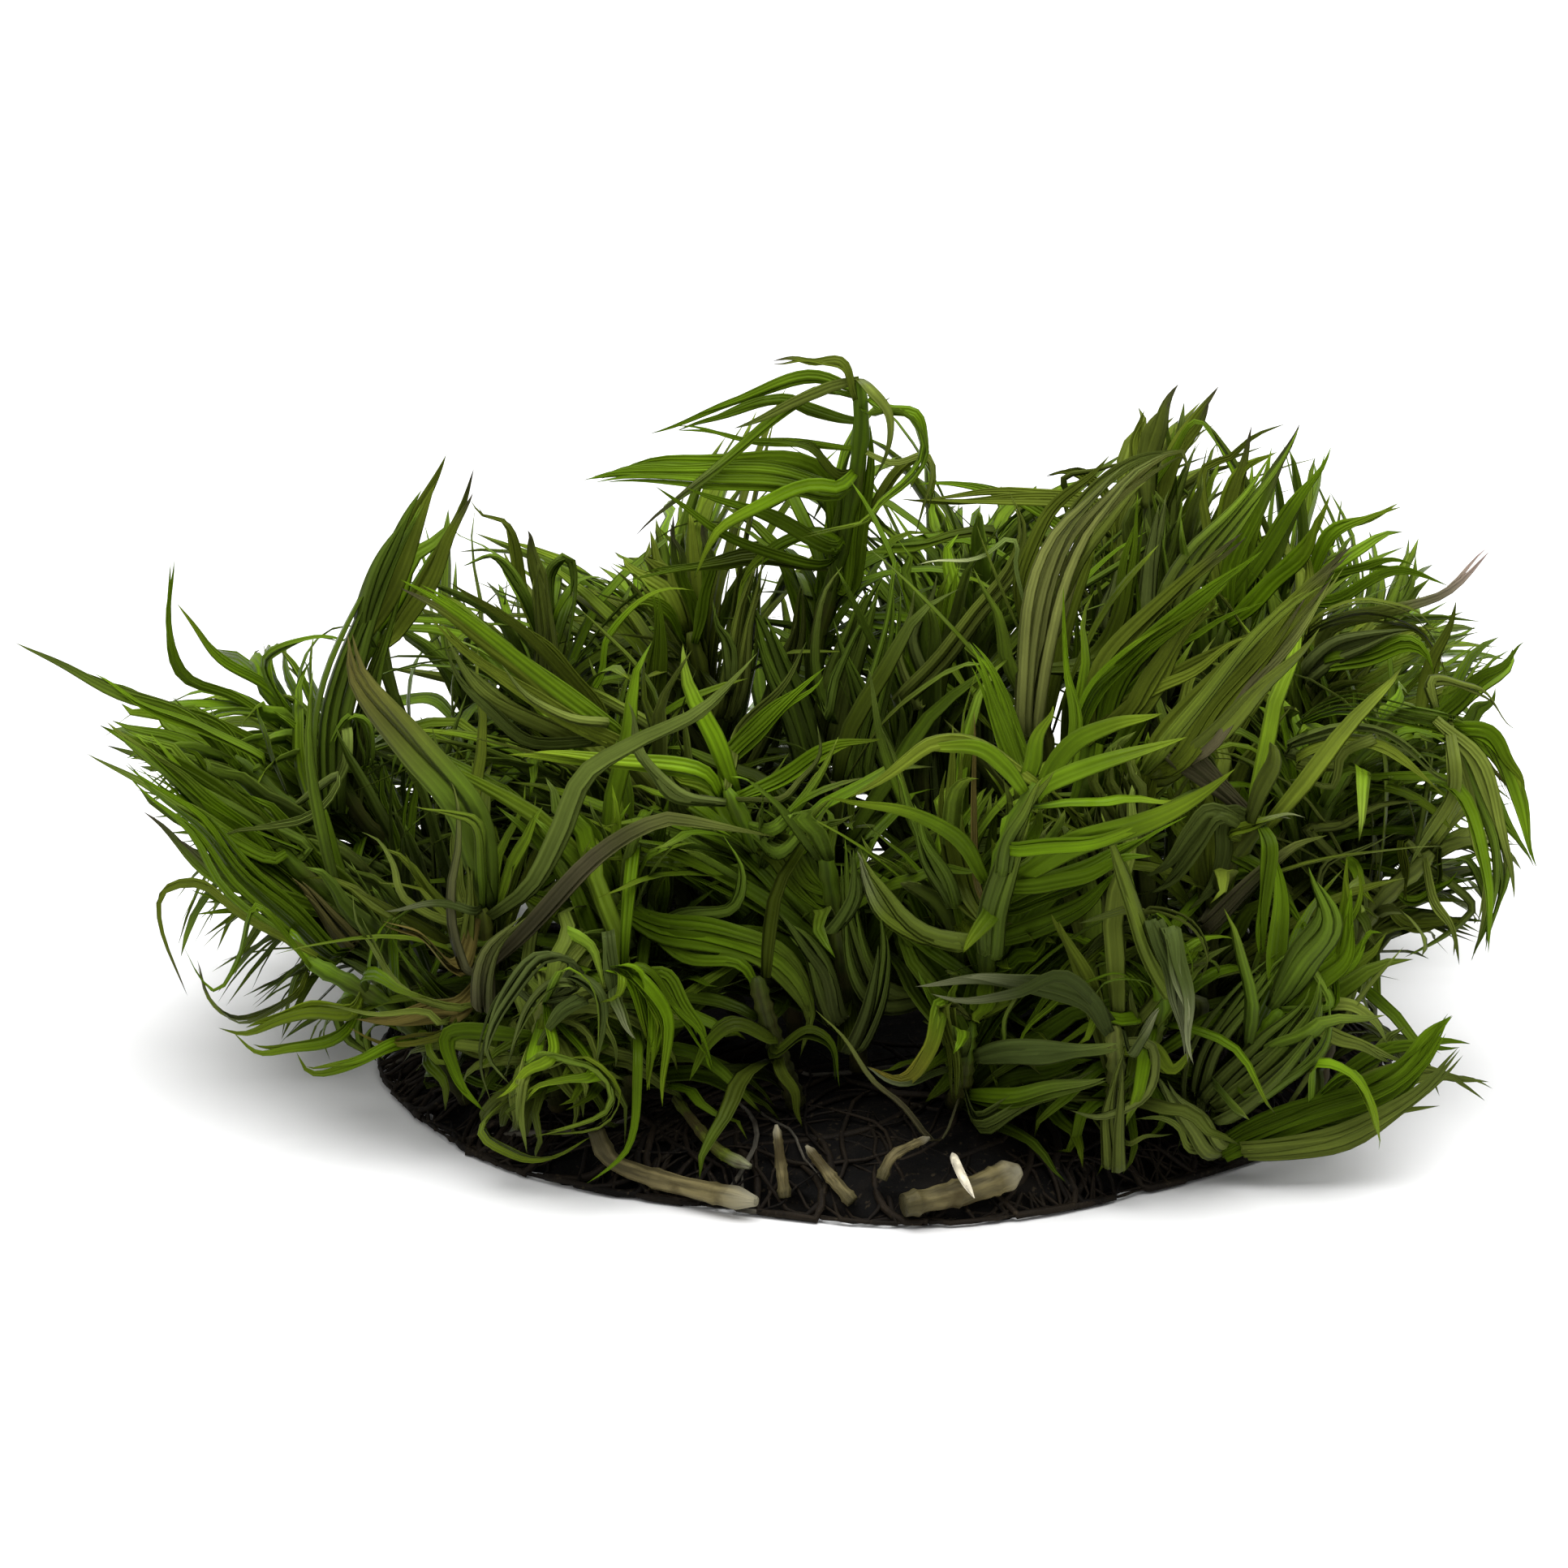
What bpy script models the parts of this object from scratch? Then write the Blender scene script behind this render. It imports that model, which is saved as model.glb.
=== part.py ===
"""A clump of pogostemon, a water plant with whorls of narrow leaves.

The clump stands on a flat-cut root mat. Its shoots rise and lean out all round, each one a stem with
its leaves grown on as one solid. Pale cut stems and a root lie at the front of the foot.

The frame has +X to the viewer's right, +Y away from the viewer and +Z up. The origin is the middle of
the mat's flat underside. Routes are lists of points as the eye sees them: millimetres across, up and
deep, looked at from a little above.
"""

import math
import random
from itertools import product

import bmesh
import bpy
import numpy as np
from mathutils import Matrix, Vector

MM = 0.001

# The eye that the routes are told from
VIEW_TILT = math.radians(18.0)
VIEW_DISTANCE = 400.0

# The root mat
MAT_RADIUS = 32.5
MAT_HEIGHT = 4.6
MAT_SIDES = 26
MAT_RINGS = ((1.0, 0.0), (0.97, 0.32), (0.8, 0.75), (0.5, 1.0))
MAT_LOBES = ((3, 0.022, 0.4), (5, 0.016, 1.9), (8, 0.012, 0.7))

# Stems and leaves
GAP = 0.3
STEM_ROOT_RADIUS = 1.05
STEM_TIP_RADIUS = 0.8
WHORL_SHARES = (0.42, 0.72, 0.97)
WHORL_HEIGHT = 1.1
WHORL_TURN = 2.4
FIRST_OUTWARD = Vector((0.31, -0.87, 0.39))
SLOTS = 4
STEM_STEPS = 8
LEAF_THICKNESS = 0.5
LEAF_STEPS = 6
LEAF_TAPER = (1.0, 0.78)
LEAF_END = 0.75
LEAF_FOOT = 0.8
LOWEST_LEAF = 1.2

# How far a told leaf may move along the line of sight to stay clear of the others, in millimetres, and
# how a free leaf may be turned round its stem, leaned to it and shortened
TOLD_SHIFTS = (0, 1, -1, 2, -2, 3, -3, 4.5, -4.5, 6, -6)
TURNS = (0, 16, -16, 30, -30)
LEANS = (1.0, 0.7, 1.35)
SIZES = (1.0, 0.8, 0.62)
SIGHT_MARGIN = 0.3

# How each kind of shoot carries its leaves: the angle off the stem at the lowest and the highest
# whorl, how far a leaf turns outward along its length, its length and width, how much it sags, and how
# many straight pieces the solid has along it
STYLES = {
    "brush": {"low": 36, "high": 12, "curl": -6, "length": 15, "width": 1.4, "sag": 0.08, "pieces": 2},
    "plume": {"low": 60, "high": 24, "curl": 24, "length": 15, "width": 1.3, "sag": 0.2, "pieces": 3},
    "star": {"low": 84, "high": 52, "curl": -22, "length": 13, "width": 1.4, "sag": 0.0, "pieces": 3},
    "droop": {"low": 62, "high": 38, "curl": 34, "length": 16, "width": 1.2, "sag": 0.6, "pieces": 3},
    "curl": {"low": 66, "high": 40, "curl": 100, "length": 11, "width": 1.0, "sag": 0.2, "pieces": 3},
}
LENGTH_SHARES = (0.82, 1.12)
CURL_SPREAD = (-12, 30)
SWAY_SPREAD = (-34, 34)

# The clump's outline as seen (across, up), clockwise from the left: the leaves keep inside it, but for
# the told ones
OUTLINE = (
    (-52.5, 22.5), (-50.5, 24.5), (-47.5, 23.5), (-45.5, 27), (-42, 27.5), (-38.5, 28.5), (-35, 29.5),
    (-31.5, 34.5), (-28, 38), (-26.5, 35.5), (-24, 34.5), (-20, 32), (-17.5, 33.5), (-13.5, 37.5),
    (-9.5, 42), (-4.5, 46), (-1, 46), (3, 42), (4, 37.5), (8.5, 38), (14.5, 38.5), (17.5, 43),
    (20, 44.5), (22.5, 44), (23.5, 40), (28, 42), (30.5, 40), (31.5, 35.5), (35.5, 35), (38.5, 31),
    (42.5, 27), (41, 23.5), (42.5, 18), (43.5, 13), (42, 9), (39, 6.5), (35, 5.5), (33.5, 3),
    (38.5, 1), (39, -3), (33.5, -5.5), (28, -6.5), (22.5, -7.5), (17.5, -9), (12, -10), (1, -10.5),
    (-9.5, -10), (-18, -9), (-23.5, -7.5), (-26, -6), (-28.5, -3.5), (-31.5, -1), (-37, -1),
    (-42.5, 0.5), (-46, 3.5), (-47.5, 9), (-45.5, 12), (-49, 16), (-51.5, 20),
)

# The materials' base colours, by tone
TONES = {
    "bright": (0.12, 0.2, 0.005),
    "green": (0.076, 0.124, 0.004),
    "olive": (0.1, 0.115, 0.01),
    "dark": (0.032, 0.046, 0.003),
    "pale": (0.17, 0.2, 0.05),
    "mat": (0.01, 0.007, 0.004),
    "bare": (0.3, 0.25, 0.12),
    "root": (0.6, 0.55, 0.42),
}
ROUGHNESS = 0.45

# Every shoot: its name, tone and kind, where it leaves the mat (x, y) and the route of its stem as
# seen (across, up, deep). All in millimetres.
SHOOTS = (
    ("shoot_left_low", "green", "brush", (-26, -11), ((-33, 6.5, -12), (-40, 13.5, -12))),
    ("shoot_left_tip", "green", "plume", (-25, -3), ((-35, 12.5, -4), (-43, 19.5, -4))),
    ("shoot_left_thin", "bright", "droop", (-24, 6), ((-33, 16, 6), (-40, 22.5, 6))),
    ("shoot_left_curls", "bright", "curl", (-26, -17), ((-32, 2.5, -20), (-38, 6, -20))),
    ("shoot_left_upright", "green", "brush", (-21, 2), ((-34, 15, 1), (-36, 22, 1), (-33.5, 28, 1))),
    ("shoot_left_round", "green", "droop", (-17, 10), ((-22, 20, 10), (-22, 28.5, 10))),
    ("shoot_left_inner", "bright", "plume", (-15, 1), ((-18, 15, 0), (-20.5, 22.5, -1))),
    ("shoot_olive_strands", "olive", "brush", (-9, -8), ((-12.5, 14, -11), (-18.5, 21.5, -12))),
    ("shoot_brown_tip", "olive", "plume", (-22, -14), ((-25.5, 5, -18), (-26.3, 9.5, -19))),
    ("shoot_knot", "pale", "curl", (-20, -21), ((-22.3, 0, -26), (-22, 3.2, -28))),
    ("shoot_knot_green", "bright", "droop", (-15.5, -22), ((-16, 1.5, -26), (-17, 5, -27))),
    ("shoot_drooping", "green", "plume", (-13, -14), ((-16.3, 7, -19), (-17.5, 10.5, -20.5))),
    ("shoot_mid_left_front", "bright", "plume", (-5, -14), ((-7.5, 12, -18), (-10, 17.5, -19))),
    ("shoot_mid_left_back", "olive", "plume", (-9, 8), ((-11, 22, 9), (-12.5, 28, 9))),
    ("shoot_top_centre", "bright", "droop", (-2, 7),
     ((-4.3, 24, 6), (-2.2, 34.5, 5), (-1.2, 41, 4), (-1.3, 45, 3.5))),
    ("shoot_centre_left", "green", "plume", (-1, -19), ((-2.5, 8, -22), (-3.5, 13.5, -23))),
    ("shoot_star", "bright", "star", (9, -20), ((7.4, 5.5, -26), (8.3, 13, -28.5), (10.6, 18, -28.5))),
    ("shoot_hooked", "bright", "plume", (4, -16), ((5.6, 6, -21), (4.6, 12, -21))),
    ("shoot_centre_back", "green", "brush", (4, 0), ((3, 17, 0), (3.5, 26, 0))),
    ("shoot_olive_strap", "olive", "brush", (11, -3), ((12, 14, -7), (11, 22, -8), (10, 29, -8))),
    ("shoot_top_right", "dark", "brush", (16, 9), ((18, 27, 9), (18.2, 37.5, 9))),
    ("shoot_right_spikes", "green", "brush", (20, 2), ((22, 20, 3), (23, 29.5, 3))),
    ("shoot_blades", "bright", "brush", (13, -10), ((13, 12, -15), (14.2, 21.5, -16))),
    ("shoot_big_blade", "olive", "brush", (18, -13), ((16.6, 11, -18), (17.5, 18.5, -19))),
    ("shoot_right_upper", "green", "plume", (23, 9), ((25.5, 24, 9), (28, 31, 9))),
    ("shoot_pink_tip", "olive", "plume", (25, 0), ((27.5, 17, -1), (29, 25, -1))),
    ("shoot_right_sweep_high", "green", "plume", (28, -5), ((32.5, 16, -6), (37, 22, -6))),
    ("shoot_right_sweep", "bright", "droop", (26, -11), ((29, 14.5, -13), (34, 22, -14), (38, 22.5, -14))),
    ("shoot_right_lattice", "pale", "droop", (28, -14), ((32, 8, -15), (37, 13.5, -14))),
    ("shoot_right_inner", "olive", "plume", (21, -17), ((22.5, 10, -21), (25.5, 15.5, -22))),
    ("shoot_right_fan", "bright", "brush", (19, -20), ((24, -1, -25), (27, 3, -26))),
    ("shoot_right_low", "pale", "brush", (21, -23.4), ((25.5, -5.6, -25), (29, -3.9, -25.5))),
    ("shoot_right_centre", "bright", "curl", (15, -22), ((18.7, 2, -28), (18.9, 6, -29))),
    ("shoot_low_right", "pale", "plume", (14.6, -27.2), ((16, -1.5, -29.5), (15.8, 2, -30.5))),
    ("shoot_low_centre", "green", "plume", (5, -24), ((5.8, -2, -27), (6.2, 2.2, -27.5))),
    ("shoot_interior", "dark", "plume", (-5, -5), ((-3, 12, -9), (-3, 18, -10))),
    ("shoot_front_dark", "dark", "plume", (-5, -24), ((-7, 1.5, -26), (-8, 5, -26))),
    ("shoot_top_inner", "green", "plume", (7, 8), ((6.4, 23, 9), (7, 31, 9))),
    ("shoot_back_right", "green", "plume", (23, 18), ((30, 21, 24), (33, 26, 29))),
    ("shoot_back_top_right", "olive", "plume", (12, 17), ((15, 27, 20), (16, 34, 22))),
    ("shoot_back_top", "green", "plume", (3, 16), ((5, 26, 19), (6.5, 33, 21))),
    ("shoot_back_top_left", "bright", "plume", (-10, 19), ((-13, 24, 23), (-15, 31, 26))),
    ("shoot_back_left", "green", "droop", (-21, 14), ((-27, 17, 17), (-32, 22, 20))),
    ("shoot_back_low_left", "olive", "droop", (-14, 24), ((-18, 17, 28), (-20, 20, 32))),
    ("shoot_back_far_left", "green", "plume", (-19, 21), ((-24.5, 18, 26), (-28, 22.5, 30))),
    ("shoot_back_low_mid", "bright", "plume", (-5, 27), ((-6.5, 18, 34.5), (-7.5, 22, 39.5))),
    ("shoot_back_low", "green", "droop", (5, 25), ((7, 18.5, 31.5), (8, 22, 36))),
    ("shoot_back_low_right", "green", "droop", (16, 23), ((20, 19, 28), (23, 21, 31))),
)

# Leaves that are told one by one: the width, then the route from the stem out to the tip as seen
TOLD_LEAVES = {
    "shoot_left_low": (
        (1.6, ((-42, 14.5, -12.5), (-47, 18.5, -13), (-51.4, 22, -13.5))),
        (1.5, ((-41, 13, -13), (-47, 16.5, -14.5), (-52.8, 20, -15))),
        (1.5, ((-38, 9.5, -13), (-44.5, 12, -14.5), (-49, 16, -15))),
    ),
    "shoot_left_tip": (
        (1.2, ((-46, 22.2, -4.5), (-51, 24, -5), (-57.7, 27.3, -6))),
        (1.2, ((-44, 21.5, -3), (-49, 23.2, -3), (-53.6, 25.4, -3))),
    ),
    "shoot_left_thin": (
        (0.9, ((-43, 23.6, 5.5), (-46.4, 25, 5), (-47.5, 29, 5), (-47.1, 32.8, 5))),
        (0.9, ((-41, 24.5, 7), (-44.4, 26.6, 7.5), (-46.8, 30, 7.5))),
        (1.1, ((-41, 26, 6), (-37.5, 27.6, 6), (-34.6, 27, 6))),
    ),
    "shoot_left_curls": (
        (0.8, ((-42.4, 9, -20), (-45.1, 11.1, -20), (-47.6, 10.6, -20), (-47.7, 8, -20), (-46, 3.8, -20))),
        (0.8, ((-41.3, 9.6, -22), (-42.5, 6.3, -22), (-43.9, 4, -22), (-45.2, 4.9, -22), (-46.4, 7, -22))),
        (0.9, ((-38.8, 3.6, -21), (-42.2, 2, -20.5), (-44.4, 3.4, -20.5), (-45.3, 5.8, -20.5))),
        (1.0, ((-35.5, 1.2, -22), (-38.6, 0.2, -23), (-41, 0, -23), (-42.9, 1.2, -23))),
        (1.1, ((-32.2, 0.4, -23), (-35, -0.8, -24), (-37.6, -1.4, -24), (-38.6, -0.2, -24))),
    ),
    "shoot_left_upright": (
        (2.0, ((-32.6, 31, 0.5), (-30.6, 36, 0), (-28.9, 39.9, 0))),
        (1.7, ((-32, 28.3, 2), (-29, 33.5, 2.4), (-26.9, 38.9, 2.6))),
        (1.5, ((-34.5, 29, -1), (-32.8, 33.4, -1.8), (-30.6, 37.6, -2.2))),
    ),
    "shoot_left_round": (
        (1.3, ((-22.5, 31, 9), (-23.2, 33.6, 8), (-23.5, 34.8, 7))),
        (1.3, ((-22, 31.6, 10.5), (-20.9, 33, 10.5), (-20.4, 31.6, 10.5), (-20.9, 25, 10))),
        (1.0, ((-23.6, 30.6, 9), (-25.6, 33, 8.5), (-27.8, 32.4, 8))),
        (1.0, ((-23.4, 29.5, 12), (-24.6, 34.8, 12.5), (-26.4, 35.8, 13), (-27.1, 37, 13))),
    ),
    "shoot_olive_strands": (
        (1.7, ((-20.3, 22.6, -12.5), (-26, 27.4, -14), (-31.9, 31.1, -15))),
        (1.6, ((-19, 23.4, -11), (-23.5, 28, -11.5), (-28.5, 31.5, -12))),
        (1.5, ((-20.4, 21, -13.5), (-25.6, 23.6, -15), (-28.9, 27.4, -16))),
    ),
    "shoot_brown_tip": (
        (2.7, ((-26.3, 12.5, -19.5), (-27.5, 16.4, -20.5), (-31, 20.6, -21.5), (-34.6, 24.8, -22),
               (-35.3, 27.9, -22))),
        (1.6, ((-23, 11, -21), (-21.2, 14.4, -22), (-19.6, 18.4, -22.5), (-15.8, 20.6, -23),
               (-11.9, 22.6, -23), (-8.1, 26.8, -22.5))),
        (1.5, ((-23.5, 7.8, -22), (-19.5, 12.2, -24.5), (-15, 15.2, -25.5), (-12.4, 15.5, -26),
               (-6.5, 14.1, -26.5))),
        (1.7, ((-27.9, 5.6, -22), (-30.5, 7.8, -24), (-33, 8.6, -25))),
        (1.0, ((-27.6, 10, -17), (-28.1, 13.6, -16.5), (-27.9, 16, -16))),
    ),
    "shoot_knot": (
        (1.6, ((-20.3, 5, -29.5), (-18.4, 3.4, -31), (-18.6, -1.3, -31.5))),
        (1.6, ((-24.5, 4, -28), (-26.2, 0.6, -28.5), (-25.8, -3.4, -29))),
        (1.1, ((-22.6, -1.2, -30), (-19.5, -0.4, -31.8), (-17.3, -2.6, -32), (-18.6, -5, -31),
               (-22.8, -5.6, -30.5))),
        (1.4, ((-26.2, -5, -28), (-24, -6.8, -28.5), (-21.6, -7, -29), (-19, -5.7, -30))),
        (1.5, ((-28.4, 1.2, -26), (-27.9, -1.8, -27), (-26.1, -4, -27.8))),
    ),
    "shoot_knot_green": (
        (1.5, ((-15, 4, -28.5), (-14.7, 1, -29.5), (-15.3, -2.6, -30))),
        (1.5, ((-14, 5, -26), (-12.2, 2, -27), (-10.8, -1.1, -27.5))),
        (1.2, ((-17.9, 8, -27.5), (-17.4, 4, -29.4), (-15.9, 0.8, -30.5))),
    ),
    "shoot_drooping": (
        (2.5, ((-14.5, 8.4, -22), (-11, 7.9, -23.5), (-6.6, 6.3, -24.5), (-4.4, 3, -25), (-5, -0.4, -25))),
        (1.3, ((-13, 9, -21), (-9.7, 9.6, -22), (-9, 12.2, -22.5), (-10.2, 14.5, -22.5))),
        (1.4, ((-13, 6.6, -23), (-9, 5.8, -25.5), (-7.2, 1.9, -26.5))),
    ),
    "shoot_mid_left_front": (
        (1.5, ((-12, 18.7, -19.5), (-18.4, 19.5, -20), (-24.8, 19.8, -20))),
        (1.2, ((-13.4, 17.2, -21), (-15.6, 19.8, -22), (-16.8, 23.3, -22.5))),
        (1.5, ((-6, 18.5, -19), (-2.6, 20.6, -19.5), (0.5, 20.8, -20))),
    ),
    "shoot_mid_left_back": (
        (1.1, ((-14, 29.4, 8), (-16, 30, 7.5), (-18.1, 27.4, 7))),
        (1.2, ((-13, 31.6, 9), (-13.6, 34.2, 9), (-13.9, 35.9, 9))),
        (1.2, ((-11.5, 31, 9), (-11.4, 33.6, 9), (-12, 36.2, 9))),
    ),
    "shoot_top_centre": (
        (1.2, ((-4.4, 44.1, 3), (-9.8, 40, 2), (-16.3, 34.4, 1))),
        (0.9, ((-2.4, 46, 3), (-4.6, 46.2, 3), (-7.1, 46.3, 3))),
        (1.1, ((-4.6, 45.2, 5), (-9.2, 43.7, 6), (-15.4, 41.4, 7))),
        (1.7, ((-4, 38.9, 4), (-10.1, 39.5, 3), (-15, 39.2, 2.5), (-19.7, 38.1, 2))),
        (1.4, ((-4.5, 37.5, 5), (-7.3, 36.7, 5), (-10, 35.2, 4.5), (-12.4, 31.6, 4))),
        (1.1, ((0.6, 43, 2.5), (2.4, 42.6, 2), (3.1, 40.6, 2), (2.2, 37.6, 1.5))),
        (1.0, ((1, 38.5, 5), (3.2, 39.8, 5), (3.7, 38, 5), (2.7, 35, 5))),
        (1.2, ((-4.3, 34.7, 3.5), (-8.1, 32.8, 3), (-9.8, 29, 2.5))),
    ),
    "shoot_star": (
        (1.6, ((11.6, 18, -30), (15.7, 19.6, -31), (20.7, 21.2, -31))),
        (1.5, ((12.9, 20.6, -28.5), (15.5, 21.8, -28.5), (19, 22.8, -28.5))),
        (1.5, ((10.6, 20.5, -28), (11, 22, -28), (11.8, 23.2, -28))),
        (1.3, ((8.6, 19, -28.5), (6.4, 20.4, -28.5), (2.5, 20.5, -28))),
        (1.3, ((5.4, 14.4, -30), (2, 16.1, -31), (-3.3, 17, -31))),
        (2.0, ((13.7, 14.2, -31), (19.9, 16.2, -32), (23.8, 19.2, -32))),
        (1.3, ((12.2, 11.4, -29.5), (15, 12.4, -30.5), (18.4, 13.4, -31))),
        (1.6, ((7.6, 9.6, -29.5), (6.9, 8.4, -30.5), (5.9, 6.6, -31.5))),
    ),
    "shoot_hooked": (
        (1.6, ((3.3, 7.6, -24), (0.6, 9.2, -25), (-0.7, 11.3, -25), (-1.2, 13.6, -25))),
        (1.3, ((3.3, 14, -22), (2, 16.6, -22.5), (1.2, 19, -23))),
        (1.2, ((2.4, 15.6, -19), (0.6, 20.4, -18), (-0.8, 25.8, -18))),
    ),
    "shoot_olive_strap": (
        (1.6, ((10.9, 32, -8.5), (13.5, 36.6, -9), (17, 39.6, -9), (20, 40.4, -9))),
        (1.5, ((12.2, 30.8, -9.5), (14.8, 35.2, -11), (18, 38.2, -11.5))),
        (1.4, ((9.6, 32, -7), (11.8, 36.4, -6.5), (15.6, 40, -6))),
    ),
    "shoot_top_right": (
        (1.9, ((18, 40, 8.6), (18.8, 42.4, 8.2), (20.1, 44.8, 8))),
        (1.7, ((19.6, 39.6, 9.4), (21.4, 42.6, 9.8), (22.7, 44.7, 10))),
        (1.4, ((17.3, 39.6, 10), (17.2, 41.2, 10.5), (17.9, 43, 11))),
    ),
    "shoot_right_spikes": (
        (1.7, ((23.6, 32.6, 3), (26, 37.6, 3), (28.1, 42.2, 3))),
        (1.6, ((24.6, 32, 4), (28, 36.8, 5), (30.3, 40.6, 5.5))),
        (1.5, ((23, 33, 4.4), (24, 38, 5), (25.1, 42, 5.5))),
        (1.5, ((25.2, 30.4, 2), (28.6, 34, 1.4), (30.2, 37.5, 1))),
    ),
    "shoot_blades": (
        (2.0, ((16.5, 25.6, -17), (21, 29.8, -18), (25.7, 33.7, -18.5))),
        (1.8, ((15, 25.8, -15.5), (19.4, 30.4, -15.5), (24.4, 34.8, -15.5))),
        (1.6, ((16.8, 23.4, -16.5), (22.4, 26.6, -17), (27, 29.2, -17.5))),
    ),
    "shoot_big_blade": (
        (2.5, ((19.6, 21.2, -20), (26, 27.6, -21), (31.9, 34, -21.5))),
        (1.8, ((19.8, 19, -21), (25.4, 24.2, -22.8), (29.4, 28.6, -23.5))),
    ),
    "shoot_right_upper": (
        (1.3, ((30, 34.4, 9), (32.6, 35.8, 9), (34.9, 36.7, 9))),
        (1.3, ((30.8, 32, 8), (33.4, 32.8, 7.6), (35.9, 32.6, 7.5))),
        (1.3, ((30.6, 30.4, 10.5), (34.4, 32.4, 11), (38.1, 31.2, 11))),
    ),
    "shoot_pink_tip": (
        (1.2, ((30, 28.4, -2), (34.5, 29.8, -2.6), (38, 31, -3), (40.8, 33.8, -3))),
        (1.1, ((31.6, 27, -2.4), (35.6, 28.6, -3), (38.1, 25.2, -3.4))),
    ),
    "shoot_right_sweep_high": (
        (1.5, ((39, 24, -6.5), (41, 25.6, -7), (43.3, 27.4, -7))),
        (1.4, ((39.2, 22.2, -7.4), (40.4, 23.4, -8), (41.2, 24.5, -8.4))),
        (1.3, ((36.6, 24.6, -5), (37.6, 27.4, -4.6), (38.7, 30.3, -4.4))),
    ),
    "shoot_right_sweep": (
        (1.5, ((40.6, 21.4, -14.5), (42.2, 19.4, -15), (43, 17.6, -15))),
        (1.4, ((41, 20.4, -13), (43, 16.4, -12.6), (43.8, 12.4, -12.4))),
        (1.5, ((40.2, 19.4, -16), (41.8, 14, -17), (42.2, 10.3, -17))),
        (1.4, ((38.4, 18, -17), (40.5, 12, -18), (40.8, 6.8, -18))),
        (1.4, ((37, 25, -13), (40, 24.4, -12), (42.6, 21.6, -11.6))),
    ),
    "shoot_right_lattice": (
        (0.9, ((39.4, 13, -13), (40.6, 9.6, -13), (39.6, 6.3, -13))),
        (0.9, ((37, 10.5, -16), (38.2, 8.6, -16.5), (38.7, 6, -17))),
    ),
    "shoot_right_fan": (
        (2.6, ((28.3, 6.2, -27), (30, 9, -27.5), (28.7, 12.6, -27.5))),
        (2.2, ((29, 4.4, -26.5), (31.4, 7, -26.5), (31.5, 11.2, -26))),
        (1.7, ((26.6, 6.6, -25), (27, 10.6, -24.4), (26, 14.2, -24))),
    ),
    "shoot_right_low": (
        (2.8, ((31.5, -3.4, -26.5), (35.2, -1.2, -27), (38.3, 2.7, -27))),
        (1.5, ((33, 0, -24), (36.4, 0.8, -23), (39.6, 0.6, -22.5))),
        (1.3, ((33, -1.4, -24.5), (37, -1.1, -24), (40.8, -2, -23.5))),
        (1.2, ((31.4, -1.2, -27.5), (32.8, -3.2, -28.6), (33.5, -5.6, -28.6))),
    ),
    "shoot_right_centre": (
        (1.3, ((17.8, 9.4, -29.5), (20.7, 8.8, -30), (22, 6.5, -30.3), (21.4, 4.3, -30.3))),
        (1.7, ((19.4, 8.4, -31), (20.4, 4.2, -32.6), (21, -0.7, -33))),
        (1.1, ((17.6, 9, -30.5), (16.2, 12.6, -31), (15.1, 16.2, -31.2))),
    ),
    "shoot_low_right": (
        (1.7, ((13.7, 3.8, -32), (8, 4.9, -33), (2.7, 4.7, -33.5))),
        (1.5, ((14.2, 4.6, -30.5), (12.9, 7.2, -30.5), (11.8, 9.4, -30.5))),
        (1.1, ((17, 0, -32), (18, 1.6, -32.4), (18.9, 3, -32.6))),
    ),
    "shoot_low_centre": (
        (2.0, ((9.4, 0.2, -29), (12.8, 0.2, -30), (16.2, 0.6, -30.5))),
        (1.3, ((4.4, 3.2, -29), (3.6, 0.4, -30.6), (2, -1.8, -31), (-0.6, -0.8, -31))),
        (1.6, ((8.8, -3, -29), (11.8, -2.4, -30), (15.4, -1.6, -30.5))),
    ),
    "shoot_back_top_right": (
        (1.2, ((12.6, 35, 21), (7.4, 37.8, 20.5), (2.4, 37.9, 20))),
        (1.2, ((15.4, 37, 22), (13.6, 38.8, 22), (11.2, 38.6, 22))),
    ),
    "shoot_back_low_mid": (
        (1.3, ((-8, 23, 43), (-8.6, 22.8, 48), (-9.4, 21.5, 52.6))),
        (1.2, ((-5, 22.6, 42.5), (-3, 22.4, 47), (-1.6, 21, 51))),
    ),
    "shoot_back_low": (
        (1.2, ((8.8, 22.6, 39.5), (10.4, 22.8, 44), (12.6, 22, 48.6))),
    ),
    "shoot_back_far_left": (
        (1.2, ((-29.6, 23.4, 33.5), (-32, 23.4, 37.5), (-34.6, 22.6, 41))),
    ),
}

# Bare stems and roots that lie on the front of the mat: tone, radius, and route as seen (across, up,
# height above the mat)
BARE_STEMS = (
    ("cut_stem_left", "bare", 0.85, ((-18.6, -5.2, 2.2), (-17.3, -7.4, 0.2), (-12.4, -9.0, 0.2),
                                     (-7.9, -9.9, 0.2))),
    ("cut_stem_right", "bare", 1.15, ((1.9, -10.1, 0.2), (6.5, -9.0, 0.5), (9.6, -7.7, 0.9))),
    ("stub_left", "bare", 0.55, ((-6.0, -9.6, 0.2), (-6.3, -7.3, 2.0), (-6.6, -4.8, 4.2))),
    ("stub_middle", "bare", 0.6, ((-1.5, -9.9, 0.2), (-2.9, -8.3, 0.5), (-4.6, -6.2, 1.4))),
    ("stub_right", "bare", 0.5, ((0.4, -8.4, 1.2), (1.2, -6.8, 1.6), (3.6, -5.6, 1.6))),
    ("stem_dark_left", "dark", 0.5, ((-13.3, -3.1, 0.4), (-10.6, -6.4, 0.4), (-8.3, -7.6, 0.4))),
    ("root_white", "root", 0.35, ((5.1, -6.6, 1.6), (5.7, -8.0, 3.8), (6.6, -9.6, 3.2))),
)


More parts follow.
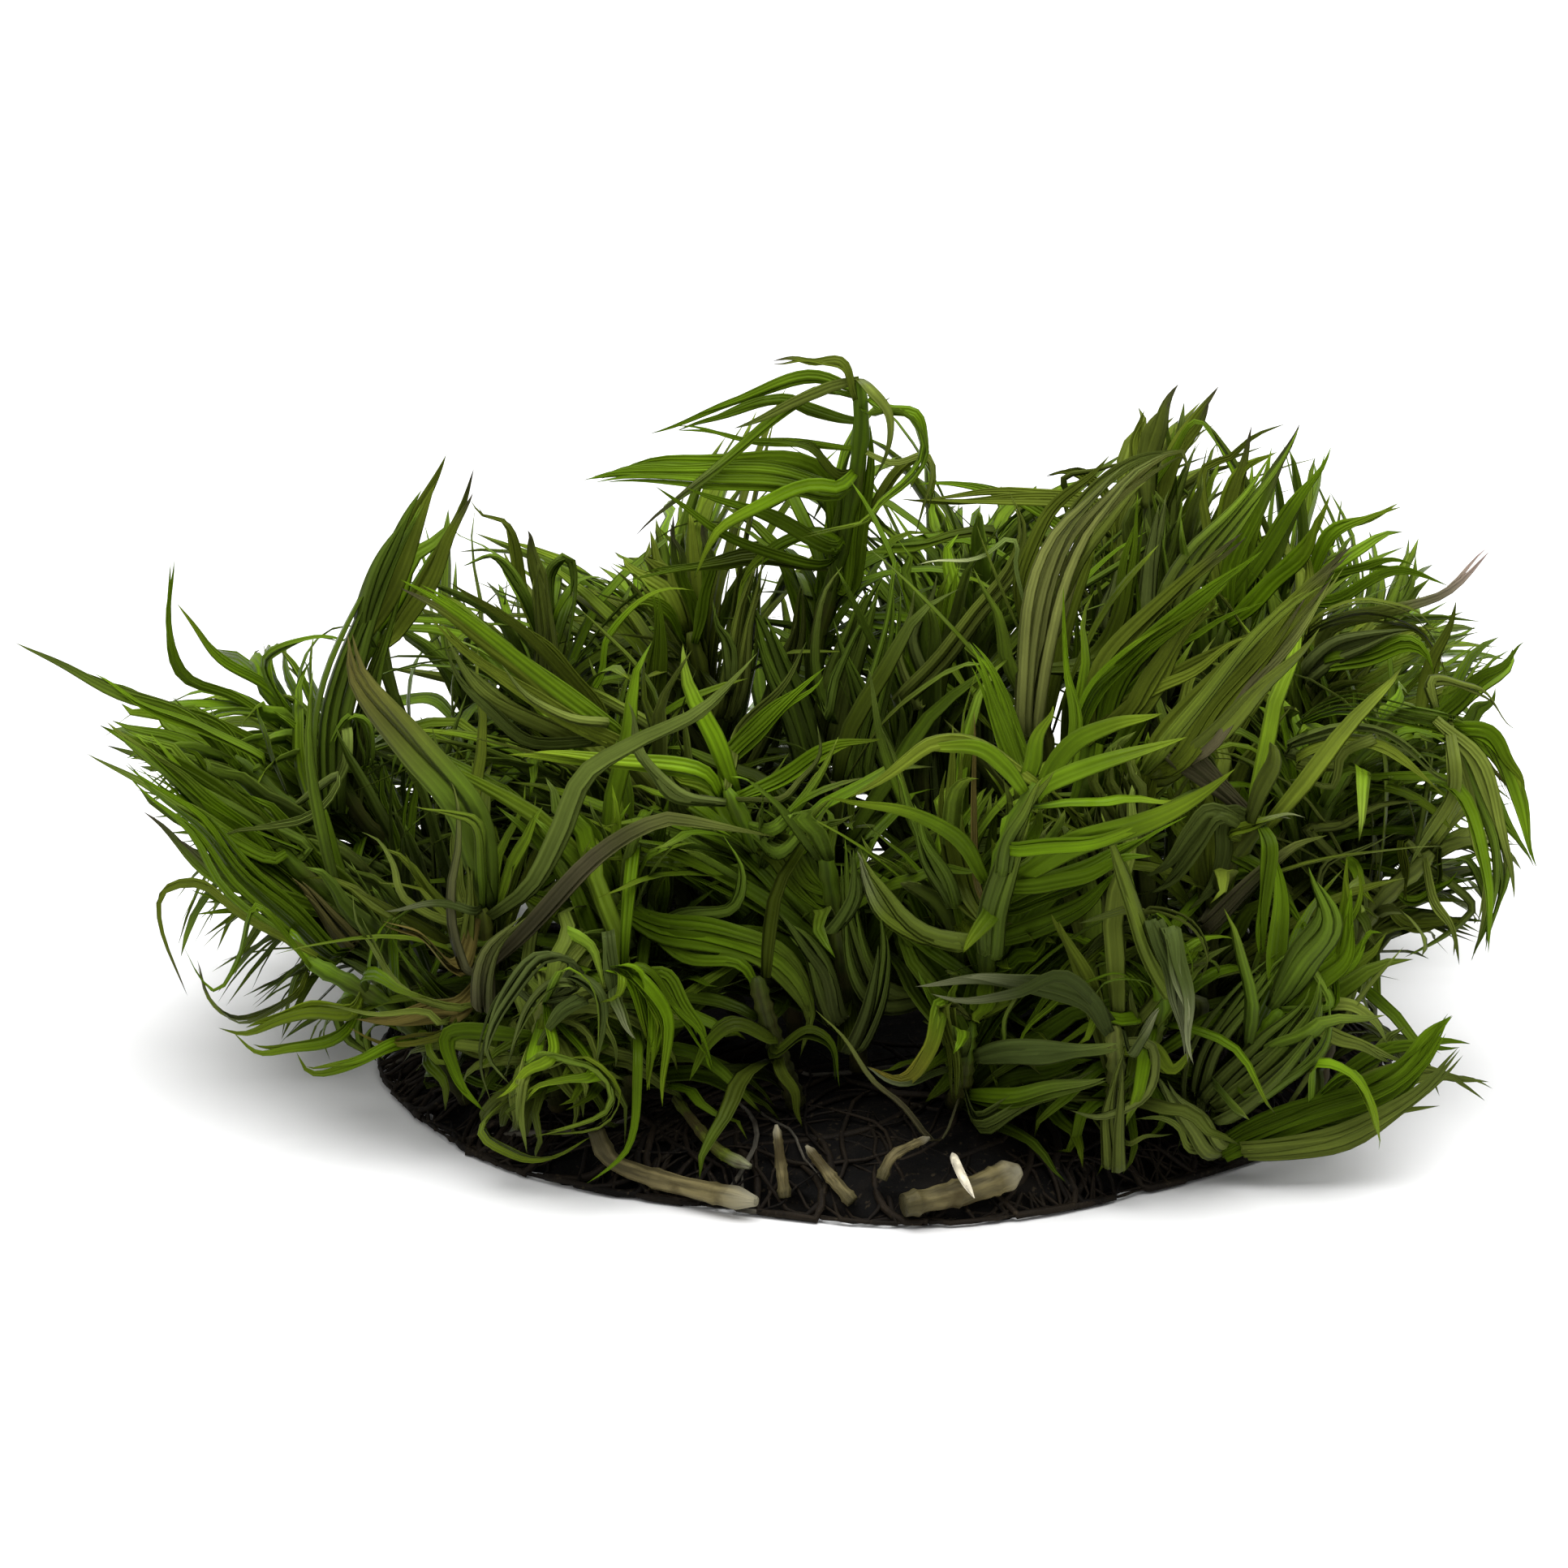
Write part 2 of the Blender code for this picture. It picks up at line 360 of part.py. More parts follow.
def seen(across, up, deep):
    """The place, in millimetres, that the eye sees at (across, up) when it lies at y = deep."""
    back = VIEW_DISTANCE * math.cos(VIEW_TILT)
    eye = Vector((0.0, -back, VIEW_DISTANCE * math.sin(VIEW_TILT)))
    on_picture = Vector((across, up * math.sin(VIEW_TILT), up * math.cos(VIEW_TILT)))
    reach = (deep + back) / (back + on_picture.y)
    return eye + (on_picture - eye) * reach


def as_seen(places):
    """Where the eye sees places, as rows of (across, up, distance)."""
    back = VIEW_DISTANCE * math.cos(VIEW_TILT)
    rays = np.array(places) - (0.0, -back, VIEW_DISTANCE * math.sin(VIEW_TILT))
    away = rays[..., 1] * math.cos(VIEW_TILT) - rays[..., 2] * math.sin(VIEW_TILT)
    rise = rays[..., 1] * math.sin(VIEW_TILT) + rays[..., 2] * math.cos(VIEW_TILT)
    return np.stack((rays[..., 0] * VIEW_DISTANCE / away, rise * VIEW_DISTANCE / away, away), axis=-1)


def in_outline(place):
    """Whether a place is seen inside the clump's outline."""
    across, up, _ = as_seen(place)
    inside = False
    for (x1, y1), (x2, y2) in zip(OUTLINE, OUTLINE[1:] + OUTLINE[:1]):
        if (y1 > up) != (y2 > up) and across < x1 + (up - y1) * (x2 - x1) / (y2 - y1):
            inside = not inside
    return inside


def mat_reach(angle):
    """How far the mat's rim lies from its middle at an angle, as a share of its radius."""
    return 1.0 + sum(size * math.sin(lobes * angle + turn) for lobes, size, turn in MAT_LOBES)


def mat_top(x, y):
    """The height of the mat's top at a place, in millimetres; zero past its rim."""
    share = math.hypot(x, y) / (MAT_RADIUS * mat_reach(math.atan2(y, x)))
    if share >= 1.0:
        return 0.0
    outer = MAT_RINGS[0]
    for inner in MAT_RINGS[1:]:
        if share >= inner[0]:
            part = (share - inner[0]) / (outer[0] - inner[0])
            return MAT_HEIGHT * (inner[1] + (outer[1] - inner[1]) * part)
        outer = inner
    return MAT_HEIGHT


def seen_on_mat(across, up, lift):
    """The place that the eye sees at (across, up), a given height above the mat or the ground."""
    near, far = -1.6 * MAT_RADIUS, 0.0
    for _ in range(30):
        middle = (near + far) / 2
        place = seen(across, up, middle)
        if place.z > mat_top(place.x, place.y) + lift:
            near = middle
        else:
            far = middle
    return seen(across, up, near)


def smooth_route(points, steps):
    """A smooth route through the points, with a number of steps between each two."""
    ends = [points[0] * 2 - points[1]] + list(points) + [points[-1] * 2 - points[-2]]
    route = []
    for before, start, end, after in zip(ends, ends[1:], ends[2:], ends[3:]):
        for step in range(steps):
            t = step / steps
            route.append(0.5 * (2 * start + (end - before) * t
                                + (2 * before - 5 * start + 4 * end - after) * t ** 2
                                + (3 * start - before - 3 * end + after) * t ** 3))
    return route + [points[-1].copy()]


def along(route, share):
    """The place and the direction at a share of a route's length."""
    lengths = [(b - a).length for a, b in zip(route, route[1:])]
    left = share * sum(lengths)
    for a, b, length in zip(route, route[1:], lengths):
        if left <= length:
            return a.lerp(b, left / length), (b - a).normalized()
        left -= length
    return route[-1].copy(), (route[-1] - route[-2]).normalized()


def square_to(vector, direction):
    """The part of a vector that is square to a direction, at length one."""
    return (vector - direction * vector.dot(direction)).normalized()


def stem_route(root, points):
    """A shoot's stem, from just above the mat through the points seen."""
    x, y = root
    start = Vector((x, y, mat_top(x, y) + GAP + STEM_ROOT_RADIUS * 0.6))
    return smooth_route([start] + [seen(*point) for point in points], STEM_STEPS)


def leaf_route(base, start, hinge, length, curl, sway, sag, steps):
    """A leaf's points: it sets off at start, curls about its hinge, sways aside and sags."""
    points = [base]
    for step in range(steps):
        share = (step + 0.5) / steps
        direction = Matrix.Rotation(curl * share, 3, hinge) @ start
        direction = Matrix.Rotation(sway * share, 3, hinge.cross(start)) @ direction
        direction = (direction + Vector((0, 0, -1)) * sag * share).normalized()
        points.append(points[-1] + direction * length / steps)
    return points


def segment_gaps(start, end, starts, ends):
    """The distances from one straight piece to each of many."""
    own = end - start
    others = ends - starts
    offset = start - starts
    own_square = own @ own
    other_square = (others * others).sum(axis=1)
    mixed = others @ own
    toward_own = offset @ own
    toward_other = (others * offset).sum(axis=1)
    spread = own_square * other_square - mixed * mixed
    here = np.clip((mixed * toward_other - toward_own * other_square) / np.maximum(spread, 1e-9), 0, 1)
    there = np.clip((mixed * here + toward_other) / other_square, 0, 1)
    here = np.clip((mixed * there - toward_own) / own_square, 0, 1)
    apart = offset + here[:, None] * own - there[:, None] * others
    return np.sqrt((apart * apart).sum(axis=1))


class Thicket:
    """The stems and leaves placed so far, to keep new ones clear of them."""

    def __init__(self):
        self.starts = np.empty((0, 3))
        self.ends = np.empty((0, 3))
        self.radii = np.empty(0)
        self.owners = np.empty(0, dtype="U40")
        self.free = np.empty(0, dtype=bool)

    def add(self, owner, points, radii, free_from):
        """Add a route; its pieces from free_from on keep clear of the same shoot's leaves too."""
        count = len(points) - 1
        self.starts = np.vstack((self.starts, np.array(points[:-1])))
        self.ends = np.vstack((self.ends, np.array(points[1:])))
        self.radii = np.append(self.radii, radii[:count])
        self.owners = np.append(self.owners, [owner] * count)
        self.free = np.append(self.free, np.arange(count) >= free_from)

    def room(self, owner, points, radii, free_from):
        """The least room that a route would leave to its neighbours, the mat and the ground."""
        least = math.inf
        strange = self.owners != owner
        near = ~strange & self.free
        for index, (a, b) in enumerate(zip(points, points[1:])):
            gaps = segment_gaps(np.array(a), np.array(b), self.starts, self.ends)
            others = gaps[strange] - self.radii[strange] - radii[index]
            least = min(least, others.min() if len(others) else least)
            if index >= free_from:
                own = gaps[near] - 2 * LEAF_THICKNESS
                least = min(least, own.min() if len(own) else least)
            for point in (a.lerp(b, 0.5), b):
                least = min(least, point.z - LOWEST_LEAF + GAP)
                least = min(least, point.z - mat_top(point.x, point.y) - radii[index])
        return least


class Sight:
    """The told leaves as the eye sees them, so that no free leaf passes in front of them."""

    def __init__(self):
        self.spots = np.empty((0, 3))
        self.margins = np.empty(0)

    def add(self, route, width):
        """Keep a told leaf in sight."""
        spots = as_seen(smooth_route(route, 4)[4:])
        self.spots = np.vstack((self.spots, spots))
        self.margins = np.append(self.margins, [width / 2] * len(spots))

    def hidden_by(self, points, width):
        """Whether a leaf would pass in front of a told one."""
        spots = as_seen(points)
        apart = spots[:, None, :2] - self.spots[None, :, :2]
        near = np.hypot(apart[..., 0], apart[..., 1]) < self.margins + width / 2 + SIGHT_MARGIN
        return bool((near & (spots[:, None, 2] < self.spots[None, :, 2])).any())


def slot_directions(whorl, tangent, phase):
    """The outward directions of a whorl's places for leaves."""
    first = square_to(FIRST_OUTWARD, tangent)
    turn = 2 * math.pi / SLOTS
    return [Matrix.Rotation(phase + turn * (slot + whorl / 2), 3, tangent) @ first for slot in range(SLOTS)]


def leaf_pieces(style, whorl):
    """How many straight pieces the solid of a leaf has."""
    return style["pieces"] if whorl else 2


def leaf_radii(width, pieces):
    """The half-widths of a leaf's straight pieces, from the stem to the tip."""
    return [width / 2 * (1.0 if piece < pieces - 1 else LEAF_END) for piece in range(pieces)]


def told_leaf(thicket, owner, base, points, width):
    """A told leaf's points, its outer part moved along the line of sight until it is clear."""
    for shift in TOLD_SHIFTS:
        route = [base]
        for index, (across, up, deep) in enumerate(points):
            route.append(seen(across, up, deep + shift * (index + 1) / len(points)))
        radii = leaf_radii(width, len(points))
        if thicket.room(owner, route, radii, 2) >= GAP:
            return route
    return None


def free_leaf(thicket, sight, key, base, outward, tangent, style):
    """A leaf of the shoot's own kind, turned or shortened until it has room and hides no told leaf."""
    name, whorl, slot = key
    pieces = leaf_pieces(style, whorl)
    chance = random.Random(f"{name} {whorl} {slot}")
    level = whorl / (len(WHORL_SHARES) - 1)
    spread = math.radians(style["low"] + (style["high"] - style["low"]) * level)
    length = style["length"] * chance.uniform(*LENGTH_SHARES)
    curl = math.radians(style["curl"] + chance.uniform(*CURL_SPREAD))
    sway = math.radians(chance.uniform(*SWAY_SPREAD))
    for size, lean, turn in product(SIZES, LEANS, TURNS):
        side = Matrix.Rotation(math.radians(turn), 3, tangent) @ outward
        start = (tangent * math.cos(spread * lean) + side * math.sin(spread * lean)).normalized()
        hinge = tangent.cross(side).normalized()
        fine = leaf_route(base, start, hinge, length * size, curl, sway, style["sag"], LEAF_STEPS)
        if not all(in_outline(point) for point in fine[1:]):
            continue
        if sight.hidden_by(fine[2:], style["width"]):
            continue
        route = fine[::LEAF_STEPS // pieces]
        if thicket.room(name, route, leaf_radii(style["width"], pieces), 1) >= GAP:
            return route
    return None


def told_cost(place, first):
    """How far round a place on the stem is from facing a told leaf's first point."""
    base, outward, _ = place
    reach = first - base
    return reach.length * (1.6 - reach.normalized().dot(outward))


def bare_route(radius, points):
    """A bare stem's route over the mat."""
    return smooth_route([seen_on_mat(across, up, radius + GAP + lift) for across, up, lift in points], 2)


def grow_shoots():
    """Every shoot's stem and leaves, as routes in millimetres that keep clear of each other."""
    thicket = Thicket()
    stems = {name: stem_route(root, points) for name, _, _, root, points in SHOOTS}
    for name, route in stems.items():
        thicket.add(name, route, [STEM_ROOT_RADIUS] * len(route), len(route))
    for name, _, radius, points in BARE_STEMS:
        route = bare_route(radius, points)
        thicket.add(name, route, [radius] * len(route), len(route))
    places = {}
    for number, (name, *_) in enumerate(SHOOTS):
        for whorl, share in enumerate(WHORL_SHARES):
            centre, tangent = along(stems[name], share)
            for slot, outward in enumerate(slot_directions(whorl, tangent, number * WHORL_TURN)):
                base = centre + outward * STEM_TIP_RADIUS * LEAF_FOOT
                places[name, whorl, slot] = (base, outward, tangent)
    leaves = {}
    sight = Sight()
    for name, told in TOLD_LEAVES.items():
        for width, points in told:
            first = seen(*points[0])
            open_places = [key for key in places if key[0] == name and key not in leaves]
            key = min(open_places, key=lambda k: told_cost(places[k], first))
            route = told_leaf(thicket, name, places[key][0], points, width)
            if route is not None:
                leaves[key] = (route, width)
                thicket.add(name, route, leaf_radii(width, len(points)), 2)
                sight.add(route, width)
    for whorl in reversed(range(len(WHORL_SHARES))):
        for name, _, kind, _, _ in SHOOTS:
            style = STYLES[kind]
            lowest_bare = len(TOLD_LEAVES.get(name, ())) > 3
            for slot in range(SLOTS):
                key = (name, whorl, slot)
                if key in leaves or (whorl == 0 and (slot % 2 or lowest_bare)):
                    continue
                route = free_leaf(thicket, sight, key, *places[key], style)
                if route is not None:
                    leaves[key] = (route, style["width"])
                    thicket.add(name, route, leaf_radii(style["width"], len(route) - 1), 1)
    return stems, leaves, places


def new_material(tone):
    """A plain material in one of the tones."""
    material = bpy.data.materials.new(tone)
    material.use_nodes = True
    shader = material.node_tree.nodes["Principled BSDF"]
    shader.inputs["Base Color"].default_value = (*TONES[tone], 1.0)
    shader.inputs["Roughness"].default_value = ROUGHNESS
    shader.inputs["Metallic"].default_value = 0.0
    material.diffuse_color = (*TONES[tone], 1.0)
    return material


def add_object(name, mesh, material, collection):
    """An object in the plant's collection, with its material."""
    mesh.materials.clear()
    mesh.materials.append(material)
    thing = bpy.data.objects.new(name, mesh)
    collection.objects.link(thing)
    return thing


def tube_mesh(name, points, radii, collection):
    """A closed four-sided tube along the points, as a mesh."""
    curve = bpy.data.curves.new(name, "CURVE")
    curve.dimensions = "3D"
    curve.bevel_depth = MM
    curve.bevel_resolution = 0
    curve.use_fill_caps = True
    spline = curve.splines.new("POLY")
    spline.points.add(len(points) - 1)
    for control, point, radius in zip(spline.points, points, radii):
        control.co = (*(point * MM), 1.0)
        control.radius = radius
    guide = bpy.data.objects.new(name + "_guide", curve)
    collection.objects.link(guide)
    bpy.context.view_layer.update()
    evaluated = guide.evaluated_get(bpy.context.evaluated_depsgraph_get())
    mesh = bpy.data.meshes.new_from_object(evaluated)
    mesh.name = name
    bpy.data.objects.remove(guide)
    bpy.data.curves.remove(curve)
    return mesh


def whorl_faces(bm, centre, tangent):
    """The stem's side faces at a whorl, each facing outward."""
    near = []
    for face in bm.faces:
        offset = face.calc_center_median() - centre * MM
        if len(face.verts) == 4 and abs(offset.dot(tangent)) < 0.2 * WHORL_HEIGHT * MM:
            if offset.length < 1.5 * STEM_ROOT_RADIUS * MM:
                near.append(face)
    return near


def grow_leaf(bm, face, route, width, tangent):
    """Extrude a leaf from a face of the stem, ring by ring, and close it in a point."""
    centre = face.calc_center_median()
    across = square_to(tangent.cross(face.normal), face.normal)
    corners = []
    for vert in face.verts:
        offset = vert.co - centre
        corners.append((1 if offset.dot(across) > 0 else -1, 1 if offset.dot(tangent) > 0 else -1))
    rings = route[1:-1]
    for index, point in enumerate(rings):
        direction = (route[index + 2] - route[index]).normalized()
        across = square_to(across, direction)
        upward = direction.cross(across)
        taper = LEAF_TAPER[0] + (LEAF_TAPER[1] - LEAF_TAPER[0]) * index / max(1, len(rings) - 1)
        face = bmesh.ops.extrude_discrete_faces(bm, faces=[face])["faces"][0]
        for vert, (side, over) in zip(list(face.verts), corners):
            shift = across * side * width * taper / 2 + upward * over * LEAF_THICKNESS / 2
            vert.co = (point + shift) * MM
    face = bmesh.ops.extrude_discrete_faces(bm, faces=[face])["faces"][0]
    bmesh.ops.pointmerge(bm, verts=list(face.verts), merge_co=route[-1] * MM)


def build_shoot(name, tone, route, leaves, places, materials, collection):
    """One shoot: its stem as a tube, with every leaf extruded from it."""
    points = [route[0]]
    for share in WHORL_SHARES:
        centre, tangent = along(route, share)
        points += [centre - tangent * WHORL_HEIGHT / 2, centre + tangent * WHORL_HEIGHT / 2]
    steps = len(points) - 1
    radii = [STEM_ROOT_RADIUS + (STEM_TIP_RADIUS - STEM_ROOT_RADIUS) * i / steps for i in range(steps + 1)]
    mesh = tube_mesh(name, points, radii, collection)
    bm = bmesh.new()
    bm.from_mesh(mesh)
    bmesh.ops.remove_doubles(bm, verts=bm.verts, dist=1e-6)
    grown = []
    for whorl, share in enumerate(WHORL_SHARES):
        centre, tangent = along(route, share)
        faces = whorl_faces(bm, centre, tangent)
        for slot in range(SLOTS):
            key = (name, whorl, slot)
            if key in leaves:
                outward = places[key][1]
                face = max(faces, key=lambda f: f.normal.dot(outward))
                faces.remove(face)
                grown.append((face, *leaves[key], tangent))
    for face, leaf, width, tangent in grown:
        grow_leaf(bm, face, leaf, width, tangent)
    bmesh.ops.triangulate(bm, faces=bm.faces)
    bmesh.ops.recalc_face_normals(bm, faces=bm.faces)
    bm.to_mesh(mesh)
    bm.free()
    add_object(name, mesh, materials[tone], collection)


def build_bare_stem(name, tone, radius, points, materials, collection):
    """A bare stem or root: a closed tube over the mat."""
    route = bare_route(radius, points)
    mesh = tube_mesh(name, route, [radius] * len(route), collection)
    bm = bmesh.new()
    bm.from_mesh(mesh)
    bmesh.ops.remove_doubles(bm, verts=bm.verts, dist=1e-6)
    bm.to_mesh(mesh)
    bm.free()
    add_object(name, mesh, materials[tone], collection)


def build_mat(materials, collection):
    """The root mat: a low, uneven mound with a flat-cut underside."""
    bm = bmesh.new()
    (bottom, foot), (shoulder, height) = MAT_RINGS[:2]
    bmesh.ops.create_cone(bm, cap_ends=True, segments=MAT_SIDES, radius1=MAT_RADIUS * MM * bottom,
                          radius2=MAT_RADIUS * MM * shoulder, depth=MAT_HEIGHT * MM * (height - foot))
    bmesh.ops.translate(bm, verts=bm.verts, vec=(0, 0, MAT_HEIGHT * MM * (height + foot) / 2))
    cap = max(bm.faces, key=lambda face: face.calc_center_median().z)
    for share, height in MAT_RINGS[2:]:
        inner = share / shoulder
        shoulder = share
        cap = bmesh.ops.extrude_discrete_faces(bm, faces=[cap])["faces"][0]
        for vert in cap.verts:
            vert.co = (vert.co.x * inner, vert.co.y * inner, MAT_HEIGHT * MM * height)
    for vert in bm.verts:
        reach = mat_reach(math.atan2(vert.co.y, vert.co.x))
        vert.co.x *= reach
        vert.co.y *= reach
    mesh = bpy.data.meshes.new("root_mat")
    bm.to_mesh(mesh)
    bm.free()
    add_object("root_mat", mesh, materials["mat"], collection)


def main():
    """Model the clump."""
    for thing in list(bpy.data.objects):
        bpy.data.objects.remove(thing)
    collection = bpy.data.collections.new("pogostemon")
    bpy.context.scene.collection.children.link(collection)
    materials = {tone: new_material(tone) for tone in TONES}
    build_mat(materials, collection)
    stems, leaves, places = grow_shoots()
    for name, tone, _, _, _ in SHOOTS:
        build_shoot(name, tone, stems[name], leaves, places, materials, collection)
    for name, tone, radius, points in BARE_STEMS:
        build_bare_stem(name, tone, radius, points, materials, collection)


main()
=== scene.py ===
"""A clump of pogostemon, a water plant with whorls of narrow leaves, dressed for its picture.

Every shoot is grown along the same routes as its solid, with a ribbed stem and many fine leaves in
closer whorls. The root mat gets its tangle of roots, and the cut stems their knots and ends.

The frame has +X to the viewer's right, +Y away from the viewer and +Z up. Routes are lists of points
as the eye sees them: millimetres across, up and deep, looked at from a little above.
"""

import math
import random
from collections import namedtuple
from itertools import product

import bmesh
import bpy
import numpy as np
from bpy.props import FloatProperty, FloatVectorProperty, IntProperty, PointerProperty
from bpy.types import Operator, Panel, PropertyGroup
from mathutils import Matrix, Vector


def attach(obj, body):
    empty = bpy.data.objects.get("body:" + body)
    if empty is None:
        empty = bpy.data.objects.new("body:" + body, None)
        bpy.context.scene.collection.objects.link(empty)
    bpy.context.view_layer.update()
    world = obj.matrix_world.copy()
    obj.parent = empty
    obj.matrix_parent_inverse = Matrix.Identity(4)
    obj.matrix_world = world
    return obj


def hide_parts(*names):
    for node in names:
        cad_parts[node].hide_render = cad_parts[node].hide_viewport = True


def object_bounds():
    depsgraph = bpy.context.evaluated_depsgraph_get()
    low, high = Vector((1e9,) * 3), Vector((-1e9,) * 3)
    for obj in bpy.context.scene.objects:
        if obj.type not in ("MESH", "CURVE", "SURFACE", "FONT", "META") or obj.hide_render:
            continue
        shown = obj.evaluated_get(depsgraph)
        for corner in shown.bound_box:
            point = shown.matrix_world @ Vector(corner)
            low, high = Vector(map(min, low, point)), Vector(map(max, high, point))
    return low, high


bl_info = {
    "name": "Pogostemon clump",
    "version": (1, 0, 0),
    "blender": (4, 5, 0),
    "location": "3D View > Sidebar > Pogostemon",
    "description": "Dresses a clump of pogostemon: leafy shoots, root mat, cut stems and a plain stage",
    "category": "Object",
}

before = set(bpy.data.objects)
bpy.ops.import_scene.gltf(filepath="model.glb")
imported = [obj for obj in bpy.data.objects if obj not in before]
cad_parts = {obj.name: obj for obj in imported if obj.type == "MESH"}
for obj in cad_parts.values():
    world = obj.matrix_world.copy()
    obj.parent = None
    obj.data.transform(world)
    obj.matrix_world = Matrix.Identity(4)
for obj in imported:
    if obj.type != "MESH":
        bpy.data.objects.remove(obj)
SOLID_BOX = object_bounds()

MM = 0.001

# The eye that the routes are told from: it looks down by the tilt, and stands BACK off and RISE high. The
# camera aims at a place as it is seen.
VIEW_TILT = math.radians(18.0)
VIEW_DISTANCE = 400.0
BACK = VIEW_DISTANCE * math.cos(VIEW_TILT)
RISE = VIEW_DISTANCE * math.sin(VIEW_TILT)
EYE = Vector((0.0, -BACK, RISE))
AIM = (-6.2, 17.9, 0)

# The root mat
MAT_RADIUS = 32.5
MAT_HEIGHT = 4.6
MAT_RINGS = ((1.0, 0.0), (0.97, 0.32), (0.8, 0.75), (0.5, 1.0))
MAT_LOBES = ((3, 0.022, 0.4), (5, 0.016, 1.9), (8, 0.012, 0.7))
MAT_SIDES = 180
MAT_ROWS = 6
MAT_INSETS = 22
MAT_INSET = 1.4
MAT_WAVES = 26
MAT_LUMP = 0.09
SEARCH_ROUNDS = 30

# Stems and leaves
GAP = 0.3
STEM_ROOT_RADIUS = 1.05
STEM_TIP_RADIUS = 0.8
WHORL_SHARES = (0.42, 0.72, 0.97)
WHORL_TURN = 2.4
FIRST_OUTWARD = Vector((0.31, -0.87, 0.39))
SLOTS = 4
STEM_STEPS = 8
LEAF_THICKNESS = 0.5
LEAF_STEPS = 6
LEAF_END = 0.75
LEAF_FOOT = 0.8
LOWEST_LEAF = 1.2

# A told leaf has one blade on a star, three where it is wide and two elsewhere; by their number, they
# take this share of its width
WIDE_LEAF = 2.2
TOLD_WIDTHS = {1: 0.85, 2: 0.8, 3: 0.95}

# What a leaf tries, in turn, to find its room: shifts along the line of sight for a told one, then
# turns round the stem, shares of its angle off the stem and of its length for a free one
TOLD_SHIFTS = (0, 1, -1, 2, -2, 3, -3, 4.5, -4.5, 6, -6)
TURNS = (0, 16, -16, 30, -30)
LEANS = (1.0, 0.7, 1.35)
SIZES = (1.0, 0.8, 0.62)
SIGHT_MARGIN = 0.3
ROUTE_STEPS = 4
FACING_TURN = 24

# A sheaf: how far its blades overlap, stand off each other and fold back at its sides, where along it the
# blades have spread, where they start to close and how far, and the blades' shares of length, width and
# light
OVERLAP = 1.5
STAND_OFF = 0.12
FOLD_BACK = 0.3
OPEN_BY = 0.4
CLOSE_FROM = 0.55
CLOSING = 0.65
BLADE_LENGTHS = (0.78, 1.0)
BLADE_WIDTHS = (0.85, 1.25)
BLADE_LIGHTS = (0.84, 1.14)

# How each kind of shoot carries its leaves: the angle off the stem at the lowest and the highest
# whorl, how far a leaf turns outward along its length, its length and width, how much it sags, and how
# many straight pieces its solid has along it
Style = namedtuple("Style", "low high curl length width sag pieces")
STYLES = {
    "brush": Style(36, 12, -6, 15, 1.4, 0.08, 2),
    "plume": Style(60, 24, 24, 15, 1.3, 0.2, 3),
    "star": Style(84, 52, -22, 13, 1.4, 0.0, 3),
    "droop": Style(62, 38, 34, 16, 1.2, 0.6, 3),
    "curl": Style(66, 40, 100, 11, 1.0, 0.2, 3),
}
LENGTH_SHARES = (0.82, 1.12)
CURL_SPREAD = (-12, 30)
SWAY_SPREAD = (-34, 34)

# The fine leaves between the solid's whorls: where on the stem they start, and by kind of shoot their
# shares of the style's angle off the stem, length and width, their added curl, their sway and how far they
# bend the way the stem leans
FILL_START = 0.14
Fill = namedtuple("Fill", "spread length width curl sway sweep")
FILLS = {
    "brush": Fill((0.1, 0.6), (0.9, 1.45), (0.75, 1.2), (-18, 12), 12, 0.1),
    "plume": Fill((0.2, 0.85), (0.9, 1.45), (0.7, 1.15), (-20, 36), 24, 0.3),
    "star": Fill((0.6, 1.1), (0.7, 1.1), (0.8, 1.1), (-25, 30), 24, 0.0),
    "droop": Fill((0.3, 1.0), (0.9, 1.4), (0.65, 1.1), (-15, 50), 26, 0.3),
    "curl": Fill((0.4, 1.0), (0.8, 1.3), (0.65, 1.1), (-25, 60), 30, 0.0),
}
FILL_SIZES = (1.0, 0.8, 0.62, 0.46)
FILL_TURN = 2.0
FILL_TWIST = 0.9
FILL_STEPS = 8
WAVE = 0.7

# The clump's outline as seen (across, up), clockwise from the left: the leaves keep inside it, but for
# the told ones
OUTLINE = (
    (-52.5, 22.5), (-50.5, 24.5), (-47.5, 23.5), (-45.5, 27), (-42, 27.5), (-38.5, 28.5), (-35, 29.5),
    (-31.5, 34.5), (-28, 38), (-26.5, 35.5), (-24, 34.5), (-20, 32), (-17.5, 33.5), (-13.5, 37.5),
    (-9.5, 42), (-4.5, 46), (-1, 46), (3, 42), (4, 37.5), (8.5, 38), (14.5, 38.5), (17.5, 43),
    (20, 44.5), (22.5, 44), (23.5, 40), (28, 42), (30.5, 40), (31.5, 35.5), (35.5, 35), (38.5, 31),
    (42.5, 27), (41, 23.5), (42.5, 18), (43.5, 13), (42, 9), (39, 6.5), (35, 5.5), (33.5, 3),
    (38.5, 1), (39, -3), (33.5, -5.5), (28, -6.5), (22.5, -7.5), (17.5, -9), (12, -10), (1, -10.5),
    (-9.5, -10), (-18, -9), (-23.5, -7.5), (-26, -6), (-28.5, -3.5), (-31.5, -1), (-37, -1),
    (-42.5, 0.5), (-46, 3.5), (-47.5, 9), (-45.5, 12), (-49, 16), (-51.5, 20),
)

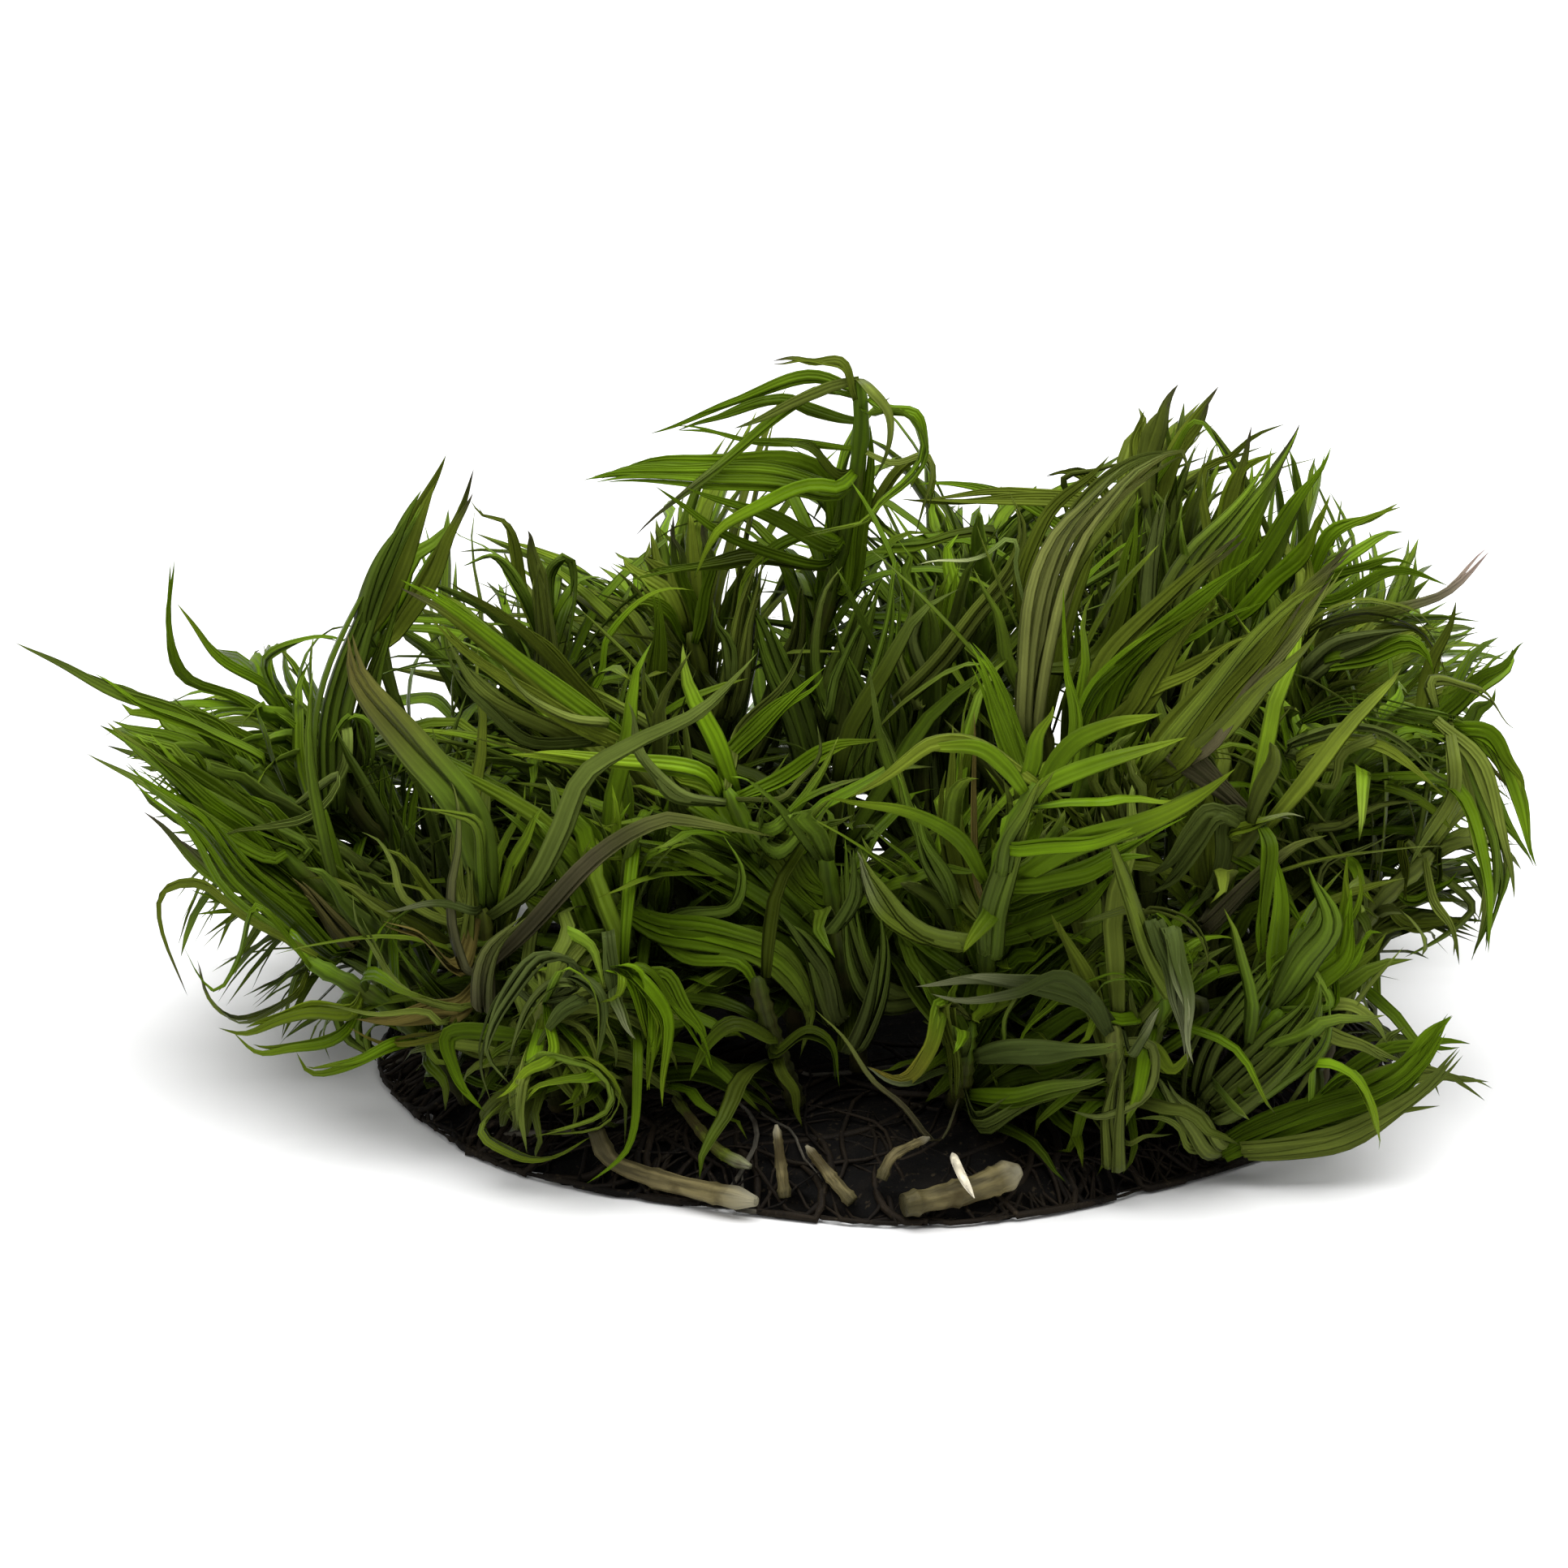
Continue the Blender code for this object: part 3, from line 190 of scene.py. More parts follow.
# Leaf tints: the colour at the base, the colour at the tip, and the share of the length where the tip's
# colour sets in
TINTS = {
    "bright": ("bright", "yellow", 0.55),
    "green": ("green", "bright", 0.5),
    "olive": ("olive", "olive", 1.0),
    "dark": ("dark", "green", 0.5),
    "pale": ("pale", "grey", 0.6),
    "yellow": ("yellow", "yellow", 1.0),
    "lime": ("bright", "yellow", 0.2),
    "grey": ("grey", "grey", 1.0),
    "grey_tip": ("green", "grey", 0.35),
    "pale_tip": ("bright", "pale", 0.45),
    "brown_tip": ("green", "brown", 0.45),
    "purple_tip": ("green", "purple", 0.55),
    "olive_purple": ("olive", "purple", 0.78),
    "withered": ("withered", "pale", 0.5),
    "brown": ("brown", "brown", 1.0),
    "silver": ("ash", "silver", 0.6),
    "ash": ("ash", "grey", 0.7),
    "white_tip": ("yellow", "silver", 0.6),
    "pink_tip": ("pale", "pink", 0.55),
    "orange": ("green", "orange", 0.3),
    "strap": ("strap", "grey", 0.75),
    "star": ("green", "yellow", 0.5),
}

# Every shoot: its name, tone and kind, where it leaves the mat (x, y) and the route of its stem as
# seen (across, up, deep). All in millimetres.
SHOOTS = (
    ("shoot_left_low", "green", "brush", (-26, -11), ((-33, 6.5, -12), (-40, 13.5, -12))),
    ("shoot_left_tip", "green", "plume", (-25, -3), ((-35, 12.5, -4), (-43, 19.5, -4))),
    ("shoot_left_thin", "bright", "droop", (-24, 6), ((-33, 16, 6), (-40, 22.5, 6))),
    ("shoot_left_curls", "bright", "curl", (-26, -17), ((-32, 2.5, -20), (-38, 6, -20))),
    ("shoot_left_upright", "green", "brush", (-21, 2), ((-34, 15, 1), (-36, 22, 1), (-33.5, 28, 1))),
    ("shoot_left_round", "green", "droop", (-17, 10), ((-22, 20, 10), (-22, 28.5, 10))),
    ("shoot_left_inner", "bright", "plume", (-15, 1), ((-18, 15, 0), (-20.5, 22.5, -1))),
    ("shoot_olive_strands", "olive", "brush", (-9, -8), ((-12.5, 14, -11), (-18.5, 21.5, -12))),
    ("shoot_brown_tip", "olive", "plume", (-22, -14), ((-25.5, 5, -18), (-26.3, 9.5, -19))),
    ("shoot_knot", "pale", "curl", (-20, -21), ((-22.3, 0, -26), (-22, 3.2, -28))),
    ("shoot_knot_green", "bright", "droop", (-15.5, -22), ((-16, 1.5, -26), (-17, 5, -27))),
    ("shoot_drooping", "green", "plume", (-13, -14), ((-16.3, 7, -19), (-17.5, 10.5, -20.5))),
    ("shoot_mid_left_front", "bright", "plume", (-5, -14), ((-7.5, 12, -18), (-10, 17.5, -19))),
    ("shoot_mid_left_back", "olive", "plume", (-9, 8), ((-11, 22, 9), (-12.5, 28, 9))),
    ("shoot_top_centre", "bright", "droop", (-2, 7),
     ((-4.3, 24, 6), (-2.2, 34.5, 5), (-1.2, 41, 4), (-1.3, 45, 3.5))),
    ("shoot_centre_left", "green", "plume", (-1, -19), ((-2.5, 8, -22), (-3.5, 13.5, -23))),
    ("shoot_star", "bright", "star", (9, -20), ((7.4, 5.5, -26), (8.3, 13, -28.5), (10.6, 18, -28.5))),
    ("shoot_hooked", "bright", "plume", (4, -16), ((5.6, 6, -21), (4.6, 12, -21))),
    ("shoot_centre_back", "green", "brush", (4, 0), ((3, 17, 0), (3.5, 26, 0))),
    ("shoot_olive_strap", "olive", "brush", (11, -3), ((12, 14, -7), (11, 22, -8), (10, 29, -8))),
    ("shoot_top_right", "dark", "brush", (16, 9), ((18, 27, 9), (18.2, 37.5, 9))),
    ("shoot_right_spikes", "green", "brush", (20, 2), ((22, 20, 3), (23, 29.5, 3))),
    ("shoot_blades", "bright", "brush", (13, -10), ((13, 12, -15), (14.2, 21.5, -16))),
    ("shoot_big_blade", "olive", "brush", (18, -13), ((16.6, 11, -18), (17.5, 18.5, -19))),
    ("shoot_right_upper", "green", "plume", (23, 9), ((25.5, 24, 9), (28, 31, 9))),
    ("shoot_pink_tip", "olive", "plume", (25, 0), ((27.5, 17, -1), (29, 25, -1))),
    ("shoot_right_sweep_high", "green", "plume", (28, -5), ((32.5, 16, -6), (37, 22, -6))),
    ("shoot_right_sweep", "bright", "droop", (26, -11), ((29, 14.5, -13), (34, 22, -14), (38, 22.5, -14))),
    ("shoot_right_lattice", "pale", "droop", (28, -14), ((32, 8, -15), (37, 13.5, -14))),
    ("shoot_right_inner", "olive", "plume", (21, -17), ((22.5, 10, -21), (25.5, 15.5, -22))),
    ("shoot_right_fan", "bright", "brush", (19, -20), ((24, -1, -25), (27, 3, -26))),
    ("shoot_right_low", "pale", "brush", (21, -23.4), ((25.5, -5.6, -25), (29, -3.9, -25.5))),
    ("shoot_right_centre", "bright", "curl", (15, -22), ((18.7, 2, -28), (18.9, 6, -29))),
    ("shoot_low_right", "pale", "plume", (14.6, -27.2), ((16, -1.5, -29.5), (15.8, 2, -30.5))),
    ("shoot_low_centre", "green", "plume", (5, -24), ((5.8, -2, -27), (6.2, 2.2, -27.5))),
    ("shoot_interior", "dark", "plume", (-5, -5), ((-3, 12, -9), (-3, 18, -10))),
    ("shoot_front_dark", "dark", "plume", (-5, -24), ((-7, 1.5, -26), (-8, 5, -26))),
    ("shoot_top_inner", "green", "plume", (7, 8), ((6.4, 23, 9), (7, 31, 9))),
    ("shoot_back_right", "green", "plume", (23, 18), ((30, 21, 24), (33, 26, 29))),
    ("shoot_back_top_right", "olive", "plume", (12, 17), ((15, 27, 20), (16, 34, 22))),
    ("shoot_back_top", "green", "plume", (3, 16), ((5, 26, 19), (6.5, 33, 21))),
    ("shoot_back_top_left", "bright", "plume", (-10, 19), ((-13, 24, 23), (-15, 31, 26))),
    ("shoot_back_left", "green", "droop", (-21, 14), ((-27, 17, 17), (-32, 22, 20))),
    ("shoot_back_low_left", "olive", "droop", (-14, 24), ((-18, 17, 28), (-20, 20, 32))),
    ("shoot_back_far_left", "green", "plume", (-19, 21), ((-24.5, 18, 26), (-28, 22.5, 30))),
    ("shoot_back_low_mid", "bright", "plume", (-5, 27), ((-6.5, 18, 34.5), (-7.5, 22, 39.5))),
    ("shoot_back_low", "green", "droop", (5, 25), ((7, 18.5, 31.5), (8, 22, 36))),
    ("shoot_back_low_right", "green", "droop", (16, 23), ((20, 19, 28), (23, 21, 31))),
)

# Leaves that are told one by one, by shoot. A row holds the tint and the width, then the route from the
# stem out to the tip as seen: across, up and deep at each point.
TOLD_LEAVES = {
    "shoot_left_low": (
        ("pale_tip", 1.6, -42, 14.5, -12.5, -47, 18.5, -13, -51.4, 22, -13.5),
        ("grey_tip", 1.5, -41, 13, -13, -47, 16.5, -14.5, -52.8, 20, -15),
        ("purple_tip", 1.5, -38, 9.5, -13, -44.5, 12, -14.5, -49, 16, -15),
    ),
    "shoot_left_tip": (
        ("grey_tip", 1.2, -46, 22.2, -4.5, -51, 24, -5, -57.7, 27.3, -6),
        ("green", 1.2, -44, 21.5, -3, -49, 23.2, -3, -53.6, 25.4, -3),
    ),
    "shoot_left_thin": (
        ("green", 0.9, -43, 23.6, 5.5, -46.4, 25, 5, -47.5, 29, 5, -47.1, 32.8, 5),
        ("bright", 0.9, -41, 24.5, 7, -44.4, 26.6, 7.5, -46.8, 30, 7.5),
        ("green", 1.1, -41, 26, 6, -37.5, 27.6, 6, -34.6, 27, 6),
    ),
    "shoot_left_curls": (
        ("olive_purple", 0.8, -42.4, 9, -20, -45.1, 11.1, -20, -47.6, 10.6, -20, -47.7, 8, -20,
         -46, 3.8, -20),
        ("green", 0.8, -41.3, 9.6, -22, -42.5, 6.3, -22, -43.9, 4, -22, -45.2, 4.9, -22, -46.4, 7, -22),
        ("olive_purple", 0.9, -38.8, 3.6, -21, -42.2, 2, -20.5, -44.4, 3.4, -20.5, -45.3, 5.8, -20.5),
        ("lime", 1.0, -35.5, 1.2, -22, -38.6, 0.2, -23, -41, 0, -23, -42.9, 1.2, -23),
        ("bright", 1.1, -32.2, 0.4, -23, -35, -0.8, -24, -37.6, -1.4, -24, -38.6, -0.2, -24),
    ),
    "shoot_left_upright": (
        ("olive", 2.0, -32.6, 31, 0.5, -30.6, 36, 0, -28.9, 39.9, 0),
        ("olive_purple", 1.7, -32, 28.3, 2, -29, 33.5, 2.4, -26.9, 38.9, 2.6),
        ("green", 1.5, -34.5, 29, -1, -32.8, 33.4, -1.8, -30.6, 37.6, -2.2),
    ),
    "shoot_left_round": (
        ("olive_purple", 1.3, -22.5, 31, 9, -23.2, 33.6, 8, -23.5, 34.8, 7),
        ("green", 1.3, -22, 31.6, 10.5, -20.9, 33, 10.5, -20.4, 31.6, 10.5, -20.9, 25, 10),
        ("green", 1.0, -23.6, 30.6, 9, -25.6, 33, 8.5, -27.8, 32.4, 8),
        ("olive", 1.0, -23.4, 29.5, 12, -24.6, 34.8, 12.5, -26.4, 35.8, 13, -27.1, 37, 13),
    ),
    "shoot_olive_strands": (
        ("olive_purple", 1.7, -20.3, 22.6, -12.5, -26, 27.4, -14, -31.9, 31.1, -15),
        ("olive", 1.6, -19, 23.4, -11, -23.5, 28, -11.5, -28.5, 31.5, -12),
        ("pale", 1.5, -20.4, 21, -13.5, -25.6, 23.6, -15, -28.9, 27.4, -16),
    ),
    "shoot_brown_tip": (
        ("brown_tip", 2.7, -26.3, 12.5, -19.5, -27.5, 16.4, -20.5, -31, 20.6, -21.5, -34.6, 24.8, -22,
         -35.3, 27.9, -22),
        ("grey", 1.6, -23, 11, -21, -21.2, 14.4, -22, -19.6, 18.4, -22.5, -15.8, 20.6, -23, -11.9, 22.6, -23,
         -8.1, 26.8, -22.5),
        ("withered", 1.5, -23.5, 7.8, -22, -19.5, 12.2, -24.5, -15, 15.2, -25.5, -12.4, 15.5, -26,
         -6.5, 14.1, -26.5),
        ("brown", 1.7, -27.9, 5.6, -22, -30.5, 7.8, -24, -33, 8.6, -25),
        ("pale", 1.0, -27.6, 10, -17, -28.1, 13.6, -16.5, -27.9, 16, -16),
    ),
    "shoot_knot": (
        ("ash", 1.6, -20.3, 5, -29.5, -18.4, 3.4, -31, -18.6, -1.3, -31.5),
        ("ash", 1.6, -24.5, 4, -28, -26.2, 0.6, -28.5, -25.8, -3.4, -29),
        ("yellow", 1.1, -22.6, -1.2, -30, -19.5, -0.4, -31.8, -17.3, -2.6, -32, -18.6, -5, -31,
         -22.8, -5.6, -30.5),
        ("yellow", 1.4, -26.2, -5, -28, -24, -6.8, -28.5, -21.6, -7, -29, -19, -5.7, -30),
        ("green", 1.5, -28.4, 1.2, -26, -27.9, -1.8, -27, -26.1, -4, -27.8),
    ),
    "shoot_knot_green": (
        ("bright", 1.5, -15, 4, -28.5, -14.7, 1, -29.5, -15.3, -2.6, -30),
        ("green", 1.5, -14, 5, -26, -12.2, 2, -27, -10.8, -1.1, -27.5),
        ("ash", 1.2, -17.9, 8, -27.5, -17.4, 4, -29.4, -15.9, 0.8, -30.5),
    ),
    "shoot_drooping": (
        ("pale_tip", 2.5, -14.5, 8.4, -22, -11, 7.9, -23.5, -6.6, 6.3, -24.5, -4.4, 3, -25, -5, -0.4, -25),
        ("green", 1.3, -13, 9, -21, -9.7, 9.6, -22, -9, 12.2, -22.5, -10.2, 14.5, -22.5),
        ("green", 1.4, -13, 6.6, -23, -9, 5.8, -25.5, -7.2, 1.9, -26.5),
    ),
    "shoot_mid_left_front": (
        ("lime", 1.5, -12, 18.7, -19.5, -18.4, 19.5, -20, -24.8, 19.8, -20),
        ("grey", 1.2, -13.4, 17.2, -21, -15.6, 19.8, -22, -16.8, 23.3, -22.5),
        ("bright", 1.5, -6, 18.5, -19, -2.6, 20.6, -19.5, 0.5, 20.8, -20),
    ),
    "shoot_mid_left_back": (
        ("lime", 1.1, -14, 29.4, 8, -16, 30, 7.5, -18.1, 27.4, 7),
        ("purple_tip", 1.2, -13, 31.6, 9, -13.6, 34.2, 9, -13.9, 35.9, 9),
        ("purple_tip", 1.2, -11.5, 31, 9, -11.4, 33.6, 9, -12, 36.2, 9),
    ),
    "shoot_top_centre": (
        ("purple_tip", 1.2, -4.4, 44.1, 3, -9.8, 40, 2, -16.3, 34.4, 1),
        ("olive_purple", 0.9, -2.4, 46, 3, -4.6, 46.2, 3, -7.1, 46.3, 3),
        ("green", 1.1, -4.6, 45.2, 5, -9.2, 43.7, 6, -15.4, 41.4, 7),
        ("green", 1.7, -4, 38.9, 4, -10.1, 39.5, 3, -15, 39.2, 2.5, -19.7, 38.1, 2),
        ("green", 1.4, -4.5, 37.5, 5, -7.3, 36.7, 5, -10, 35.2, 4.5, -12.4, 31.6, 4),
        ("bright", 1.1, 0.6, 43, 2.5, 2.4, 42.6, 2, 3.1, 40.6, 2, 2.2, 37.6, 1.5),
        ("olive", 1.0, 1, 38.5, 5, 3.2, 39.8, 5, 3.7, 38, 5, 2.7, 35, 5),
        ("bright", 1.2, -4.3, 34.7, 3.5, -8.1, 32.8, 3, -9.8, 29, 2.5),
    ),
    "shoot_star": (
        ("star", 1.6, 11.6, 18, -30, 15.7, 19.6, -31, 20.7, 21.2, -31),
        ("star", 1.5, 12.9, 20.6, -28.5, 15.5, 21.8, -28.5, 19, 22.8, -28.5),
        ("star", 1.5, 10.6, 20.5, -28, 11, 22, -28, 11.8, 23.2, -28),
        ("star", 1.3, 8.6, 19, -28.5, 6.4, 20.4, -28.5, 2.5, 20.5, -28),
        ("star", 1.3, 5.4, 14.4, -30, 2, 16.1, -31, -3.3, 17, -31),
        ("star", 2.0, 13.7, 14.2, -31, 19.9, 16.2, -32, 23.8, 19.2, -32),
        ("green", 1.3, 12.2, 11.4, -29.5, 15, 12.4, -30.5, 18.4, 13.4, -31),
        ("star", 1.6, 7.6, 9.6, -29.5, 6.9, 8.4, -30.5, 5.9, 6.6, -31.5),
    ),
    "shoot_hooked": (
        ("white_tip", 1.6, 3.3, 7.6, -24, 0.6, 9.2, -25, -0.7, 11.3, -25, -1.2, 13.6, -25),
        ("bright", 1.3, 3.3, 14, -22, 2, 16.6, -22.5, 1.2, 19, -23),
        ("grey_tip", 1.2, 2.4, 15.6, -19, 0.6, 20.4, -18, -0.8, 25.8, -18),
    ),
    "shoot_olive_strap": (
        ("pale", 1.6, 10.9, 32, -8.5, 13.5, 36.6, -9, 17, 39.6, -9, 20, 40.4, -9),
        ("olive", 1.5, 12.2, 30.8, -9.5, 14.8, 35.2, -11, 18, 38.2, -11.5),
        ("olive", 1.4, 9.6, 32, -7, 11.8, 36.4, -6.5, 15.6, 40, -6),
    ),
    "shoot_top_right": (
        ("olive_purple", 1.9, 18, 40, 8.6, 18.8, 42.4, 8.2, 20.1, 44.8, 8),
        ("olive_purple", 1.7, 19.6, 39.6, 9.4, 21.4, 42.6, 9.8, 22.7, 44.7, 10),
        ("olive", 1.4, 17.3, 39.6, 10, 17.2, 41.2, 10.5, 17.9, 43, 11),
    ),
    "shoot_right_spikes": (
        ("purple_tip", 1.7, 23.6, 32.6, 3, 26, 37.6, 3, 28.1, 42.2, 3),
        ("green", 1.6, 24.6, 32, 4, 28, 36.8, 5, 30.3, 40.6, 5.5),
        ("olive_purple", 1.5, 23, 33, 4.4, 24, 38, 5, 25.1, 42, 5.5),
        ("bright", 1.5, 25.2, 30.4, 2, 28.6, 34, 1.4, 30.2, 37.5, 1),
    ),
    "shoot_blades": (
        ("green", 2.0, 16.5, 25.6, -17, 21, 29.8, -18, 25.7, 33.7, -18.5),
        ("olive_purple", 1.8, 15, 25.8, -15.5, 19.4, 30.4, -15.5, 24.4, 34.8, -15.5),
        ("olive", 1.6, 16.8, 23.4, -16.5, 22.4, 26.6, -17, 27, 29.2, -17.5),
    ),
    "shoot_big_blade": (
        ("olive_purple", 2.5, 19.6, 21.2, -20, 26, 27.6, -21, 31.9, 34, -21.5),
        ("olive", 1.8, 19.8, 19, -21, 25.4, 24.2, -22.8, 29.4, 28.6, -23.5),
    ),
    "shoot_right_upper": (
        ("bright", 1.3, 30, 34.4, 9, 32.6, 35.8, 9, 34.9, 36.7, 9),
        ("green", 1.3, 30.8, 32, 8, 33.4, 32.8, 7.6, 35.9, 32.6, 7.5),
        ("green", 1.3, 30.6, 30.4, 10.5, 34.4, 32.4, 11, 38.1, 31.2, 11),
    ),
    "shoot_pink_tip": (
        ("pink_tip", 1.2, 30, 28.4, -2, 34.5, 29.8, -2.6, 38, 31, -3, 40.8, 33.8, -3),
        ("olive", 1.1, 31.6, 27, -2.4, 35.6, 28.6, -3, 38.1, 25.2, -3.4),
    ),
    "shoot_right_sweep_high": (
        ("green", 1.5, 39, 24, -6.5, 41, 25.6, -7, 43.3, 27.4, -7),
        ("green", 1.4, 39.2, 22.2, -7.4, 40.4, 23.4, -8, 41.2, 24.5, -8.4),
        ("olive", 1.3, 36.6, 24.6, -5, 37.6, 27.4, -4.6, 38.7, 30.3, -4.4),
    ),
    "shoot_right_sweep": (
        ("bright", 1.5, 40.6, 21.4, -14.5, 42.2, 19.4, -15, 43, 17.6, -15),
        ("green", 1.4, 41, 20.4, -13, 43, 16.4, -12.6, 43.8, 12.4, -12.4),
        ("pale", 1.5, 40.2, 19.4, -16, 41.8, 14, -17, 42.2, 10.3, -17),
        ("green", 1.4, 38.4, 18, -17, 40.5, 12, -18, 40.8, 6.8, -18),
        ("olive", 1.4, 37, 25, -13, 40, 24.4, -12, 42.6, 21.6, -11.6),
    ),
    "shoot_right_lattice": (
        ("green", 0.9, 39.4, 13, -13, 40.6, 9.6, -13, 39.6, 6.3, -13),
        ("pale", 0.9, 37, 10.5, -16, 38.2, 8.6, -16.5, 38.7, 6, -17),
    ),
    "shoot_right_fan": (
        ("green", 2.6, 28.3, 6.2, -27, 30, 9, -27.5, 28.7, 12.6, -27.5),
        ("green", 2.2, 29, 4.4, -26.5, 31.4, 7, -26.5, 31.5, 11.2, -26),
        ("green", 1.7, 26.6, 6.6, -25, 27, 10.6, -24.4, 26, 14.2, -24),
    ),
    "shoot_right_low": (
        ("green", 2.8, 31.5, -3.4, -26.5, 35.2, -1.2, -27, 38.3, 2.7, -27),
        ("green", 1.5, 33, 0, -24, 36.4, 0.8, -23, 39.6, 0.6, -22.5),
        ("pale", 1.3, 33, -1.4, -24.5, 37, -1.1, -24, 40.8, -2, -23.5),
        ("bright", 1.2, 31.4, -1.2, -27.5, 32.8, -3.2, -28.6, 33.5, -5.6, -28.6),
    ),
    "shoot_right_centre": (
        ("olive", 1.3, 17.8, 9.4, -29.5, 20.7, 8.8, -30, 22, 6.5, -30.3, 21.4, 4.3, -30.3),
        ("silver", 1.7, 19.4, 8.4, -31, 20.4, 4.2, -32.6, 21, -0.7, -33),
        ("pale_tip", 1.1, 17.6, 9, -30.5, 16.2, 12.6, -31, 15.1, 16.2, -31.2),
    ),
    "shoot_low_right": (
        ("silver", 1.7, 13.7, 3.8, -32, 8, 4.9, -33, 2.7, 4.7, -33.5),
        ("olive", 1.5, 14.2, 4.6, -30.5, 12.9, 7.2, -30.5, 11.8, 9.4, -30.5),
        ("silver", 1.1, 17, 0, -32, 18, 1.6, -32.4, 18.9, 3, -32.6),
    ),
    "shoot_low_centre": (
        ("ash", 2.0, 9.4, 0.2, -29, 12.8, 0.2, -30, 16.2, 0.6, -30.5),
        ("orange", 1.3, 4.4, 3.2, -29, 3.6, 0.4, -30.6, 2, -1.8, -31, -0.6, -0.8, -31),
        ("grey_tip", 1.6, 8.8, -3, -29, 11.8, -2.4, -30, 15.4, -1.6, -30.5),
    ),
    "shoot_back_top_right": (
        ("green", 1.2, 12.6, 35, 21, 7.4, 37.8, 20.5, 2.4, 37.9, 20),
        ("olive", 1.2, 15.4, 37, 22, 13.6, 38.8, 22, 11.2, 38.6, 22),
    ),
    "shoot_back_low_mid": (
        ("bright", 1.3, -8, 23, 43, -8.6, 22.8, 48, -9.4, 21.5, 52.6),
        ("lime", 1.2, -5, 22.6, 42.5, -3, 22.4, 47, -1.6, 21, 51),
    ),
    "shoot_back_low": (
        ("pale_tip", 1.2, 8.8, 22.6, 39.5, 10.4, 22.8, 44, 12.6, 22, 48.6),
    ),
    "shoot_back_far_left": (
        ("green", 1.2, -29.6, 23.4, 33.5, -32, 23.4, 37.5, -34.6, 22.6, 41),
    ),
}

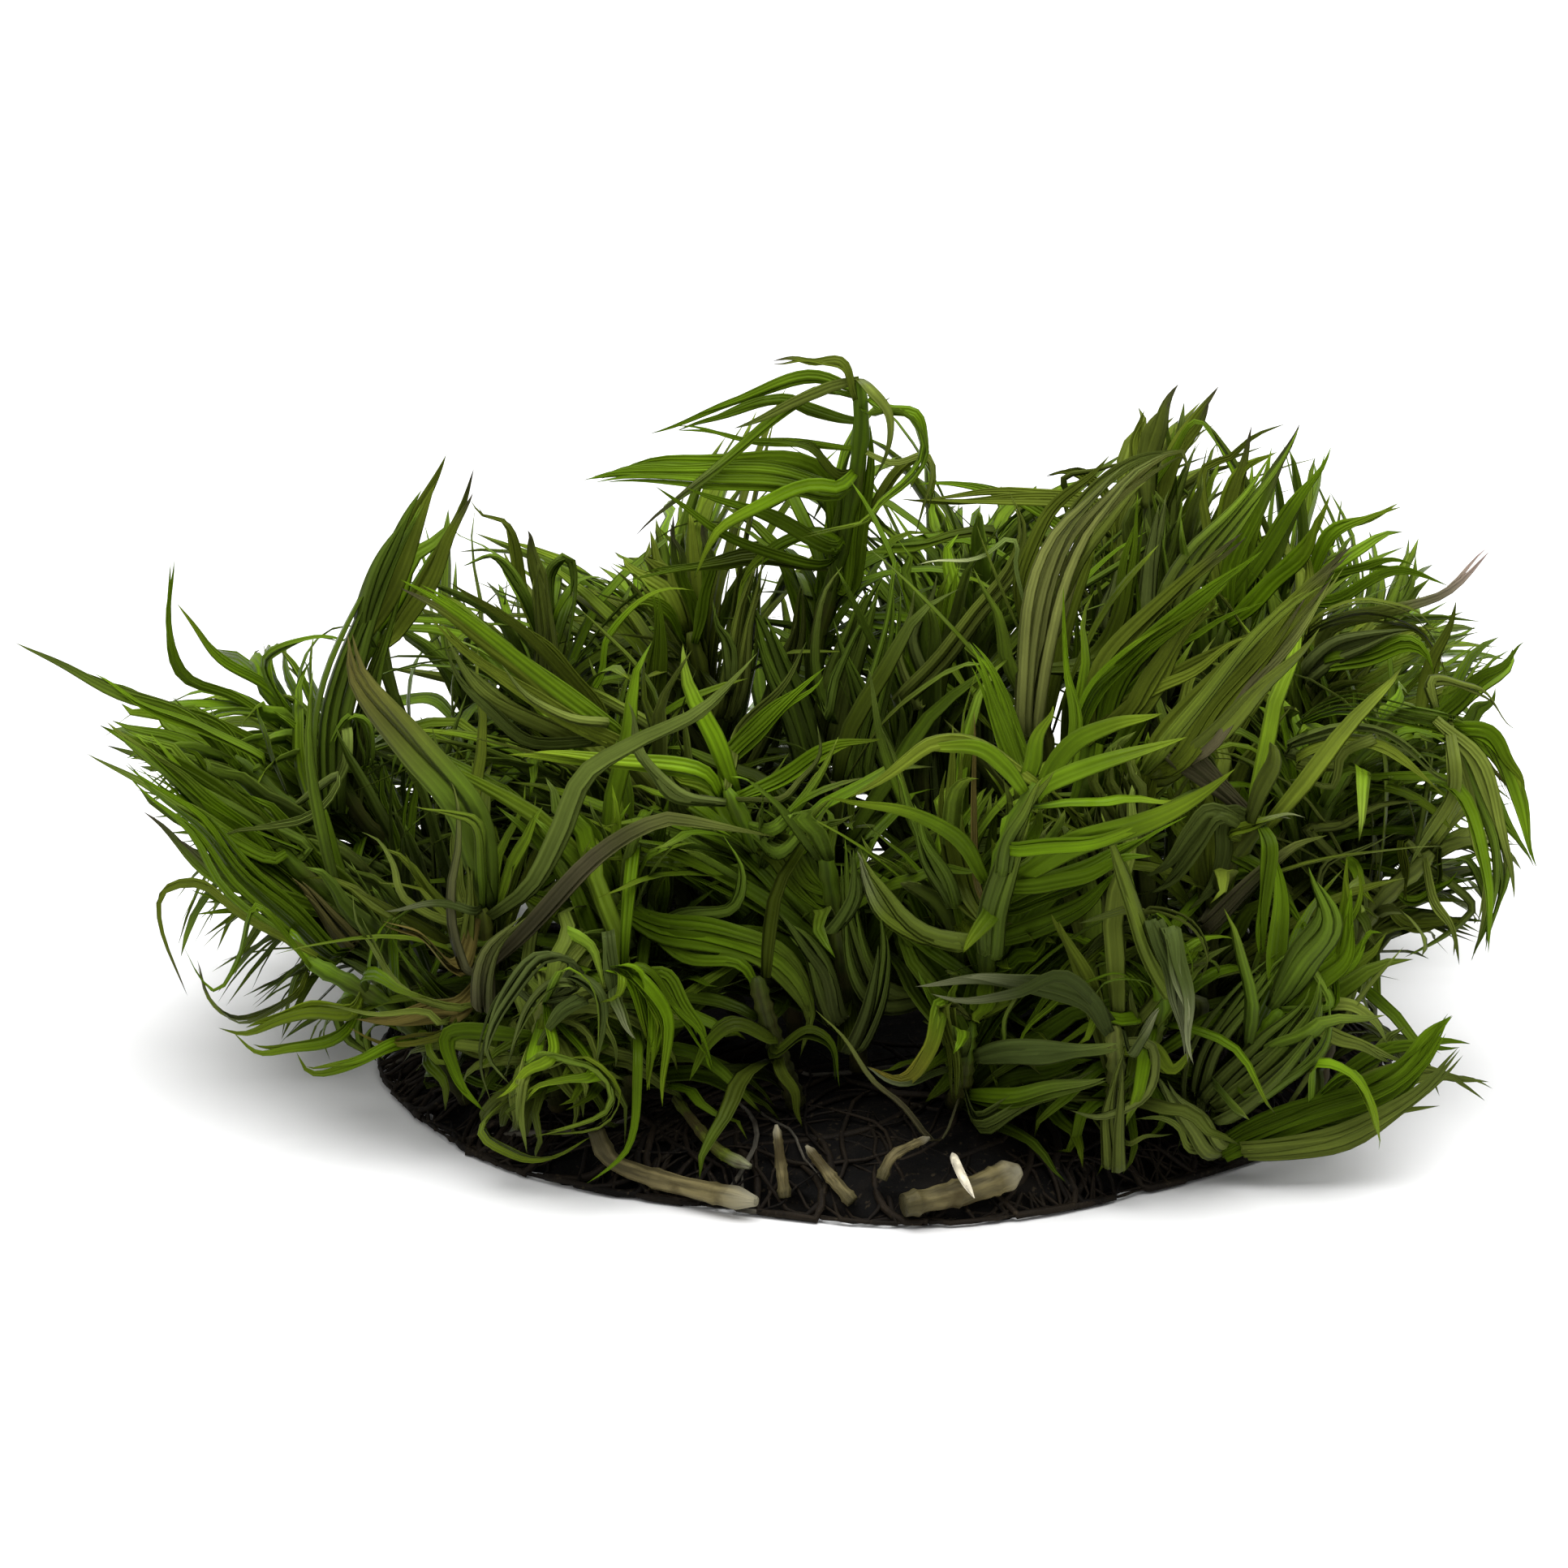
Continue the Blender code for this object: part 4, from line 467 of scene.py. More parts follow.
# Sheaves of blades that cling together, by shoot. A row holds the tint, its light as a share of the tint,
# the number of blades, the width of the whole and the depths of its start and its tip, then the route from
# the stem out to the tip as seen: across and up at each point.
# The light is partly the sheaf's own tone, partly painted shade where it lies deep in the clump and painted
# light where it stands out bright.
SHEAVES = {
    "shoot_left_low": (
        ("green", 1.0, 5, 2.9, -15, -15.5, -36, 6, -39.3, 8.7, -42.6, 11.5, -45.1, 14.8, -48.1, 17.1,
         -50.4, 19.2),
        ("green", 1.15, 4, 2.3, -12, -13.5, -38.2, 13, -41.3, 14.2, -44.5, 16.1, -47.2, 18.2, -51.2, 21.6),
        ("brown", 0.7, 3, 1.6, -14, -14, -34.8, 7, -35.5, 7.7, -37.2, 9.7, -39.1, 11.5),
    ),
    "shoot_left_tip": (
        ("grey", 1.1, 2, 0.8, -8, -16, -36, 18.4, -36.5, 16.8, -38.2, 15.4, -40.6, 15, -43.4, 14.6,
         -45.1, 13),
        ("green", 1.0, 2, 1.0, -5, -5, -41, 19.4, -45, 21.4, -49, 23, -52.5, 25),
    ),
    "shoot_left_curls": (
        ("yellow", 0.95, 2, 1.3, -22, -22, -35, 2.6, -37.5, 2.7, -39.6, 2.2, -42, 1.3, -43.9, 1.5),
    ),
    "shoot_left_upright": (
        ("green", 0.95, 4, 2.8, -1, -1, -36.6, 16, -36.8, 21.6, -35.4, 27, -33.2, 32, -30.8, 36.6),
        ("dark", 1.5, 3, 2.0, 1, 1, -35, 15, -34.6, 20, -33.4, 26, -31.4, 31.6),
        ("green", 1.1, 3, 1.4, 0, -2, -34, 19, -34.3, 21.6, -35.4, 22.3, -36.6, 20.2),
        ("grey", 1.0, 2, 0.9, -2, -3, -35.4, 21, -35.9, 18.2, -36.9, 16.2),
    ),
    "shoot_left_round": (
        ("olive", 0.9, 5, 2.4, 8, 7, -22, 22, -22.1, 27.5, -22.6, 32.8),
    ),
    "shoot_left_inner": (
        ("bright", 1.0, 1, 0.6, -2, -2, -18.5, 25, -18, 27.6, -16.4, 29.8, -14, 30.8, -12.3, 30.9),
        ("dark", 1.2, 3, 1.6, -1, 0, -16.5, 19.5, -14.9, 24, -14.7, 30.9),
        ("lime", 1.0, 1, 0.7, -4, -4, -15, 20.5, -14.7, 23.4, -16.1, 25.9, -18.2, 28, -20.4, 29.9),
        ("yellow", 0.9, 2, 1.1, -5, -6, -14.5, 21, -17.8, 23.4, -20.4, 24.7, -22.7, 26.5),
    ),
    "shoot_olive_strands": (
        ("green", 1.1, 2, 1.2, -14, -16, -17, 21, -19.5, 22.9, -23, 25.6, -26.5, 28.2, -29.5, 30.2,
         -32, 31.6),
        ("olive", 1.1, 2, 1.1, -14.5, -16, -17, 20.4, -20, 21.8, -24, 24.2, -27.6, 26.8, -30, 29.2),
        ("pale", 0.9, 1, 0.7, -15, -16, -18, 22, -20.6, 22.2, -22.8, 23.4, -25.2, 25.8),
        ("grey", 0.8, 2, 1.0, -14, -16, -19, 20.8, -23, 20.8, -25.8, 22.7, -27.8, 24.6, -28.8, 27.2),
    ),
    "shoot_brown_tip": (
        ("pale", 1.0, 1, 0.7, -20, -20, -28, 8.6, -31, 9.7, -31.9, 10.8, -32.2, 12.5, -33.1, 14.1,
         -34.5, 14.6),
        ("pale", 1.0, 2, 1.0, -23, -22, -27, 3, -30.6, 3.7, -32.4, 5.1, -33.6, 7, -34.6, 8.7, -34.9, 10.6),
        ("dark", 1.6, 4, 2.6, -21, -20, -26.5, 2.5, -28.9, 3.5, -32.2, 7.7),
        ("withered", 1.1, 1, 0.9, -22.5, -21, -27, 5, -27.7, 6.1, -28.4, 8.4, -28.4, 11, -27.9, 13.5,
         -28.1, 16.5, -28.7, 18.4),
        ("olive", 1.1, 2, 1.2, -20.5, -19.5, -27, 6, -27.4, 7.1, -27.2, 10.1, -27.2, 13.5),
        ("lime", 1.0, 2, 0.9, -21, -22, -26.6, 14.6, -28.2, 15.8, -30.9, 16.3),
        ("silver", 0.8, 1, 0.6, -22, -22, -27, 9.4, -28.7, 9.7, -32.9, 9.5),
        ("pale", 1.1, 1, 0.6, -23, -23.5, -28.6, 2, -30, 2.5, -32.9, 2.6, -37.4, 2.8),
        ("brown", 1.1, 3, 1.5, -22.5, -22.5, -27.6, 3, -29.6, 2.6, -32.2, 2, -34.8, 2.1),
        ("orange", 0.8, 2, 0.9, -23, -23, -28, 1.8, -30.5, 0.8, -33.1, 0.6, -35.3, 1.5),
        ("withered", 1.0, 3, 1.8, -23.5, -24.5, -26.2, 2.6, -25.8, 6.7, -23.3, 8.9),
    ),
    "shoot_knot": (
        ("ash", 1.6, 3, 1.5, -29, -29, -20, 5.6, -21.6, 6.3, -23, 5.7, -24.7, 3.2, -25.6, 1, -25.8, -0.5,
         -24.5, -2.2),
        ("grey", 0.88, 2, 0.9, -30, -29.8, -20, 4.3, -21.6, 4.4, -23.2, 2.7, -24, 0.6, -24.6, -2.2),
        ("ash", 1.4, 2, 1.0, -30.6, -30.4, -19.4, 3.6, -20.9, 2.7, -22.1, 1, -22.8, -0.4),
        ("lime", 1.2, 1, 0.9, -31.5, -32, -21.2, 5, -20.7, 5.6, -19.2, 4.6, -18.5, 2.9, -18.5, 0.6,
         -19, -1.4),
        ("lime", 1.4, 2, 1.3, -32.2, -32.5, -23, -0.9, -22.3, -0.3, -20.4, -0.7, -18.7, -1.2, -17.6, -2.2,
         -17.6, -3.5, -18.5, -4.3, -20.4, -5, -23, -5.7),
        ("lime", 1.2, 1, 0.9, -32.3, -33, -21.6, -0.3, -23.4, -1.5, -25.3, -3.2),
        ("bright", 1.4, 2, 1.3, -31.8, -32, -18.6, -1.2, -20.8, -1.8, -22.5, -2.3, -23.3, -3.4),
        ("pale", 1.2, 2, 1.0, -32.6, -32.4, -23.5, -1.6, -23.7, -2.8, -23.7, -4.5, -23.3, -6.8),
    ),
    "shoot_knot_green": (
        ("bright", 1.3, 1, 1.0, -29.5, -30.5, -20.6, 7.9, -19, 7, -18.5, 5.7, -18.2, 4.1),
        ("lime", 1.2, 1, 0.9, -31, -31.5, -17.1, 5, -17.3, 3.7, -18.3, 3.1),
        ("silver", 1.1, 1, 0.9, -31, -31, -17.6, 3.6, -16.8, 2.2, -15.9, 0.8),
        ("pale", 1.1, 1, 0.7, -30.8, -31, -18, 2.5, -17.6, 0.6, -17.3, -1.1),
        ("bright", 1.4, 3, 1.8, -28.5, -30, -17.6, 5.6, -16.4, 5.3, -15.4, 3.1, -15, 0.6, -15.4, -2.4),
        ("bright", 1.2, 2, 1.2, -29, -30, -16, 5, -14.3, 2.7, -14, 0.2, -14.3, -3.7),
        ("green", 1.2, 2, 1.1, -28, -28.5, -16.4, 5.6, -15, 5, -13.3, 2.7, -11.8, 1, -10.7, -1.2),
        ("green", 1.2, 1, 0.7, -31, -33, -15.8, -0.5, -15.9, -3.8, -16.6, -6.2, -17.8, -7.6, -19.2, -8.8),
    ),
    "shoot_mid_left_front": (
        ("green", 1.2, 3, 1.6, -16, -13, -10, 19.5, -7.2, 22.3, -4.8, 24.4, -3.5, 25.7),
        ("pale", 1.0, 1, 0.9, -15, -13, -9.5, 20.5, -8.8, 21.9, -6.5, 24.4, -4.6, 27.4),
        ("pale", 0.9, 1, 0.6, -22, -22, -6.5, 16.8, -5.2, 18.3, -3.9, 20, -3.9, 21.8),
        ("bright", 0.95, 2, 1.0, -22, -22, -7, 14.8, -5.8, 15.8, -4.3, 17.9, -2.6, 21.2),
        ("bright", 0.9, 2, 1.1, -22.5, -23, -6.6, 13.4, -5.2, 14.4, -4.3, 15.6, -2.9, 17.1),
        ("dark", 1.5, 4, 2.4, -21, -22, -6.5, 13.5, -5.2, 11.6, -3.6, 10.3, -2.3, 9.8),
    ),
    "shoot_mid_left_back": (
        ("olive", 0.95, 4, 1.9, 2, 2, -10, 22.5, -8.9, 28.6, -8.1, 31.4, -7.5, 33.7),
        ("green", 0.8, 4, 2.6, 8, 7, -10, 21, -9, 26, -8.4, 30, -8, 33),
        ("olive", 0.75, 3, 2.0, 6, 5, -9, 19, -6.6, 24, -5.4, 28, -5.2, 31.4),
        ("dark", 1.3, 2, 1.1, 1, 1, -10, 24, -9.9, 27.2, -10.7, 28.6, -10.9, 30.2),
    ),
    "shoot_top_centre": (
        ("green", 0.95, 4, 2.6, 5, 5, -2.2, 31, -1.9, 34.5, -1.3, 38.5, -1, 41.5, -0.8, 44.4),
        ("green", 0.9, 2, 0.8, 4, 5, -2.6, 42.4, -4.6, 43, -6.5, 43.7, -10, 42.8, -13.5, 41.5),
        ("pale", 0.8, 1, 0.8, 3, 2, -3, 44.6, -4.6, 43.9, -9.7, 41.7),
        ("green", 1.0, 2, 0.6, 4, 4, -4, 40.6, -8.8, 41, -13.7, 41.8),
        ("dark", 1.3, 2, 0.9, 3, 3, -2.7, 38.6, -4.6, 40.5, -6.1, 40.9, -7.5, 40.5),
        ("green", 1.0, 5, 2.2, 3, 1.5, -3, 37.6, -7, 38.6, -12, 38.7, -16.8, 38.6, -19.8, 38.1),
        ("green", 0.95, 2, 1.1, 2.5, 1.5, -3.2, 33.8, -8, 36.2, -13, 38),
        ("green", 0.9, 1, 0.8, 2, 1, -4, 32.6, -8.1, 33.7, -10.7, 34.8, -13, 36.4, -15, 37.8),
        ("bright", 1.0, 1, 1.0, 1.5, 0.5, -2.6, 37.8, -4.2, 37.9, -6.1, 37.5, -8.4, 36.4, -10.3, 35,
         -11.3, 33.5, -12.4, 31.6),
        ("bright", 0.95, 2, 1.2, 2, 1.5, -0.6, 42.6, 0.9, 43, 2.2, 42.4, 3, 40.9, 2.8, 39.5, 1.8, 38.2,
         0.1, 36.7, -0.8, 35.5, -2.9, 35, -5.7, 34.4),
        ("pale", 1.0, 1, 0.9, 1, 1, -0.6, 44.4, 0.6, 42.8, 0.5, 40.5, -0.3, 37.9),
        ("pale", 1.0, 1, 0.5, 3, 3, 1, 39.4, 3.1, 39.9, 3.6, 38.6, 3.1, 36.7, 2.4, 34.4),
        ("dark", 1.4, 3, 1.1, 6, 6, -5, 32.6, -8.1, 33.1, -10.7, 32.7, -14.3, 32, -17, 31.5),
        ("green", 0.7, 4, 2.6, 3, 2, -4.3, 19, -5.6, 23, -7.4, 27, -8.8, 31),
        ("dark", 1.7, 4, 2.6, 4, 3, -3.6, 20, -2.4, 25, -1, 29.6, 0.4, 32.4),
        ("pale_tip", 1.1, 1, 1.0, 0, -2, -3, 22, -3.8, 23.8, -4.3, 26.1, -4.1, 28.6, -3.4, 30.8, -2.2, 32.4),
        ("green", 1.0, 2, 1.2, -3, -3, -3.4, 22.5, -2.9, 24.8, -1.6, 27.6, 0.1, 30.5),
    ),
    "shoot_centre_back": (
        ("green", 1.1, 5, 2.3, -6, -4, -1.2, 18, -0.1, 23.8, 0.9, 28.6, 1.2, 33.1),
        ("green", 0.75, 4, 2.4, -2, -1, 2, 16, 0, 20.4, -1.8, 24.8, -3, 29),
        ("dark", 1.8, 4, 2.4, 0, 1, 2.6, 20, 3.4, 24.4, 4.6, 28.6, 5.4, 32.6),
        ("pale", 0.9, 1, 0.7, -4, -3, 2.6, 23, 1.5, 26.7, 2, 29.1, 2.6, 31.1),
        ("grey", 0.8, 1, 1.0, -2, -1, 3.2, 25, 2.4, 27.6, 3.4, 30.2, 3.7, 32),
        ("olive", 1.1, 3, 1.7, -4, -3, 1.5, 23.5, 4.1, 26.1, 6.6, 29.3, 8.9, 32.2, 9.7, 35, 8.7, 37.6),
    ),
    "shoot_top_inner": (
        ("dark", 1.3, 2, 1.1, 7, 6, 8, 34.6, 5.6, 34.8, 2.6, 33.9, -0.3, 33.6, -1.6, 33.1),
    ),
    "shoot_back_top_right": (
        ("olive", 1.0, 3, 1.3, 18, 14, 14.5, 36.6, 10, 37.2, 5, 37, 1.3, 37),
        ("olive", 0.9, 1, 0.6, 18, 17, 12.3, 38.1, 14.5, 39, 17, 39.7),
    ),
    "shoot_star": (
        ("green", 1.0, 5, 1.9, -26.5, -23, 9.6, 19, 8.4, 22.5, 7, 25.6, 6, 27.4),
        ("green", 1.0, 2, 0.9, -24, -19, 12.6, 18.6, 13.2, 22.2, 12.7, 25.6, 12.5, 31.2),
        ("bright", 0.9, 2, 1.0, -31, -32, 8.9, 13.6, 11.6, 13.8, 14.7, 14.2, 17.8, 15.2, 20.5, 16.4),
        ("green", 0.85, 3, 2.2, -28, -30, 8.6, 9.8, 10.6, 10.6, 13.3, 11.7, 15.7, 12.9, 20.7, 16),
        ("green", 0.7, 2, 1.5, -27, -28, 8.6, 7.8, 11, 8.6, 13.7, 10, 15.9, 11.9),
        ("olive", 1.1, 2, 1.1, -27.5, -29.5, 6.6, 20.6, 3.9, 20.7, 1.9, 19.5, -1.9, 16.9),
        ("olive", 0.8, 4, 2.0, -24, -21, 5.9, 11, 5, 16, 5.2, 22),
        ("brown", 0.8, 1, 0.5, -24, -22, 6.6, 11.7, 6.5, 17, 6.4, 22.9),
        ("star", 0.6, 3, 1.9, -29, -31.5, 7.6, 6.4, 7.7, 9, 8.6, 12, 9.6, 15, 10.8, 18.2),
        ("star", 0.8, 2, 1.3, -30.5, -31.5, 8.4, 12, 9, 14.4, 10.2, 16.8, 11.8, 18.9),
    ),
    "shoot_hooked": (
        ("green", 1.05, 3, 1.4, -25, -26, 5.2, 9.8, 3.8, 12.6, 2.3, 15.8, 1.2, 18.8),
        ("dark", 1.5, 4, 2.4, -22, -23, 1.6, 3.4, -0.4, 4.4, -1.8, 8.6, -2.3, 14.2),
        ("yellow", 0.85, 2, 1.4, -28, -26, 6.4, 7.4, 3.8, 7.7, 1.9, 8.8, 0.5, 10.5, -0.6, 12.1, -1.1, 13.6),
    ),
    "shoot_olive_strap": (
        ("dark", 1.6, 4, 2.4, -6, -6, 13, 19, 13.4, 23, 13.6, 27, 13.4, 30),
        ("strap", 1.1, 4, 2.8, -11, -10, 10, 21, 10.4, 26.5, 11.2, 31.2, 12.6, 34.6, 14.8, 37, 17.2, 39.2,
         19.7, 40.3),
        ("strap", 0.9, 2, 1.4, -9, -8, 11.6, 28, 12.8, 32, 14.6, 35.6, 17.2, 38.3, 20.1, 40.2, 20.7, 39.2,
         20.2, 38.3),
        ("dark", 1.5, 4, 2.2, -7, -6, 14.6, 26, 16.4, 28.7, 16.9, 32, 17.6, 37.4),
        ("silver", 2.4, 1, 0.4, -8, -9, 9.2, 32.6, 9.3, 33.9, 8.4, 34.2, 7.3, 33.4, 4.9, 32.8, 2.6, 32.6),
    ),
    "shoot_top_right": (
        ("grey", 0.75, 2, 1.4, 4, 6, 17.8, 28, 18.1, 32.3, 18.6, 35, 19.1, 37.4),
        ("grey", 0.5, 2, 1.2, 5, 7, 15, 28.3, 15.7, 31.4, 16.8, 34.1),
        ("green", 0.8, 1, 0.6, 8, 8, 20.6, 41.6, 21.6, 42.2, 22.4, 41.2, 22.9, 39.4),
        ("green", 1.0, 1, 0.7, -4, -2, 13.4, 31, 15.7, 33.5, 18.1, 35),
    ),
    "shoot_right_spikes": (
        ("dark", 2.0, 4, 2.6, -2, 1, 19.4, 29.5, 21.3, 33.2, 23.5, 35.7, 25.8, 38.4, 28, 42),
        ("yellow", 0.95, 2, 1.3, 5, 5, 23.2, 35.6, 23.6, 37.4, 24.6, 39.2, 26.6, 40.3),
        ("olive", 0.8, 1, 0.7, 6, 6, 21.6, 38.2, 23.5, 39.9, 25, 41.3, 27.3, 42.1),
    ),
    "shoot_blades": (
        ("bright", 0.9, 3, 1.6, -17, -18, 13.4, 21.5, 14.6, 24.4, 17.4, 27, 20.4, 29.2, 23.4, 31.4),
        ("olive", 0.95, 3, 1.7, -17, -17, 16.8, 22.6, 18.4, 24.8, 20.1, 27.8, 22.4, 30.5, 24, 32.3),
        ("green", 0.9, 1, 0.6, -16, -16, 19.6, 27, 21.1, 27.9, 23, 28.9, 25.7, 30.4),
    ),
    "shoot_big_blade": (
        ("yellow", 0.85, 2, 1.1, -22.5, -23, 19, 20.4, 21.6, 23.6, 24.6, 27.2, 27.6, 30.2, 29.6, 31.6),
        ("olive_purple", 0.9, 4, 2.0, -21.5, -22.5, 19.8, 19.4, 22.6, 23.4, 25.6, 27, 28.6, 30.6, 31.6, 33.8),
        ("withered", 1.0, 2, 0.9, -22, -22.5, 22, 20.4, 24.6, 24, 27.4, 27.6, 29.6, 30.4, 31, 32.6),
    ),
    "shoot_pink_tip": (
        ("olive", 0.8, 5, 2.1, -3, -4, 28.6, 28, 31.7, 29.6, 34, 29.6, 35.9, 28.9, 37, 27.7, 37.8, 26,
         37.8, 24.6),
        ("grey", 0.55, 3, 1.9, -4, -5, 28.7, 25.4, 30.6, 27, 33.4, 28.1, 35.6, 28.3),
        ("green", 0.8, 3, 1.5, -4.5, -6, 29.6, 26, 32.5, 26.6, 35, 27.4, 36.5, 26.8, 37.2, 25.2),
    ),
    "shoot_right_sweep": (
        ("bright", 0.95, 5, 2.0, -15, -14, 28, 21.8, 31, 23.4, 33.6, 23.1, 36.3, 22.4, 38.8, 21.7, 40.6, 20,
         41.8, 17.9, 42.6, 16),
        ("grey", 0.8, 3, 1.2, -16, -17, 27.2, 20.3, 29.5, 21.4, 31.7, 21.7, 34, 21.2, 35.9, 20, 37.4, 18.6,
         39.1, 17.7),
        ("olive", 0.95, 2, 1.0, -16.5, -17.5, 27.9, 19.6, 30.6, 20.8, 33.4, 20.7, 35.3, 19.6, 37, 17.9,
         38, 17.1),
        ("pale", 0.75, 1, 0.7, -17, -18, 33, 21, 31, 20.1, 30.6, 18.8, 30.2, 17.9, 28.7, 18.1, 27.4, 18.2),
        ("pale", 0.85, 2, 1.0, -17, -17, 38.4, 19.4, 38.2, 17.5, 37.4, 16, 36.3, 14.1, 35.5, 12.4),
        ("green", 1.0, 3, 1.4, -13, -13, 40.1, 17.4, 41.2, 14.6, 41.5, 11.8, 41.2, 9.6, 40.7, 6.9),
        ("pale", 0.9, 2, 0.9, -13.5, -14, 40.4, 13, 40.3, 10.6, 39.9, 6.7),
        ("green", 1.0, 2, 1.0, -12, -12, 41.4, 16.4, 42.7, 14.5, 43.8, 12.5),
        ("brown", 0.7, 1, 0.35, -12, -12, 41.2, 18.9, 42.4, 17.4, 42.6, 16.2),
    ),
    "shoot_right_lattice": (
        ("dark", 1.6, 1, 0.6, -13, -13, 39.5, 10.3, 39.1, 9.1, 37.2, 7.6, 35.2, 6.5),
        ("olive", 0.8, 2, 1.0, -14, -14, 35.2, 8.8, 37.2, 8.7, 39.1, 8.9),
        ("olive", 0.8, 2, 0.9, -15, -15, 35, 14.3, 35.2, 12.2, 35.2, 10.2),
        ("dark", 1.6, 2, 0.8, -14, -14, 37.4, 14, 37.4, 12.2, 36.9, 9.3),
        ("green", 0.9, 2, 0.9, -14.5, -14, 35.5, 10.3, 37.2, 11, 38.8, 12.2),
        ("pale", 0.8, 2, 0.8, -17, -16, 28.8, 8.4, 29.3, 10.4, 29.9, 12.5, 31.3, 13.5, 33.4, 14.3,
         35.3, 14.9),
        ("olive", 0.7, 2, 1.1, -16, -15, 28.7, 14.8, 31, 15.4, 33.4, 16.7, 35.9, 17.1),
    ),
    "shoot_right_inner": (
        ("grey", 0.5, 2, 1.3, -23, -24, 22.4, 16.2, 21, 14.8, 19.3, 12.9, 17.7, 11.5),
        ("grey", 0.5, 2, 1.3, -23, -23.5, 22.8, 16, 21.4, 14, 19.7, 11.9, 18.1, 10.6),
        ("grey", 0.45, 2, 1.4, -22.5, -23, 23.4, 16, 23.1, 13.3, 22.2, 11.1, 20.8, 9.4),
        ("withered", 0.9, 2, 1.1, -23, -24, 21.8, 8.4, 23.7, 10.2, 26.4, 12.7, 28, 14, 30.1, 14.6),
        ("white_tip", 0.7, 2, 1.0, -22.5, -22.5, 23.5, 14.8, 25.1, 15.4, 27.2, 15.8, 28.6, 15.7),
        ("green", 0.8, 2, 0.9, -22, -24, 23.5, 13.4, 25.7, 12.3, 27, 10.6, 28.2, 9, 28.8, 7.8),
        ("green", 0.9, 2, 1.0, -24.5, -25, 26.2, 14, 26, 11.5, 25.7, 8.8, 25.6, 6.5),
        ("withered", 0.6, 4, 2.0, -21, -20, 19.8, 20.6, 21.8, 20, 23.4, 18),
    ),
    "shoot_right_fan": (
        ("dark", 1.4, 5, 3.8, -27, -27.5, 22.6, -3.6, 25, -1.8, 27.6, 0.8, 29.2, 3, 29.6, 5.4),
        ("green", 0.85, 2, 1.2, -28, -28, 24.7, -3, 27.2, -1.8, 28.8, -0.5, 30.1, 1.3, 30.3, 3.2),
        ("dark", 1.4, 4, 2.6, -25.5, -25, 21.2, -3, 21.8, 0.1, 23.7, 3, 25.7, 5.3, 27.8, 7.1),
        ("pale_tip", 0.95, 1, 1.0, -27, -26.5, 30.1, 3.2, 29.7, 5.1, 28.6, 6.3, 27.8, 7.6),
        ("bright", 0.95, 1, 0.8, -26.5, -26, 30.3, 3.4, 30.6, 5.5, 30.9, 7.5, 31.3, 9.6),
        ("bright", 0.9, 2, 1.0, -26, -25, 30.4, 7, 31.1, 9.8, 31.3, 11.9, 31.5, 13.3),
        ("bright", 0.9, 1, 0.6, -25.5, -25, 31.2, 8.4, 32.2, 10.4, 32.1, 11.9, 31.8, 12.9),
        ("green", 1.0, 2, 0.9, -25.5, -25, 30.9, 5.5, 31.9, 6.7, 32.8, 8.2, 33.8, 8),
        ("pale", 0.9, 1, 0.9, -26, -26, 30.5, 3.4, 32, 3.2, 33.2, 2.2, 34, 0.7),
        ("pale", 0.95, 2, 1.0, -26.5, -26, 30.1, 1.5, 32, 0.7, 34, -0.1, 35.5, -0.5),
    ),
    "shoot_right_low": (
        ("green", 0.75, 4, 2.2, -27, -27.5, 22.6, -6.6, 25.1, -5.3, 29.3, -3.7, 33.4, -2.3, 36.1, -0.4,
         37.5, 1.4, 38.2, 2.6),
        ("pale", 0.7, 3, 1.7, -27.5, -28, 24.3, -6.4, 28.4, -6.1, 31.3, -5.4, 34.4, -3.6, 37.1, -1.7,
         38.9, 0.3),
        ("pale", 0.9, 1, 0.7, -24.5, -24, 36, -1, 37.6, -1.4, 39.4, -1.6, 41, -2.2),
        ("pale", 0.9, 1, 0.6, -24.5, -24, 37, -1.4, 39.2, -2, 40.5, -2.9),
        ("bright", 1.1, 1, 1.0, -29, -29.5, 29.3, -0.6, 30.9, -0.9, 32.2, -2.2, 33, -3.6, 33.6, -5.3,
         33.5, -6.2),
        ("pale", 0.8, 3, 1.8, -27.5, -29.5, 22.6, -6.2, 21.4, -4.6, 19.7, -2.8, 18.5, -0.8),
        ("pale", 0.95, 1, 0.7, -28, -30, 21, -6.2, 20.2, -4.9, 18.9, -4.3, 17.3, -4.2),
    ),
    "shoot_right_centre": (
        ("yellow", 0.9, 2, 1.2, -30.5, -31.5, 19.7, 3.8, 18.8, 5.5, 17.8, 7.5, 16.8, 10.6, 15.9, 13.3,
         14.9, 16.2),
        ("green", 1.0, 3, 1.5, -30, -30.5, 18.3, 9, 19.9, 7.7, 20.7, 5.9, 21.1, 4.4),
        ("silver", 0.8, 3, 1.4, -31, -33, 18.4, 9, 19, 7.3, 19.9, 5.5, 20.1, 3.4, 20.5, 1.3, 20.9, -0.6),
        ("dark", 2.0, 3, 1.6, -27, -28, 16.4, 8.2, 13.7, 6.3, 11.6, 3.8, 9.9, 1.7, 9.1, -0.1),
        ("grey", 0.5, 2, 1.3, -28, -28.5, 17.2, 8.4, 15.7, 8, 13.9, 6.5, 12.2, 4.9),
        ("pale", 0.7, 1, 0.8, -29, -30, 17.8, 9.3, 15.5, 9.3, 13.4, 8.6),
    ),
    "shoot_low_right": (
        ("silver", 0.75, 1, 0.9, -33, -34, 12.6, 5.2, 9.4, 4, 6, 3.6, 3.6, 3.9),
        ("green", 0.8, 1, 0.5, -31, -31, 13.7, 4.3, 14.7, 5.1, 15.9, 5.4, 17, 4.9, 17.6, 3.6),
        ("pale", 0.8, 1, 0.8, -31, -32, 18.1, 0.7, 18.5, -0.9, 18.1, -2.6, 16.8, -3.6, 14.8, -4.1,
         12.7, -3.6),
